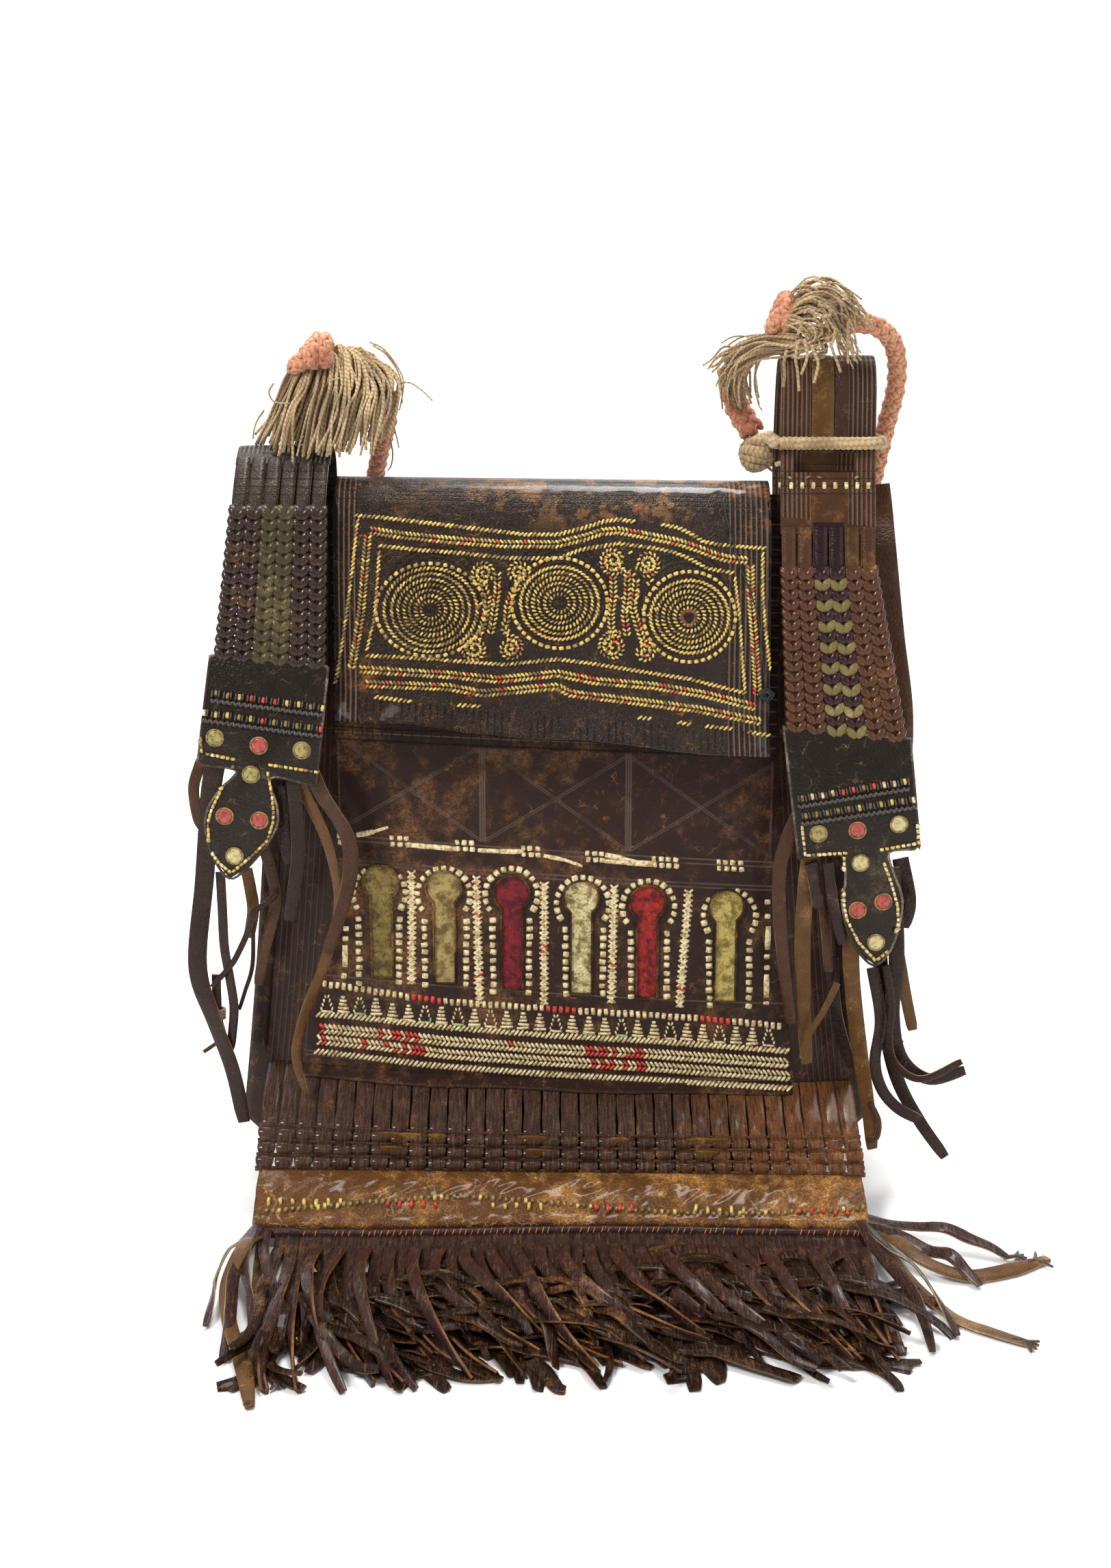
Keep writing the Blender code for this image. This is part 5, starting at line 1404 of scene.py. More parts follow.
# Curled stems between the rounds
for x, y, radius, turns, start, way in ((708, 838, 17, 1.6, -60, 1), (757, 838, 17, 1.6, -120, -1),
                                        (694, 948, 19, 1.6, 60, -1), (746, 948, 17, 1.6, 120, 1),
                                        (896, 820, 18, 1.6, -50, 1), (896, 945, 20, 1.6, 55, -1),
                                        (942, 953, 14, 1.4, 120, 1), (946, 824, 17, 1.5, -120, -1)):
    plaited_row(curl(x, y, radius, turns, start, way), 5.6, 3.0, 0.03, 3.2, 5.8)
for line in (((727, 836), (727, 865), (724, 885), (721, 907), (716, 930)),
        ((704, 852), (713, 872), (709, 904), (700, 930)), ((752, 860), (742, 887), (741, 907), (736, 918),
            (744, 930)), ((917, 832), (917, 868), (913, 900), (917, 930)),
        ((930, 846), (925, 890), (934, 920), (941, 940)), ((896, 842), (897, 870), (893, 900), (894, 925))):
    plaited_row(line, 6.6, 3.2, 0.12, 3.3, 6.4)
for x0, x1, y0, y1, amount in ((896, 960, 806, 900, 26), (690, 760, 850, 930, 14)):
    for number in range(amount):
        x, y = draw.uniform(x0, x1), draw.uniform(y0, y1)
        slips.append((shade(x), laid(flap_tree, x, y, draw.uniform(0, 180), 6.5, 3.2, 0.0009)))
flap_stitching = sewn("flap_stitching", slips, "gold_hide", "flap")


# Torn eye of the right round: the leather is worn through its dye there, with a grey peg in the middle.

EYE_HIDE = leather("worn_eye", (0.18, 0.065, 0.020), (0.34, 0.15, 0.06), 0.6, 1500, 0.3)
eye_place, eye_normal = spot(flap_tree, 1007, 903)
eye_turn = eye_normal.to_track_quat("Z", "Y").to_matrix().to_4x4()
eye_turn.translation = eye_place + eye_normal * 0.0001
eye_frames = []
for step in range(15):
    turn = math.tau * step / 14
    reach = 0.0042 + 0.0004 * math.sin(3 * turn)
    eye_frames.append(eye_turn @ Vector((reach * math.cos(turn), reach * math.sin(turn), 0.0)))
eye_ring = gathered("worn_eye_ring",
    [grown_mesh(frames_along(eye_frames), [(0.0014, 0.0007)] * 15, ROUND_6)], [EYE_HIDE])
hand_over(eye_ring, "tan_thongs", body="flap")


# Black thread: one fine waxed cotton thread that fell over the flap. It is held at the fold and ends
# in a small tangle at the flap's right edge.

BLACK_COTTON = new_finish("black_cotton", 0.6)[0]
BLACK_COTTON.node_tree.nodes["Principled BSDF"].inputs["Base Color"].default_value = (0.008, 0.016, 0.013,
    1.0)
thread_points = [at(1110, 722, -0.004), at(1112, 707, -0.006), at(1088, 711, -0.010), at(1063, 718, -0.012)]
for px, py in ((1058, 733), (1060, 752), (1070, 790), (1082, 830), (1098, 870), (1108, 905), (1113, 950),
        (1116, 990), (1119, 1015)):
    found = spot(flap_tree, px, py)
    if found:
        thread_points.append(found[0] + found[1] * 0.0016)
thread_parts = [thread(thread_points, 0.00055, 40)]
tangle = thread_points[-1]
for number in range(7):
    loop = []
    for step in range(7):
        turn = math.tau * step / 6 * 0.9 + number
        loop.append(tangle + Vector((draw.uniform(0.001, 0.005) * math.cos(turn),
                    -0.0004 - 0.0006 * (number % 2), draw.uniform(0.001, 0.004) * math.sin(turn))))
    thread_parts.append(thread(loop, 0.00045, 18))
black_thread = gathered("black_thread_strand", thread_parts, [BLACK_COTTON])
hand_over(black_thread, "black_thread", "black_thread", body="flap")

# Woven band: one sheet slit into 32 upright straps, laced by cross strands into three tight rows of
# pillows. It is plum brown, with the grain running down each strap, and orange brown at its right end.

BAND_LEFT, BAND_RIGHT = -0.184, 0.190
BAND_STRIPS = 32
BAND_SLIT = 0.0011
BAND_LEATHER = 0.0018
BAND_FRONT_Y, BAND_FRONT_Z = -0.083, 0.0270
PILLOW_ROWS = ((0.585, 0.722), (0.726, 0.862), (0.866, 0.992))
CAD_PANEL_BOTTOM = 0.0662 - 0.0006


def band_point(x, share):
    """The back of the woven band: (y, z) at a share of its way down and forward."""
    top_z = CAD_PANEL_BOTTOM - 0.039 * x
    top_y = -half_depth(x, top_z) - 0.0003
    bow = 0.004 * math.sin(math.pi * share)
    return mix(top_y, BAND_FRONT_Y, share) - bow, mix(top_z, BAND_FRONT_Z - 0.012 * x, share)


def band_front(x, share, out):
    """A place in front of the band's back, measured square to it."""
    y, z = band_point(x, share)
    y1, z1 = band_point(x, min(share + 0.02, 1.0))
    y0, z0 = band_point(x, max(share - 0.02, 0.0))
    run = Vector((y1 - y0, z1 - z0)).normalized()
    return Vector((x, y + run.y * out, z - run.x * out))


def streaks(tree):
    """Grain drawn out along a strap."""
    spots = object_places(tree)
    drawn = add(tree, "VectorMath", {"operation": "MULTIPLY"}, spots, (900.0, 90.0, 90.0)).outputs[0]
    grain = cloudy(drawn, 1.0, 3.0)
    return times(eased(grain, 0.52, 0.68), 0.8), eased(grain, 0.42, 0.30, 0.0, 0.7)


def orange_end(tree):
    parts = place_parts(tree)
    patchy = cloudy(object_places(tree), 60.0)
    place = plus(parts["X"], times(patchy, 0.08))
    return eased(place, 0.10, 0.19), (0.20, 0.072, 0.022), (0.62, 0.27, 0.08)


BAND_HIDE = leather("band_hide", (0.080, 0.033, 0.020), (0.36, 0.165, 0.065), 0.14, 1300, 0.5, 0.0009,
    streaks, 0.9, orange_end)
OCHRE_HIDE = leather("ochre_hide", (0.16, 0.075, 0.018), (0.42, 0.25, 0.06), 0.3, 1300, 0.4, 0.0006, None,
    0.3)
STRAP = ((-1, -0.6), (-1, 0.5), (-0.86, 0.9), (-0.3, 1.0), (0.3, 1.0), (0.86, 0.9), (1, 0.5), (1, -0.6),
    (0.8, -1), (-0.8, -1))


def edged(data, sides, total):
    """Gives the faces on a strap's two cut edges the second material."""
    around = data.attributes["around"].data
    for face in data.polygons:
        places = {round(around[vert].value * total) for vert in face.vertices}
        if any(places <= pair for pair in sides):
            face.material_index = 1
    return data


draw = random.Random(3)
band_parts = []
pitch = (BAND_RIGHT - BAND_LEFT) / BAND_STRIPS
for strip in range(BAND_STRIPS):
    x = BAND_LEFT + pitch * (strip + 0.5)
    half = (pitch - BAND_SLIT) / 2
    points, sizes = [], []
    phase = draw.uniform(-0.006, 0.006)
    for step in range(46):
        share = step / 45 * 0.992 + 0.004
        out, wide, thick = 0.0009, half * (1 + 0.03 * math.sin(9 * share + strip)), 0.0009
        for number, (low, high) in enumerate(PILLOW_ROWS):
            if low - 0.02 <= share - phase <= high + 0.02:
                local = held((share - phase - low) / (high - low))
                over = 1.0 if (strip + number) % 2 == 0 else 0.62
                out += 0.0038 * over * math.sin(math.pi * local) ** 0.7 - 0.0008
                wide = half * mix(0.72, 1.05, math.sin(math.pi * local) ** 0.6)
        points.append(band_front(x + 0.0002 * math.sin(17 * share + strip * 2), share, out))
        sizes.append((wide, thick))
    band_parts.append(edged(grown_mesh(frames_along(points), sizes, STRAP), ({0, 1}, {6, 7}), 10))
woven_straps = gathered("woven_band_straps", band_parts, [BAND_HIDE, CUT_HIDE], True, 50)
hand_over(woven_straps, "plum_leather", "woven_band")

cross_parts = []
for share in (0.578, 0.724, 0.864, 0.996):
    points = [band_front(mix(BAND_LEFT, BAND_RIGHT, step / 130), share, 0.0005)
              for step in range(131)]
    cross_parts.append(grown_mesh(frames_along(points, (0, -1, 0)), [(0.0006, 0.0018)] * 131, ROUND_6))
cross_strands = gathered("woven_band_cross_strands", cross_parts, [BAND_HIDE])
hand_over(cross_strands, "plum_leather")

wide_parts = []
for px, py, across in ((571, 1654, 34), (600, 1655, 26), (778, 1655, 44), (1022, 1656, 40),
        (1050, 1653, 34), (575, 1676, 30), (785, 1678, 30), (1030, 1680, 34), (640, 1652, 24),
        (905, 1656, 26)):
    ray = sight(px, py)
    x = EYE.x + ray.x * (0.075 + 1.115 - 0.14) / ray.y
    share = 0.655 if py < 1665 else 0.80
    points = [band_front(x + (step / 8 - 0.5) * across / 2450, share,
            0.0016 + 0.0022 * math.sin(math.pi * step / 8) ** 0.5) for step in range(9)]
    wide_parts.append(grown_mesh(frames_along(points, (0, -1, 0)), [(0.0008, 0.0034)] * 9, ROUND_8))
wide_lacing = gathered("woven_band_wide_lacing", wide_parts, [OCHRE_HIDE])
hand_over(wide_lacing, "brown_leather")


# Panel border: the panel's foot, which lies over the tops of the woven straps. One more slanted row
# is stitched along it.

mesh = bmesh.new()
bmesh.ops.create_grid(mesh, x_segments=110, y_segments=6, size=1.0)
for vert in mesh.verts:
    share = mix(-0.06, 0.128, (1 - vert.co.y) / 2)
    x = mix(-0.1610, 0.1500, (vert.co.x + 1) / 2)
    loose = 0.010 * math.sin(x * 55) + 0.008 * noise.noise(Vector((x * 90, 2.0, 0.0)))
    vert.co = band_front(x, share + loose * held(share * 8), 0.0024 if share < 0 else 0.0029)
bmesh.ops.recalc_face_normals(mesh, faces=mesh.faces)
if next(iter(mesh.faces)).normal.y > 0:
    bmesh.ops.reverse_faces(mesh, faces=mesh.faces)
border = thicken(finished("panel_border", mesh, [PANEL_HIDE], True, 50), 0.0009)
hand_over(border, "panel_leather")

border_tree = surface_of(border)
slips = []
for x, y, angle in spaced(SLANT_LINE_2, 6.6):
    lean = angle + 50 + jitter(7)
    found = [laid(tree, x, y, lean, 10.8, 3.7, 0.0011) for tree in (border_tree, panel_tree)]
    slips.append((CREAM, min((here for here in found if here),
                key=lambda here: (here.translation - EYE).length, default=None)))
border_stitching = sewn("border_stitching", slips, "cream_hide", "bag")


# Seam band: a folded strip of gold brown goatskin along the front of the base, dry and crackled,
# with short dyed stitches along its front edge in groups of one colour.

SEAM_FRONT_Y, SEAM_FRONT_Z = -0.117, 0.0085
SEAM_LEATHER = 0.0022
PIPING_RADIUS = 0.003


def apron_wave(x):
    return 0.0022 * math.sin(math.tau * (x + 0.045) / 0.310)


def veins_and_crinkle_highlights(tree):
    """Pale veins where the dry skin has folded; their pallor is partly the skin's own and partly painted highlight
    on the crinkles.
    """
    spots = object_places(tree)
    warp = cloudy(spots, 70.0, 4.0, output="Color")
    bent = add(tree, "VectorMath", {"operation": "MULTIPLY_ADD"}, warp, (0.035, 0.035, 0.035),
        spots).outputs[0]
    lines = add(tree, "TexVoronoi", {"feature": "DISTANCE_TO_EDGE"}, Vector=bent,
        Scale=38.0).outputs["Distance"]
    patchy = cloudy(spots, 50.0, 2.0)
    # Painted highlight in part: the pale veins also stand for light on the crinkles.
    shown = times(eased(lines, 0.045, 0.0), eased(patchy, 0.42, 0.58))
    return 0.0, times(shown, 1.4)


SEAM_HIDE = leather("seam_hide", (0.150, 0.056, 0.013), (0.66, 0.31, 0.08), 0.44, 700, 1.0, 0.0012, veins_and_crinkle_highlights,
    0.7)
mesh = bmesh.new()
bmesh.ops.create_grid(mesh, x_segments=260, y_segments=22, size=1.0)
for vert in mesh.verts:
    x = mix(BAND_LEFT + 0.003, BAND_RIGHT - 0.003, (vert.co.x + 1) / 2)
    share = (1 - vert.co.y) / 2
    y = mix(BAND_FRONT_Y - 0.0016, SEAM_FRONT_Y + apron_wave(x), share)
    z = mix(BAND_FRONT_Z - 0.012 * x, SEAM_FRONT_Z, share) + 0.003 * math.sin(math.pi * share)
    loose = math.sin(math.pi * share) ** 0.5
    z += loose * (0.0014 * noise.noise(Vector((x * 75, share * 2.5, 1.0))) + 0.0010
        * noise.noise(Vector((x * 150 + share * 6, share * 4, 2.0))))
    roll = held((share - 0.86) / 0.14)
    vert.co = Vector((x, y, z + 0.0010 * math.sin(math.pi * roll)))
bmesh.ops.recalc_face_normals(mesh, faces=mesh.faces)
if next(iter(mesh.faces)).normal.z < 0:
    bmesh.ops.reverse_faces(mesh, faces=mesh.faces)
seam_band = thicken(finished("seam_band_sheet", mesh, [SEAM_HIDE]), SEAM_LEATHER, 0.0)
hand_over(seam_band, "seam_leather", "seam_band")

slips = []
draw = random.Random(29)
seam_tree = surface_of(seam_band)
SEAM_STITCHES = ((384, 500, 1757, 1759, YELLOW), (558, 642, 1760, 1762, RED), (712, 792, 1763, 1765, YELLOW),
                 (862, 940, 1766, 1768, RED), (1008, 1102, 1769, 1771, YELLOW), (1160, 1252, 1772, 1774, RED))
for first, last, y0, y1, colour in SEAM_STITCHES:
    for x, y, angle in spaced(((first, y0), (last, y1)), 17.5):
        slips.append((colour, laid(seam_tree, x, y + jitter(1.5), 88 + jitter(10), 11 + jitter(3), 5.2,
                    0.0020)))
for x, y, angle in spaced(((385, 1772), (470, 1765), (560, 1756), (680, 1749), (760, 1755), (900, 1768),
            (1060, 1777), (1250, 1768), (1290, 1756)), 9.5):
    colour = draw.choice((DULL, DULL, DULL, YELLOW))
    slips.append((colour, laid(seam_tree, x, y + jitter(1.0), 88 + jitter(14), 7.5 + jitter(1.5), 5.4,
                0.0018)))
seam_stitching = sewn("seam_stitching", slips, "red_hide", "bag")

# Piping: a cord of rolled leather sewn along the front edge. Its stitches show as tiny orange ticks.

PIPING_HIDE = leather("piping_hide", (0.050, 0.022, 0.020), (0.30, 0.12, 0.04), 0.10, 900, 0.3, 0.0005,
    None, 0.45)
points, sizes = [], []
for step in range(150):
    x = mix(BAND_LEFT + 0.004, BAND_RIGHT - 0.004, step / 149)
    y = SEAM_FRONT_Y + apron_wave(x) - 0.0005 - PIPING_RADIUS
    swell = 1.08 if x < -0.155 else 0.90 + 0.07 * noise.noise(Vector((x * 240, 0.0, 0.0)))
    points.append(Vector((x, y, 0.0072 + 0.0004 * noise.noise(Vector((x * 60, 5.0, 0.0))))))
    sizes.append((PIPING_RADIUS * swell, PIPING_RADIUS * swell))
piping = gathered("piping_roll", [grown_mesh(frames_along(points, (0, 1, 0)), sizes, round_profile(12))],
    [PIPING_HIDE])
hand_over(piping, "plum_leather", "seam_piping")

ORANGE_TICK = slip_finish("orange_tick", (0.55, 0.20, 0.05), (0.32, 0.10, 0.03), (0.08, 0.03, 0.01))
tick_parts = []
for step in range(88):
    x = mix(-0.150, BAND_RIGHT - 0.006, step / 87) + draw.uniform(-0.0008, 0.0008)
    y = SEAM_FRONT_Y + apron_wave(x) - 0.0005 - PIPING_RADIUS
    turn_low, turn_high = math.radians(-10 + draw.uniform(-15, 15)), math.radians(60 + draw.uniform(-10, 20))
    points = [Vector((x + 0.0012 * share, y - 0.0029 * math.cos(mix(turn_low, turn_high, share)),
                0.0072 + 0.0029 * math.sin(mix(turn_low, turn_high, share)))) for share in (0, 0.33, 0.66,
            1)]
    if draw.random() < 0.8:
        tick_parts.append(thread(points, 0.00038, 6))
piping_ticks = gathered("piping_ticks", tick_parts, [ORANGE_TICK])
hand_over(piping_ticks, "red_hide")

# Fringe: one strip of soft plum leather cut into long strands. They sweep over the ground to the right,
# and some have curled, twisted and crossed, with their orange cut edges up.

FRINGE_LEFT, FRINGE_RIGHT = -0.166, 0.184
FRINGE_STRANDS = 48
FRINGE_HIDE = leather("fringe_hide", (0.052, 0.022, 0.018), (0.30, 0.125, 0.042), 0.14, 1200, 0.5, 0.0006,
    streaks, 0.6)
# The tangle's hide and cut edges are painted darker than the fringe's, as shade inside the heap; its rubbed
# patches are wear.
SHADED_TANGLE_EDGE = leather("shaded_tangle_edge", (0.085, 0.034, 0.012), (0.26, 0.10, 0.032), 0.5, 1500, 0.0, coat=0.1)
SHADED_TANGLE_HIDE = leather("shaded_tangle_hide", (0.024, 0.010, 0.006), (0.27, 0.11, 0.032), 0.27, 1200, 0.5, 0.0006,
    streaks, 0.3)
ORANGE_EDGE = leather("orange_edge", (0.20, 0.075, 0.020), (0.44, 0.19, 0.055), 0.5, 1500, 0.0, coat=0.1)
TAN_HIDE = leather("tan_hide", (0.145, 0.066, 0.021), (0.42, 0.22, 0.07), 0.30, 900, 0.6, 0.0006, None, 0.3)
PALE_EDGE = leather("pale_edge", (0.33, 0.23, 0.13), (0.55, 0.42, 0.26), 0.5, 1500, 0.0, coat=0.0)


def faced_frames(points, out):
    """A matrix for each point of a flat strap, turned so that its face looks out."""
    frames = []
    for index, point in enumerate(points):
        run = (points[min(index + 1, len(points) - 1)] - points[max(index - 1, 0)]).normalized()
        side = Vector(out).cross(run).normalized()
        frames.append(turned_to(side, run.cross(side), run, point))
    return frames


def read_off(values, share):
    """A value from a row of them, spread evenly from 0 to 1."""
    place = held(share) * (len(values) - 1)
    low = min(int(place), len(values) - 2)
    return mix(values[low], values[low + 1], place - low)


def ribbon(points, half_widths, thickness=0.0016, steps=30, out=(0, -1, 0), rolls=(0, 0)):
    """A cut thong on a smooth way, turned about itself by the angles in rolls."""
    frames = faced_frames(smooth_route(points, steps), out)
    sizes = []
    for index, frame_here in enumerate(frames):
        share = index / (steps - 1)
        frames[index] = frame_here @ Matrix.Rotation(math.radians(read_off(rolls, share)), 4, "Z")
        tip = min(1.0, 0.82 + (1 - share) * steps / 9)
        sizes.append((read_off(half_widths, share) * tip, thickness / 2))
    return edged(grown_mesh(frames, sizes, STRAP), ({0, 1}, {6, 7}), 10)


draw = random.Random(17)
HEADER_Y = SEAM_FRONT_Y - 0.0002 - 2 * PIPING_RADIUS - 0.0006
mesh = bmesh.new()
bmesh.ops.create_grid(mesh, x_segments=120, y_segments=8, size=1.0)
for vert in mesh.verts:
    x = mix(FRINGE_LEFT, FRINGE_RIGHT, (vert.co.x + 1) / 2)
    share = (1 - vert.co.y) / 2
    vert.co = Vector((x, HEADER_Y + apron_wave(x) - 0.0185 * share, mix(0.0074, 0.0042, share ** 0.7)
                      + 0.0005 * noise.noise(Vector((x * 110, share * 2, 0.0)))))
bmesh.ops.recalc_face_normals(mesh, faces=mesh.faces)
if next(iter(mesh.faces)).normal.z < 0:
    bmesh.ops.reverse_faces(mesh, faces=mesh.faces)
header = thicken(finished("fringe_header", mesh, [FRINGE_HIDE], True, 50), 0.0018)
hand_over(header, "plum_leather")


def heading_way(start, lift, turn_end, reach, wander, low=0.0020, steps=9):
    """A strand's way over the ground. Its heading turns from straight forward towards the right."""
    points = [Vector(start)]
    x, y = start[0], start[1]
    for step in range(1, steps + 1):
        share = step / steps
        heading = math.radians(turn_end) * share ** 1.9 + wander * math.sin(4.2 * share + start[0] * 70)
        x += reach / steps * math.sin(heading)
        y -= reach / steps * math.cos(heading)
        height = mix(start[2], low, share ** 0.8) + lift * math.sin(math.pi * share ** 1.2)
        points.append(Vector((held(x, -0.19, 0.215), held(y, -0.278, -0.1), max(height, low))))
    return points


strand_parts = []
pitch = (FRINGE_RIGHT - FRINGE_LEFT) / FRINGE_STRANDS
for strand in range(FRINGE_STRANDS):
    x = FRINGE_LEFT + pitch * (strand + 0.5)
    across = strand / (FRINGE_STRANDS - 1)
    turn_end = read_off((12, 38, 66, 74, 62, 40, 12), across) + draw.uniform(-14, 14)
    reach = read_off((0.140, 0.142, 0.132, 0.128, 0.124, 0.118, 0.110), across) + draw.uniform(-0.020, 0.006)
    start = (x, HEADER_Y + apron_wave(x) - 0.0145, 0.0062 + 0.0010 * (strand % 2))
    points = heading_way(start, (0.002, 0.010, 0.005, 0.016)[strand % 4] + draw.uniform(0, 0.003), turn_end,
        reach, draw.uniform(-0.16, 0.16))
    turn = draw.choice((25, 30, 60, -60, 120, 180, -100))
    wide = pitch * 0.50
    strand_parts.append(ribbon(points, (wide, wide * 1.04, wide, wide * draw.uniform(0.75, 0.98),
                wide * draw.uniform(0.55, 0.9)), 0.0022, 36, (0, 0, 1), (8, 24, 28, turn * 0.6, turn)))
fringe = gathered("fringe_strands", strand_parts, [FRINGE_HIDE, ORANGE_EDGE], True, 50)
hand_over(fringe, "plum_leather", "fringe")

# The tangle: flat strands pressed to the ground, under others that have curled and lie over the rest. Their
# leather is painted darker than the fringe's, as shade inside the heap.
tangle_parts = []
for number in range(370):
    under = number < 220
    x = draw.uniform(FRINGE_LEFT + 0.004, FRINGE_RIGHT - 0.022)
    y = HEADER_Y - (draw.uniform(0.022, 0.128) if under else draw.uniform(0.058 if x < 0.03 else 0.036,
            0.106))
    edge = held((x + 0.155) / 0.05)
    reach = draw.uniform(0.030, 0.056) if under else draw.uniform(0.042, 0.080)
    height = draw.uniform(0.0018, 0.0060) if under else draw.uniform(0.006, 0.019)
    points = [Vector((x, y, height))]
    heading = math.radians(draw.gauss(62, 26 if under else 17) * edge)
    bend = draw.uniform(-1.1, 1.1) * (1.0 if under else 0.7)
    for step in range(1, 6):
        heading += bend * 0.22 + draw.uniform(-0.15, 0.15)
        last = points[-1]
        points.append(Vector((held(last.x + reach / 5 * math.sin(heading), -0.175, 0.212),
                    held(last.y - reach / 5 * math.cos(heading), -0.276, -0.138),
                    max(height + (0.0 if under else 0.004 * math.sin(step + number)) - 0.0006 * step,
                        0.0016))))
    wide = draw.uniform(0.0036, 0.0052) if under else draw.uniform(0.0022, 0.0038)
    turn = draw.uniform(-25, 25) if under else draw.uniform(-75, 75)
    tangle_parts.append(ribbon(points, (wide, wide, wide * 0.9, wide * 0.75), 0.0015, 16, (0, 0, 1),
            (0, turn * 0.4, turn)))
tangle = gathered("fringe_tangle", tangle_parts, [SHADED_TANGLE_HIDE, SHADED_TANGLE_EDGE], True, 50)
hand_over(tangle, "plum_leather")


# Ground thongs: long flat thongs from the two ends of the apron, gold brown below and dark above.
# Their ends are slit into little forks, and they curl over the ground.

LEFT_CLUMP = (("corner_thong_left_1", ((-0.1745, -0.1255, 0.0080), (-0.180, -0.150, 0.0150),
            (-0.1845, -0.185, 0.0100), (-0.177, -0.222, 0.0075), (-0.164, -0.258, 0.0050),
            (-0.155, -0.292, 0.0022)), (0, 15, -20, 10)),
    ("corner_thong_left_2", ((-0.1745, -0.1243, 0.0034), (-0.171, -0.150, 0.0018),
            (-0.1670, -0.190, 0.0016), (-0.160, -0.225, 0.0016), (-0.1525, -0.250, 0.0016),
            (-0.1455, -0.268, 0.0016)), (0, 0, 10, 0)))
RIGHT_CLUMP = (("corner_thong_right_1", ((0.1904, -0.1110, 0.0045), (0.200, -0.138, 0.0110),
            (0.214, -0.158, 0.0080), (0.236, -0.166, 0.0040), (0.262, -0.158, 0.0030),
            (0.288, -0.143, 0.0020)), (0, 10, 25, 0)),
    ("corner_thong_right_2", ((0.1915, -0.1130, 0.0022), (0.198, -0.150, 0.0018), (0.208, -0.182, 0.0018),
            (0.221, -0.208, 0.0018), (0.238, -0.222, 0.0018), (0.256, -0.234, 0.0018)), (0, 0, -12, 0)))
for node, points, rolls in LEFT_CLUMP + RIGHT_CLUMP:
    part = ribbon(points, (0.0040, 0.0046, 0.0040, 0.0042, 0.0050, 0.0030), 0.0018, 44, (0, 0, 1), rolls)
    piece = gathered(node + "_strap", [part], [TAN_HIDE, PALE_EDGE], True, 50)
    hand_over(piece, "tan_thongs", node)

clump_parts = []
for x, y, z, reach_x, reach_y, wide, turn in ((-0.178, -0.122, 0.0120, 0.010, -0.105, 0.0032, 60),
        (-0.176, -0.123, 0.0105, -0.004, -0.128, 0.0036, -40),
        (-0.181, -0.119, 0.0090, -0.014, -0.098, 0.0028, 90),
        (-0.170, -0.124, 0.0100, 0.022, -0.120, 0.0030, 30), (0.189, -0.113, 0.0090, 0.052, -0.062, 0.0040,
            25), (0.187, -0.116, 0.0105, 0.030, -0.110, 0.0030, -60),
        (0.190, -0.112, 0.0120, 0.075, -0.032, 0.0042, 15), (0.186, -0.117, 0.0120, 0.014, -0.125, 0.0032,
            45)):
    points = []
    for step in range(7):
        share = step / 6
        points.append((x + reach_x * share + 0.004 * math.sin(5 * share + x * 90), y + reach_y * share,
                mix(z, 0.0030, share ** 0.6) + 0.006 * math.sin(math.pi * share) * (0.4 + draw.random())))
    clump_parts.append(ribbon(points, (wide, wide, wide * 1.1, wide * 0.7), 0.0017, 34, (0, 0, 1),
            (0, turn * 0.5, turn, 0)))
# Forked and slit ends
for x, y, way, spread, reach in ((-0.155, -0.288, -2.2, 0.5, 0.004), (-0.147, -0.266, -1.1, 0.5, 0.010),
                                 (0.270, -0.150, 0.35, 0.55, 0.019), (0.247, -0.229, -0.6, 0.5, 0.014),
                                 (0.262, -0.144, 0.25, 0.5, 0.014)):
    for fork in (-1.5, -0.5, 0.5, 1.5):
        turn = way + spread * fork * 0.6
        points = [(x, y, 0.0026), (x + reach * 0.5 * math.cos(way), y + reach * 0.5 * math.sin(way), 0.0032),
                  (x + reach * math.cos(turn), y + reach * math.sin(turn), 0.0020)]
        clump_parts.append(ribbon(points, (0.0010, 0.0013, 0.0008), 0.0012, 10, (0, 0, 1)))
clump = gathered("apron_end_thongs", clump_parts, [FRINGE_HIDE, PALE_EDGE], True, 50)
hand_over(clump, "plum_leather")

# Hangers: at each end a wide strap comes up from the back of the pouch, folds over and ends in six
# rounded fingers. The right one stands as a tall loop, with three strips over its top and a window.

HANGER_WIDTH = 0.0555
HANGER_LEATHER = 0.0022
LEFT_HANGER_X, RIGHT_HANGER_X = -0.1605, 0.1595
LEFT_PATH = ((None, 0.330), (None, 0.375), (None, 0.418), (0.0185, 0.4420), (0.0125, 0.4555),
    (0.0000, 0.4590), (-0.0130, 0.4530), (-0.0250, 0.4430), (-0.0350, 0.4330), (-0.0415, 0.4245))
RIGHT_PATH = ((None, 0.330), (None, 0.375), (None, 0.418), (0.0195, 0.4450), (0.0190, 0.4650),
    (0.0165, 0.4900), (0.0110, 0.5060), (0.0020, 0.5115), (-0.0080, 0.5080), (-0.0150, 0.4950),
    (-0.0185, 0.4750), (-0.0215, 0.4583), (-0.0240, 0.4464), (-0.0265, 0.4380), (-0.0290, 0.4300),
    (-0.0330, 0.4160), (-0.0370, 0.4020), (-0.0415, 0.3892))


def strap_lines(tree):
    """Upright pressed lines along both edges of a strap, and rules across it."""
    parts = place_parts(tree)
    away = reckon("ABSOLUTE", minus(reckon("ABSOLUTE", parts["X"]), 0.1600))
    above_fingers = reckon("GREATER_THAN", reckon("MULTIPLY_ADD", parts["X"], 0.111, parts["Z"]), 0.4362)
    sides = times(between(away, 0.0110, 0.0272), above_fingers)
    upright = times(stripes(away, 0.0027, 0.0010), sides)
    rules = times(stripes(parts["Z"], 0.0042, 0.0009), between(parts["Z"], 0.4330, 0.4475))
    rims = times(stripes(away, 0.0027, 0.0012, 0.45), sides)
    return reckon("MAXIMUM", upright, rules), rims


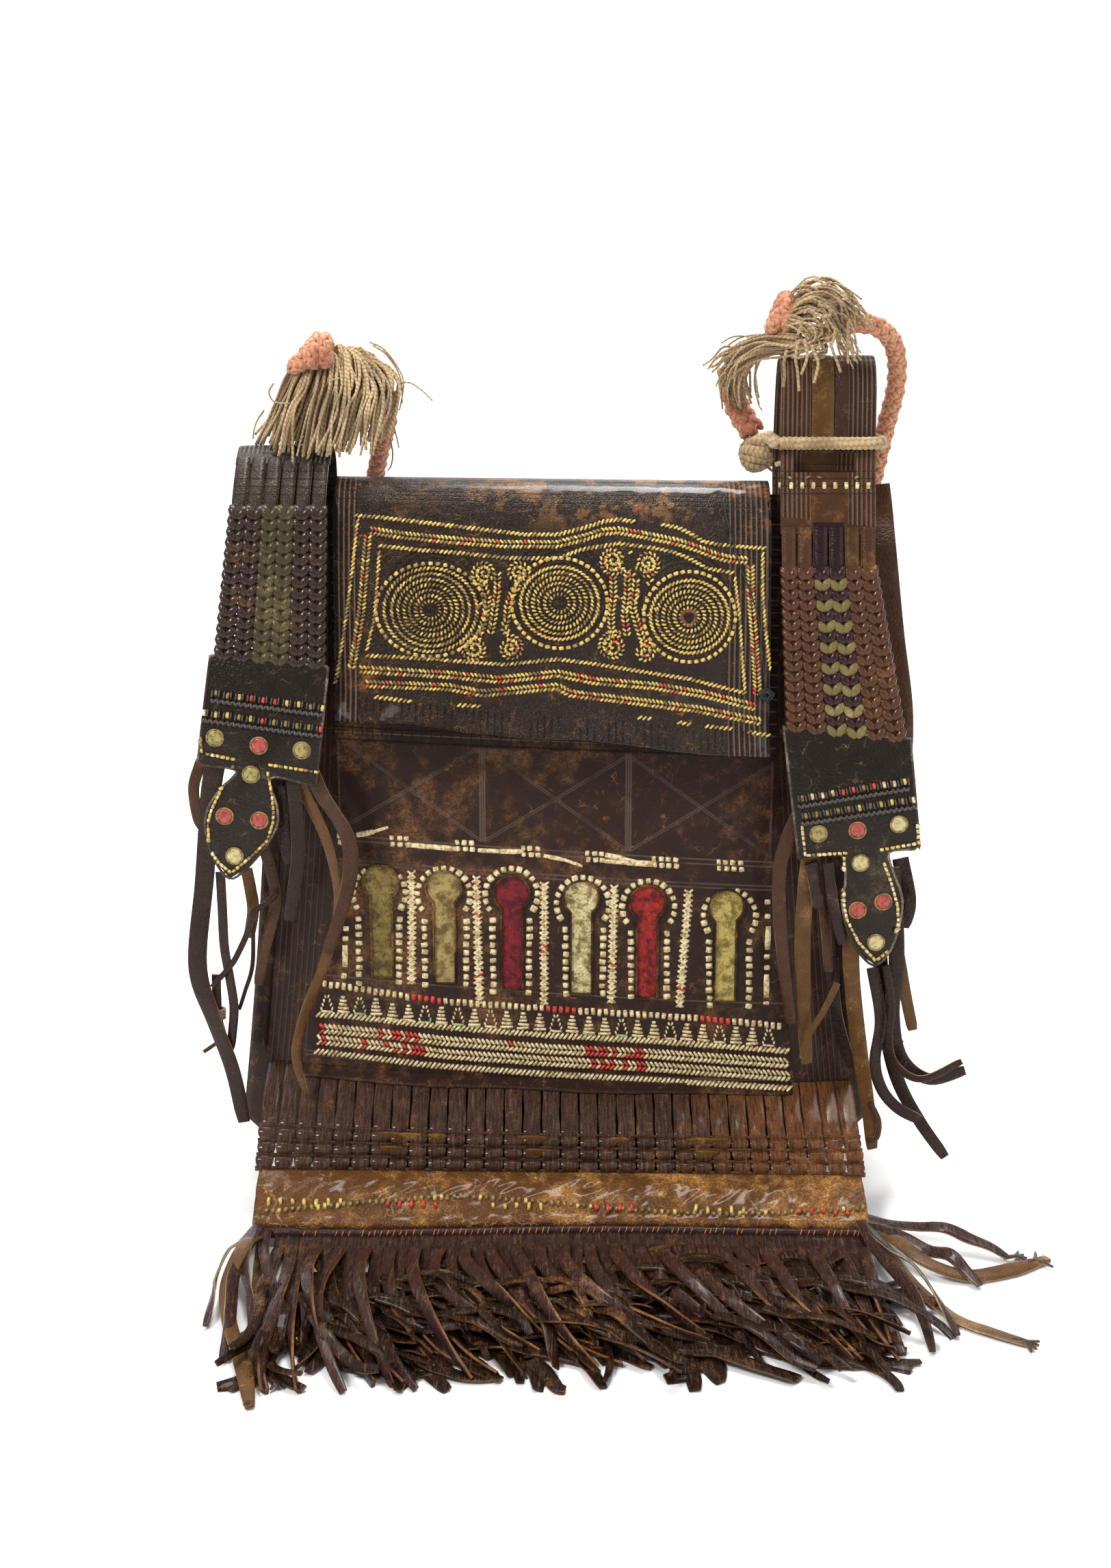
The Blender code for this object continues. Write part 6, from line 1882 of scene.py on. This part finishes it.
def dark_fingers(tree):
    parts = place_parts(tree)
    away = minus(parts["X"], RIGHT_HANGER_X)
    middle = times(between(away, -0.0092, 0.0092), reckon("LESS_THAN", parts["Z"], 0.4185))
    return middle, (0.026, 0.009, 0.012), (0.08, 0.03, 0.03)


STRAP_BROWN = leather("strap_brown", (0.088, 0.036, 0.017), (0.30, 0.13, 0.045), 0.22, 1100, 0.4, 0.0005,
    strap_lines, 0.45, dark_fingers)
STRAP_GOLD = leather("strap_gold", (0.135, 0.066, 0.020), (0.40, 0.22, 0.07), 0.30, 900, 0.4, 0.0005, None,
    0.35)
STRAP_DARK = leather("strap_dark", (0.036, 0.026, 0.018), (0.20, 0.15, 0.10), 0.22, 900, 0.8, 0.0006,
    strap_lines, 0.30)
STRAP_RIBBED = leather("strap_ribbed", (0.072, 0.030, 0.018), (0.24, 0.13, 0.07), 0.20, 900, 0.8, 0.0006,
    strap_lines, 0.30)


def strap_run(path, x, first, last, steps):
    """Points of a hanger's middle line, from one of its rows to another."""
    knots = []
    for y, z in path:
        knots.append(Vector((x, half_depth(x, z) + 0.0016 if y is None else y, z)))
    knots = [2 * knots[0] - knots[1]] + knots + [2 * knots[-1] - knots[-2]]
    points = []
    for step in range(steps):
        place = mix(first, last, step / (steps - 1))
        index = min(int(place), len(path) - 2)
        p0, p1, p2, p3 = knots[index:index + 4]
        t = place - index
        points.append(0.5 * (2 * p1 + (p2 - p0) * t + (2 * p0 - 5 * p1 + 4 * p2 - p3) * t * t
                             + (3 * p1 - 3 * p2 + p3 - p0) * t ** 3))
    return points


def strap_part(path, left, right, first, last, steps, round_end=0.0, arch=0.0, drop=0.0):
    """A run of the hanger's leather between two of its rows, left to right of its middle."""
    half = (right - left) / 2
    points = strap_run(path, (left + right) / 2, first, last, steps)
    frames = frames_along(points, (1, 0, 0))
    sizes = []
    for index, frame_here in enumerate(frames):
        left_over = (points[-1] - points[index]).length
        width = half
        if round_end and left_over < round_end:
            width = half * max(math.sqrt(max(1 - (1 - left_over / round_end) ** 2, 0)), 0.25)
        sizes.append((width, HANGER_LEATHER / 2 + arch))
        frames[index] = Matrix.Translation(frame_here.col[1].xyz * (arch * 0.6 + drop)) @ frame_here
    return edged(grown_mesh(frames, sizes, STRAP), ({0, 1}, {6, 7}), 10)


def fingers(path, middle, first, last):
    pitch = HANGER_WIDTH / 6
    parts = []
    for number in range(6):
        left = middle - HANGER_WIDTH / 2 + pitch * number
        parts.append(strap_part(path, left + 0.0006, left + pitch - 0.0006, first, last, 26, 0.0075, 0.0009))
    return parts


half = HANGER_WIDTH / 2
left_parts = [strap_part(LEFT_PATH, LEFT_HANGER_X - half, LEFT_HANGER_X + half, 0, 6.3, 70)]
left_parts += fingers(LEFT_PATH, LEFT_HANGER_X, 6.05, 9)
left_strap = gathered("hanger_left_strap", left_parts, [STRAP_DARK, PALE_EDGE], True, 50)
hand_over(left_strap, "dark_leather", "hanger_strap_left")

x = RIGHT_HANGER_X
right_parts = [strap_part(RIGHT_PATH, x - half, x + half, 0, 6, 60),
    strap_part(RIGHT_PATH, x - half, x - 0.0106, 5.9, 11.05, 60),
    strap_part(RIGHT_PATH, x - half, x - 0.0200, 11, 12.1, 12), strap_part(RIGHT_PATH, x + 0.0165, x + half,
        11, 12.1, 12), strap_part(RIGHT_PATH, x - half, x + half, 12, 15.3, 40)]
right_parts += fingers(RIGHT_PATH, x, 15.05, 17)
right_strap = gathered("hanger_right_strap", right_parts, [STRAP_BROWN, PALE_EDGE], True, 50)
hand_over(right_strap, "brown_leather", "hanger_strap_right")

for name, finish, left, right in (("gold", STRAP_GOLD, x - 0.0098, x + 0.0030),
        ("ribbed", STRAP_RIBBED, x + 0.0038, x + half)):
    strip = gathered(f"hanger_right_{name}_strip", [strap_part(RIGHT_PATH, left, right, 5.9, 11.05, 60)],
        [finish, CUT_HIDE], True, 50)
    hand_over(strip, "brown_leather")


# Plaits: six flat plaits hang from each hanger's fingers, drawn tight, so that their strands show as
# stacked rounded pads. The outer ones are glossy brown. The middle two are olive on the left hanger,
# and plum and pale olive by turns on the right one.

PLAIT_BROWN = leather("plait_brown", (0.100, 0.034, 0.013), (0.38, 0.15, 0.05), 0.16, 1300, 0.2, 0.0006,
    None, 1.0)
PLAIT_DARK = leather("plait_dark", (0.034, 0.016, 0.010), (0.20, 0.095, 0.045), 0.16, 1300, 0.3, 0.0006,
    None, 1.0)
PLAIT_OLIVE = leather("plait_olive", (0.072, 0.056, 0.024), (0.24, 0.19, 0.09), 0.30, 1000, 0.3, 0.0005,
    None, 0.5)
PLAIT_PALE = leather("plait_pale_olive", (0.24, 0.18, 0.065), (0.50, 0.42, 0.20), 0.35, 1000, 0.4, 0.0006,
    None, 0.3)
PLAIT_PLUM = leather("plait_plum", (0.040, 0.011, 0.016), (0.14, 0.05, 0.05), 0.15, 1300, 0.2, 0.0004, None,
    0.7)


def plait_lobes(top, bottom, top_width, low_width, lobes):
    """A flat plait: rounded pads lie over each other in pairs, like a row of arrowheads, on a thin core."""
    top, bottom = Vector(top), Vector(bottom)
    run = (bottom - top).normalized()
    side = (Vector((1, 0, 0)) - run * run.x).normalized()
    out = side.cross(run) if side.cross(run).y < 0 else run.cross(side)
    pitch = (bottom - top).length / lobes
    core = faced_frames([top.lerp(bottom, step / 8) + out * 0.0002 for step in range(9)], out)
    parts = [grown_mesh(core, [(mix(top_width, low_width, step / 8) * 0.40, 0.0008) for step in range(9)],
            ROUND_6)]
    for lobe in range(lobes):
        share = (lobe + 0.4) / lobes
        width = mix(top_width, low_width, share)
        for way in (-1, 1):
            lifted = 0.0003 if way > 0 else 0.0
            points = [top.lerp(bottom, share) + side * (way * width * across) + run * (pitch * drop) + out
                * (lift + lifted) for across, drop, lift in ((0.46, -0.72, 0.0002), (0.41, -0.34, 0.0011),
                    (0.26, 0.06, 0.0016), (0.08, 0.40, 0.0013), (-0.04, 0.62, 0.0003))]
            sizes = [(pitch * across, thick) for across,
                thick in ((0.20, 0.0006), (0.38, 0.0012), (0.44, 0.0014), (0.34, 0.0011), (0.12, 0.0005))]
            pad = grown_mesh(faced_frames(points, out), sizes, ROUND_8)
            pad.polygons.foreach_set("material_index", [lobe % 2] * len(pad.polygons))
            parts.append(pad)
    return parts


class HangerPlaces:
    def __init__(self, side, middle_x, finger_end, corners, tongue, discs, face_y):
        self.side, self.middle_x, self.finger_end = side, middle_x, finger_end
        self.corners, self.tongue, self.discs, self.face_y = corners, tongue, discs, face_y

    def face(self, z):
        return self.face_y - 0.05 * (self.corners[0][1] - z)

    def outline(self):
        top_left, top_right, low_right, low_left = self.corners
        return [top_left, low_left, *self.tongue, low_right, top_right]


LEFT_HANGER = HangerPlaces("left", LEFT_HANGER_X, LEFT_PATH[-1],
    ((-0.2008, 0.3450), (-0.1325, 0.3376), (-0.1414, 0.2664), (-0.2110, 0.2797)),
    ((-0.188, 0.2754), (-0.1985, 0.2640), (-0.2068, 0.2500), (-0.2072, 0.2370), (-0.2030, 0.2210),
        (-0.1945, 0.2098), (-0.1845, 0.2160), (-0.1730, 0.2290), (-0.1655, 0.2420), (-0.1650, 0.2540),
        (-0.1680, 0.2715)), ((-0.2000, 0.2955, "olive"), (-0.1743, 0.2909, "red"),
        (-0.1491, 0.2880, "olive"), (-0.1795, 0.2735, "olive"), (-0.1960, 0.2483, "red"),
        (-0.1755, 0.2458, "red"), (-0.1910, 0.2240, "pale")), -0.0577)
RIGHT_HANGER = HangerPlaces("right", RIGHT_HANGER_X, RIGHT_PATH[-1],
    ((0.1340, 0.3017), (0.2088, 0.2943), (0.2171, 0.2279), (0.1452, 0.2215)),
    ((0.1696, 0.2245), (0.1735, 0.2100), (0.1722, 0.1930), (0.1765, 0.1750), (0.1850, 0.1610),
        (0.1933, 0.1554), (0.2020, 0.1650), (0.2070, 0.1830), (0.2075, 0.1980), (0.2020, 0.2130),
        (0.1989, 0.2255)), ((0.1564, 0.2372, "olive"), (0.1795, 0.2393, "red"), (0.2040, 0.2430, "pale"),
        (0.1820, 0.2193, "pale"), (0.1812, 0.1901, "red"), (0.1965, 0.1953, "red"),
        (0.1930, 0.1700, "pale")), -0.0585)
for hanger in (LEFT_HANGER, RIGHT_HANGER):
    pitch = HANGER_WIDTH / 6
    (left_x, left_z), (right_x, right_z) = hanger.corners[:2]
    low_pitch = (right_x - left_x - 0.004) / 6
    end_y, end_z = hanger.finger_end
    on_left = hanger.side == "left"
    for number in range(6):
        top_x = hanger.middle_x - HANGER_WIDTH / 2 + pitch * (number + 0.5)
        low_x = left_x + 0.002 + low_pitch * (number + 0.5)
        low_z = mix(left_z, right_z, (low_x - left_x) / (right_x - left_x)) - 0.0030
        middle = number in (2, 3)
        parts = plait_lobes((top_x, end_y + 0.0006, end_z + 0.0025),
            (low_x, hanger.face(left_z) + 0.0012, low_z), pitch * 0.93, low_pitch * 0.93,
            14 if on_left else 16)
        if middle and not on_left:
            finishes = [PLAIT_PLUM, PLAIT_PALE]
        elif middle:
            finishes = [PLAIT_OLIVE, PLAIT_OLIVE]
        else:
            finishes = [PLAIT_DARK, PLAIT_DARK] if on_left else [PLAIT_BROWN, PLAIT_BROWN]
        piece = gathered(f"plait_{hanger.side}_{number + 1}_lobes", parts, finishes)
        hand_over(piece, "olive_hide" if middle else "brown_leather", f"plait_{hanger.side}_{number + 1}")


# Plates: two layers of black leather, stitched round with cream slips, with two rows of scallops
# across. Round windows in them show dyed hide, stretched over small pads.

PLATE_HIDE = leather("plate_hide", (0.020, 0.014, 0.010), (0.15, 0.105, 0.055), 0.12, 620, 1.0, 0.0009,
    None, 0.4)
PLATE_EDGE = leather("plate_edge", (0.060, 0.045, 0.032), (0.36, 0.30, 0.22), 0.5, 1500, 0.3, 0.0004, None,
    0.2)
DISC_RED = slip_finish("disc_red", (0.42, 0.055, 0.035), (0.22, 0.030, 0.022), (0.09, 0.035, 0.022), 0.4)
DISC_OLIVE = slip_finish("disc_olive", (0.34, 0.27, 0.075), (0.16, 0.13, 0.035), (0.06, 0.05, 0.02), 0.4)
DISC_PALE = slip_finish("disc_pale", (0.55, 0.47, 0.21), (0.36, 0.30, 0.12), (0.13, 0.11, 0.06), 0.4)
DISC_FINISHES = {"red": 0, "olive": 1, "pale": 2}
RIM_FINISH = 3
plate_trees = {}
for hanger in (LEFT_HANGER, RIGHT_HANGER):
    mesh = bmesh.new()
    face = mesh.faces.new([mesh.verts.new((x, 0.0, z)) for x, z in hanger.outline()])
    corners = [vert for vert in face.verts if (round(vert.co.x, 4), round(vert.co.z, 4)) in
               [(round(x, 4), round(z, 4)) for x, z in hanger.corners]]
    bmesh.ops.bevel(mesh, geom=corners, offset=0.004, segments=3, profile=0.5, affect="VERTICES")
    face = mesh.faces[:][0]
    rim = [vert.co.copy() for vert in face.verts]
    grown = bmesh.ops.extrude_face_region(mesh, geom=[face])["geom"]
    front_verts = [item for item in grown if isinstance(item, bmesh.types.BMVert)]
    bmesh.ops.translate(mesh, verts=front_verts, vec=(0, -0.0030, 0))
    bmesh.ops.recalc_face_normals(mesh, faces=mesh.faces)
    front_edges = [edge for edge in mesh.edges if all(vert in front_verts for vert in edge.verts)]
    bmesh.ops.bevel(mesh, geom=front_edges, offset=0.0007, segments=2, profile=0.5, affect="EDGES")
    for vert in mesh.verts:
        vert.co.y += hanger.face(vert.co.z) + 0.0028
    plate = finished(f"plate_{hanger.side}_leather", mesh, [PLATE_HIDE], True, 40)
    hand_over(plate, "dark_leather", f"plate_{hanger.side}", f"plate_backing_{hanger.side}")
    plate_trees[hanger.side] = surface_of(plate)
    edge_points = [Vector((co.x, hanger.face(co.z) + 0.0004, co.z)) for co in rim]
    edge_points.append(edge_points[0])
    edge_roll = thread(edge_points, 0.00085, 150, 1.0, ROUND_8)
    edge_piece = gathered(f"plate_{hanger.side}_edge", [edge_roll], [PLATE_EDGE])
    hand_over(edge_piece, "dark_leather")
    disc_parts = []
    for x, z, colour in hanger.discs:
        y = hanger.face(z)
        dome = [Matrix.Translation((x, y + depth, z)) @ Matrix.Rotation(math.radians(90), 4, "X")
                for depth in (0.0006, -0.0005, -0.0009, -0.0012)]
        for part, shown in ((grown_mesh(dome, [(r, r) for r in (0.0047, 0.0046, 0.0036, 0.0014)],
                        round_profile(20)), DISC_FINISHES[colour]),
                (thread([(x + 0.0050 * math.cos(math.tau * k / 16), y - 0.0004,
                            z + 0.0050 * math.sin(math.tau * k / 16)) for k in range(17)], 0.00055, 40,
                        1.0), RIM_FINISH)):
            part.polygons.foreach_set("material_index", [shown] * len(part.polygons))
            disc_parts.append(part)
    discs = gathered(f"plate_{hanger.side}_discs", disc_parts, [DISC_RED, DISC_OLIVE, DISC_PALE, DULL_SLIP])
    hand_over(discs, "red_hide")

DARK_SLIP = slip_finish("dark_slip", (0.050, 0.036, 0.026), (0.026, 0.018, 0.013), (0.12, 0.09, 0.05), 0.32)
SLIP_FINISHES += (DARK_SLIP,)
SCALLOP = 5
draw = random.Random(59)
slips = []


def windows_row(tree, first, last, colours):
    """A row of small framed windows of hide, with scallops of dark leather under them."""
    (x0, y0), (x1, y1) = first, last
    angle = math.degrees(math.atan2(y0 - y1, x1 - x0))
    for number, colour in enumerate(colours):
        share = (number + 0.5) / len(colours)
        x, y = mix(x0, x1, share), mix(y0, y1, share)
        slips.append((colour, laid(tree, x, y + jitter(1), angle + 90 + jitter(6), 9, 5.4, 0.0013)))
        for side in (-1, 1):
            slips.append((SCALLOP, laid(tree, x + side * 5.2, y, angle + 90, 12, 3.0, 0.0020)))
    for x, y, angle in spaced((first, last), 8.2):
        slips.append((SCALLOP, laid(tree, x, y + 11, angle - 42 + jitter(8), 9.5, 4.6, 0.0022)))
        slips.append((SCALLOP, laid(tree, x + 4.0, y + 11, angle + 42 + jitter(8), 9.0, 4.2, 0.0018)))


def edge_stitches(tree, points, pitch, colours=(CREAM, YELLOW, YELLOW, DULL)):
    for x, y, angle in spaced(points, pitch):
        slips.append((draw.choice(colours), laid(tree, x, y, angle + jitter(8), 6.2 + jitter(1),
                    4.4 + jitter(0.6), 0.0011)))


tree = plate_trees["left"]
windows_row(tree, (307, 1013), (480, 1036), (DULL, DULL, YELLOW, RED, RED, RED, YELLOW, YELLOW, DULL, YELLOW))
windows_row(tree, (290, 1041), (477, 1067), (CREAM, YELLOW, YELLOW, DULL, YELLOW, RED, DULL, DULL, DULL,
        DULL, RED))
edge_stitches(tree, ((300, 1102), (346, 1111)), 7.5)
edge_stitches(tree, ((392, 1118), (463, 1129)), 7.5)
edge_stitches(tree, ((342, 1118), (326, 1148), (309, 1185), (304, 1203), (306, 1240), (320, 1262),
        (337, 1275)), 7.2)
edge_stitches(tree, ((391, 1128), (397, 1160), (400, 1185), (399, 1203), (391, 1229), (368, 1252),
        (340, 1275)), 7.2)
edge_stitches(tree, ((291, 1062), (295, 1100)), 8.0, (YELLOW, DULL))
tree = plate_trees["right"]
windows_row(tree, (1165, 1169), (1330, 1142), (DULL, CREAM, CREAM, CREAM, RED, RED, DULL, RED, CREAM, CREAM,
        YELLOW))
windows_row(tree, (1170, 1194), (1343, 1168), (DULL, DULL, DULL, DULL, DULL, YELLOW, DULL, YELLOW, YELLOW,
        DULL, CREAM))
edge_stitches(tree, ((1172, 1207), (1177, 1251), (1241, 1247)), 7.6, (CREAM, CREAM, YELLOW, DULL))
edge_stitches(tree, ((1285, 1243), (1343, 1233), (1340, 1180)), 8.0, (CREAM, CREAM, YELLOW))
edge_stitches(tree, ((1234, 1252), (1233, 1320), (1238, 1345), (1255, 1378), (1278, 1403)), 7.6,
    (CREAM, CREAM, YELLOW))
edge_stitches(tree, ((1281, 1404), (1306, 1385), (1313, 1350), (1312, 1325), (1303, 1292), (1292, 1262)), 7.6,
              (CREAM, CREAM, YELLOW))
strap_tree = surface_of(right_strap)
for number in range(9):
    slips.append((CREAM, laid(strap_tree, 1140.5 + 16.1 * number, 710, 90 + jitter(5), 9.5, 6.0, 0.0012)))
slips.append((CREAM, laid(strap_tree, 1139, 678, 20, 13, 8.5, 0.0018)))
for x, y in ((1155, 699), (1180, 698), (1198, 698), (1252, 698)):
    slips.append((DULL, laid(strap_tree, x, y, jitter(30), 7, 4.0, 0.0009)))
plate_stitching = sewn("hanger_stitching", slips, "cream_hide", "bag")


# Thongs: long flat thongs cut from soft brown and gold brown leather. They hang behind each plate,
# with pale cut edges, and turn over as they fall.

THONG_BROWN = leather("thong_brown", (0.085, 0.036, 0.019), (0.27, 0.12, 0.05), 0.15, 650, 0.3, 0.0008,
    None, 0.3)
THONG_DARK = leather("thong_dark", (0.038, 0.021, 0.018), (0.17, 0.09, 0.06), 0.15, 650, 0.3, 0.0008, None,
    0.3)
THONGS = {"thong_left_1": (((-0.150, 0.290), (-0.140, 0.262), (-0.125, 0.2350), (-0.1235, 0.2100),
            (-0.131, 0.182), (-0.139, 0.160)), 0.0048, 0.0, THONG_BROWN, (0, 25, -20, 10)),
    "thong_left_2": (((-0.160, 0.292), (-0.150, 0.262), (-0.137, 0.228), (-0.132, 0.190), (-0.142, 0.150),
            (-0.154, 0.120), (-0.1610, 0.092), (-0.156, 0.066)), 0.0034, 0.0040, TAN_HIDE,
        (0, 20, 50, -20, 30)),
    "thong_left_3": (((-0.196, 0.300), (-0.2050, 0.262), (-0.2120, 0.206), (-0.2190, 0.150),
            (-0.2110, 0.115), (-0.2010, 0.082), (-0.1950, 0.046)), 0.0060, 0.0040, THONG_DARK,
        (0, 15, -15, 20, 0)), "thong_right_1": (((0.152, 0.262), (0.140, 0.235), (0.1345, 0.210),
            (0.1375, 0.165), (0.1445, 0.114)), 0.0042, 0.0, THONG_BROWN, (0, 10, -15, 20)),
    "thong_right_2": (((0.163, 0.252), (0.1530, 0.219), (0.1505, 0.170), (0.1525, 0.125), (0.1560, 0.086)),
        0.0052, 0.0040, TAN_HIDE, (0, -10, 10, -20)),
    "thong_right_3": (((0.180, 0.215), (0.179, 0.180), (0.180, 0.150), (0.186, 0.105), (0.194, 0.060),
            (0.198, 0.031)), 0.0052, 0.0, TAN_HIDE, (0, 10, 20, -10)),
    "thong_right_4": (((0.2012, 0.215), (0.2060, 0.180), (0.2090, 0.150), (0.2080, 0.115), (0.2150, 0.088),
            (0.2330, 0.074), (0.2550, 0.080)), 0.0050, 0.0090, THONG_DARK, (0, 10, -10, 15, 0)),
    "thong_right_5": (((0.1905, 0.215), (0.1960, 0.180), (0.2010, 0.145), (0.2060, 0.105), (0.2150, 0.070),
            (0.2300, 0.042), (0.2475, 0.017)), 0.0048, 0.0170, THONG_DARK, (0, -10, 10, 0)),}
for name, (route, half_width, set_back, finish, rolls) in THONGS.items():
    hanger = LEFT_HANGER if "left" in name else RIGHT_HANGER
    start_y = hanger.face(route[0][1]) + 0.0040
    points = [(x, start_y + set_back * min(step, 2) / 2, z) for step, (x, z) in enumerate(route)]
    widths = [half_width * value for value in (1.0, 1.04, 0.94, 0.96, 0.84, 0.74)]
    piece = gathered(name + "_strap", [ribbon(points, widths, 0.0018, 56, (0, -1, 0), rolls)],
        [finish, PALE_EDGE], True, 50)
    hand_over(piece, "tan_thongs" if finish is TAN_HIDE else "brown_leather", name)

# More thongs, slit from the same leather: their ways in the picture, depth, half width and leather
MORE_THONGS = ((((298, 1105), (291, 1122), (283, 1154), (289, 1195), (298, 1212)), -0.046, 0.0034, 0),
    (((304, 1200), (297, 1251), (294, 1315), (296, 1343)), -0.040, 0.0021, 1),
    (((322, 1275), (325, 1330), (328, 1385), (336, 1431), (342, 1472), (340, 1508), (337, 1534)), -0.050,
        0.0029, 1), (((316, 1425), (317, 1460), (319, 1492), (330, 1532), (343, 1592)), -0.046, 0.0028, 0),
    (((298, 1538), (307, 1532), (317, 1525)), -0.046, 0.0012, 0),
    (((360, 1270), (366, 1300), (370, 1331), (364, 1371)), -0.040, 0.0036, 2),
    (((405, 1306), (388, 1322), (370, 1335), (362, 1363), (350, 1390), (338, 1411), (310, 1443)), -0.052,
        0.0018, 1), (((370, 1347), (369, 1411), (358, 1450), (350, 1476)), -0.044, 0.0013, 1),
    (((384, 1235), (396, 1275), (403, 1315), (394, 1360), (385, 1395), (378, 1440)), -0.046, 0.0034, 0),
    (((428, 1142), (434, 1200), (436, 1251), (430, 1300), (423, 1346)), -0.058, 0.0040, 1),
    (((408, 1150), (412, 1200), (418, 1240), (424, 1262)), -0.054, 0.0036, 1),
    (((1186, 1262), (1192, 1290), (1198, 1328)), -0.058, 0.0042, 1),
    (((1211, 1262), (1217, 1318), (1231, 1380)), -0.062, 0.0031, 1),
    (((1203, 1325), (1208, 1370), (1211, 1421)), -0.052, 0.0030, 0),
    (((1218, 1400), (1220, 1462), (1228, 1507), (1245, 1560)), -0.046, 0.0034, 1),
    (((1275, 1415), (1287, 1490), (1279, 1552), (1289, 1593), (1313, 1621), (1345, 1638)), -0.052, 0.0036,
        1), (((1295, 1412), (1303, 1473), (1299, 1524), (1311, 1559), (1348, 1578), (1406, 1552)), -0.056,
        0.0024, 1), (((1314, 1398), (1324, 1456), (1334, 1506)), -0.046, 0.0036, 2),
    (((1316, 1255), (1327, 1318), (1319, 1356)), -0.044, 0.0050, 1),
    (((1291, 1537), (1305, 1528), (1319, 1520)), -0.046, 0.0022, 0),
    (((1224, 1438), (1204, 1478), (1182, 1514), (1172, 1547)), -0.060, 0.0019, 2),
    (((1272, 1612), (1284, 1640), (1281, 1664), (1268, 1666)), -0.060, 0.0018, 0))
more_parts = []
for number, (way, depth, half_width, shown) in enumerate(MORE_THONGS):
    points = [at(px, py, depth) for px, py in way]
    part = ribbon(points, (half_width, half_width * 1.05, half_width * 0.95), 0.0016, 8 * len(way),
        (0, -1, 0), (0, 18 * (-1) ** number, 0))
    faces = len(part.polygons)
    edges = [0] * faces
    part.polygons.foreach_get("material_index", edges)
    part.polygons.foreach_set("material_index", [3 if edge else shown for edge in edges])
    more_parts.append(part)
more_thongs = gathered("more_thongs", more_parts, [THONG_BROWN, THONG_DARK, TAN_HIDE, PALE_EDGE], True, 50)
hand_over(more_thongs, "brown_leather")
whipping = [thread([at(317, 1476 + 4 * turn, -0.046)
            + Vector((0.0050 * math.cos(math.tau * step / 12), 0.0034 * math.sin(math.tau * step / 12),
                0.0)) for step in range(13)], 0.0009, 30, 1.0) for turn in range(4)]
whipping = gathered("thong_whipping", whipping, [UNDYED_YARN])
hand_over(whipping, "undyed_cord")

strap_edge = RIGHT_HANGER_X + HANGER_WIDTH / 2
back_y = RIGHT_HANGER.face(0.280) + 0.0040
back_points = ((strap_edge + 0.0083, 0.0190, 0.4350), (0.1972, 0.0120, 0.4180), (0.1970, -0.0080, 0.3955),
    (0.2005, -0.0260, 0.3500), (0.2045, -0.0420, 0.3100), (0.2030, back_y, 0.2800),
    (0.2010, back_y, 0.2600))
back_strap = gathered("back_strap_leather", [ribbon(back_points, (0.0080, 0.0080), 0.0018, 50, (0, -1, 0))],
                      [THONG_BROWN, OCHRE_HIDE], True, 50)
hand_over(back_strap, "brown_leather", "back_strap_right")
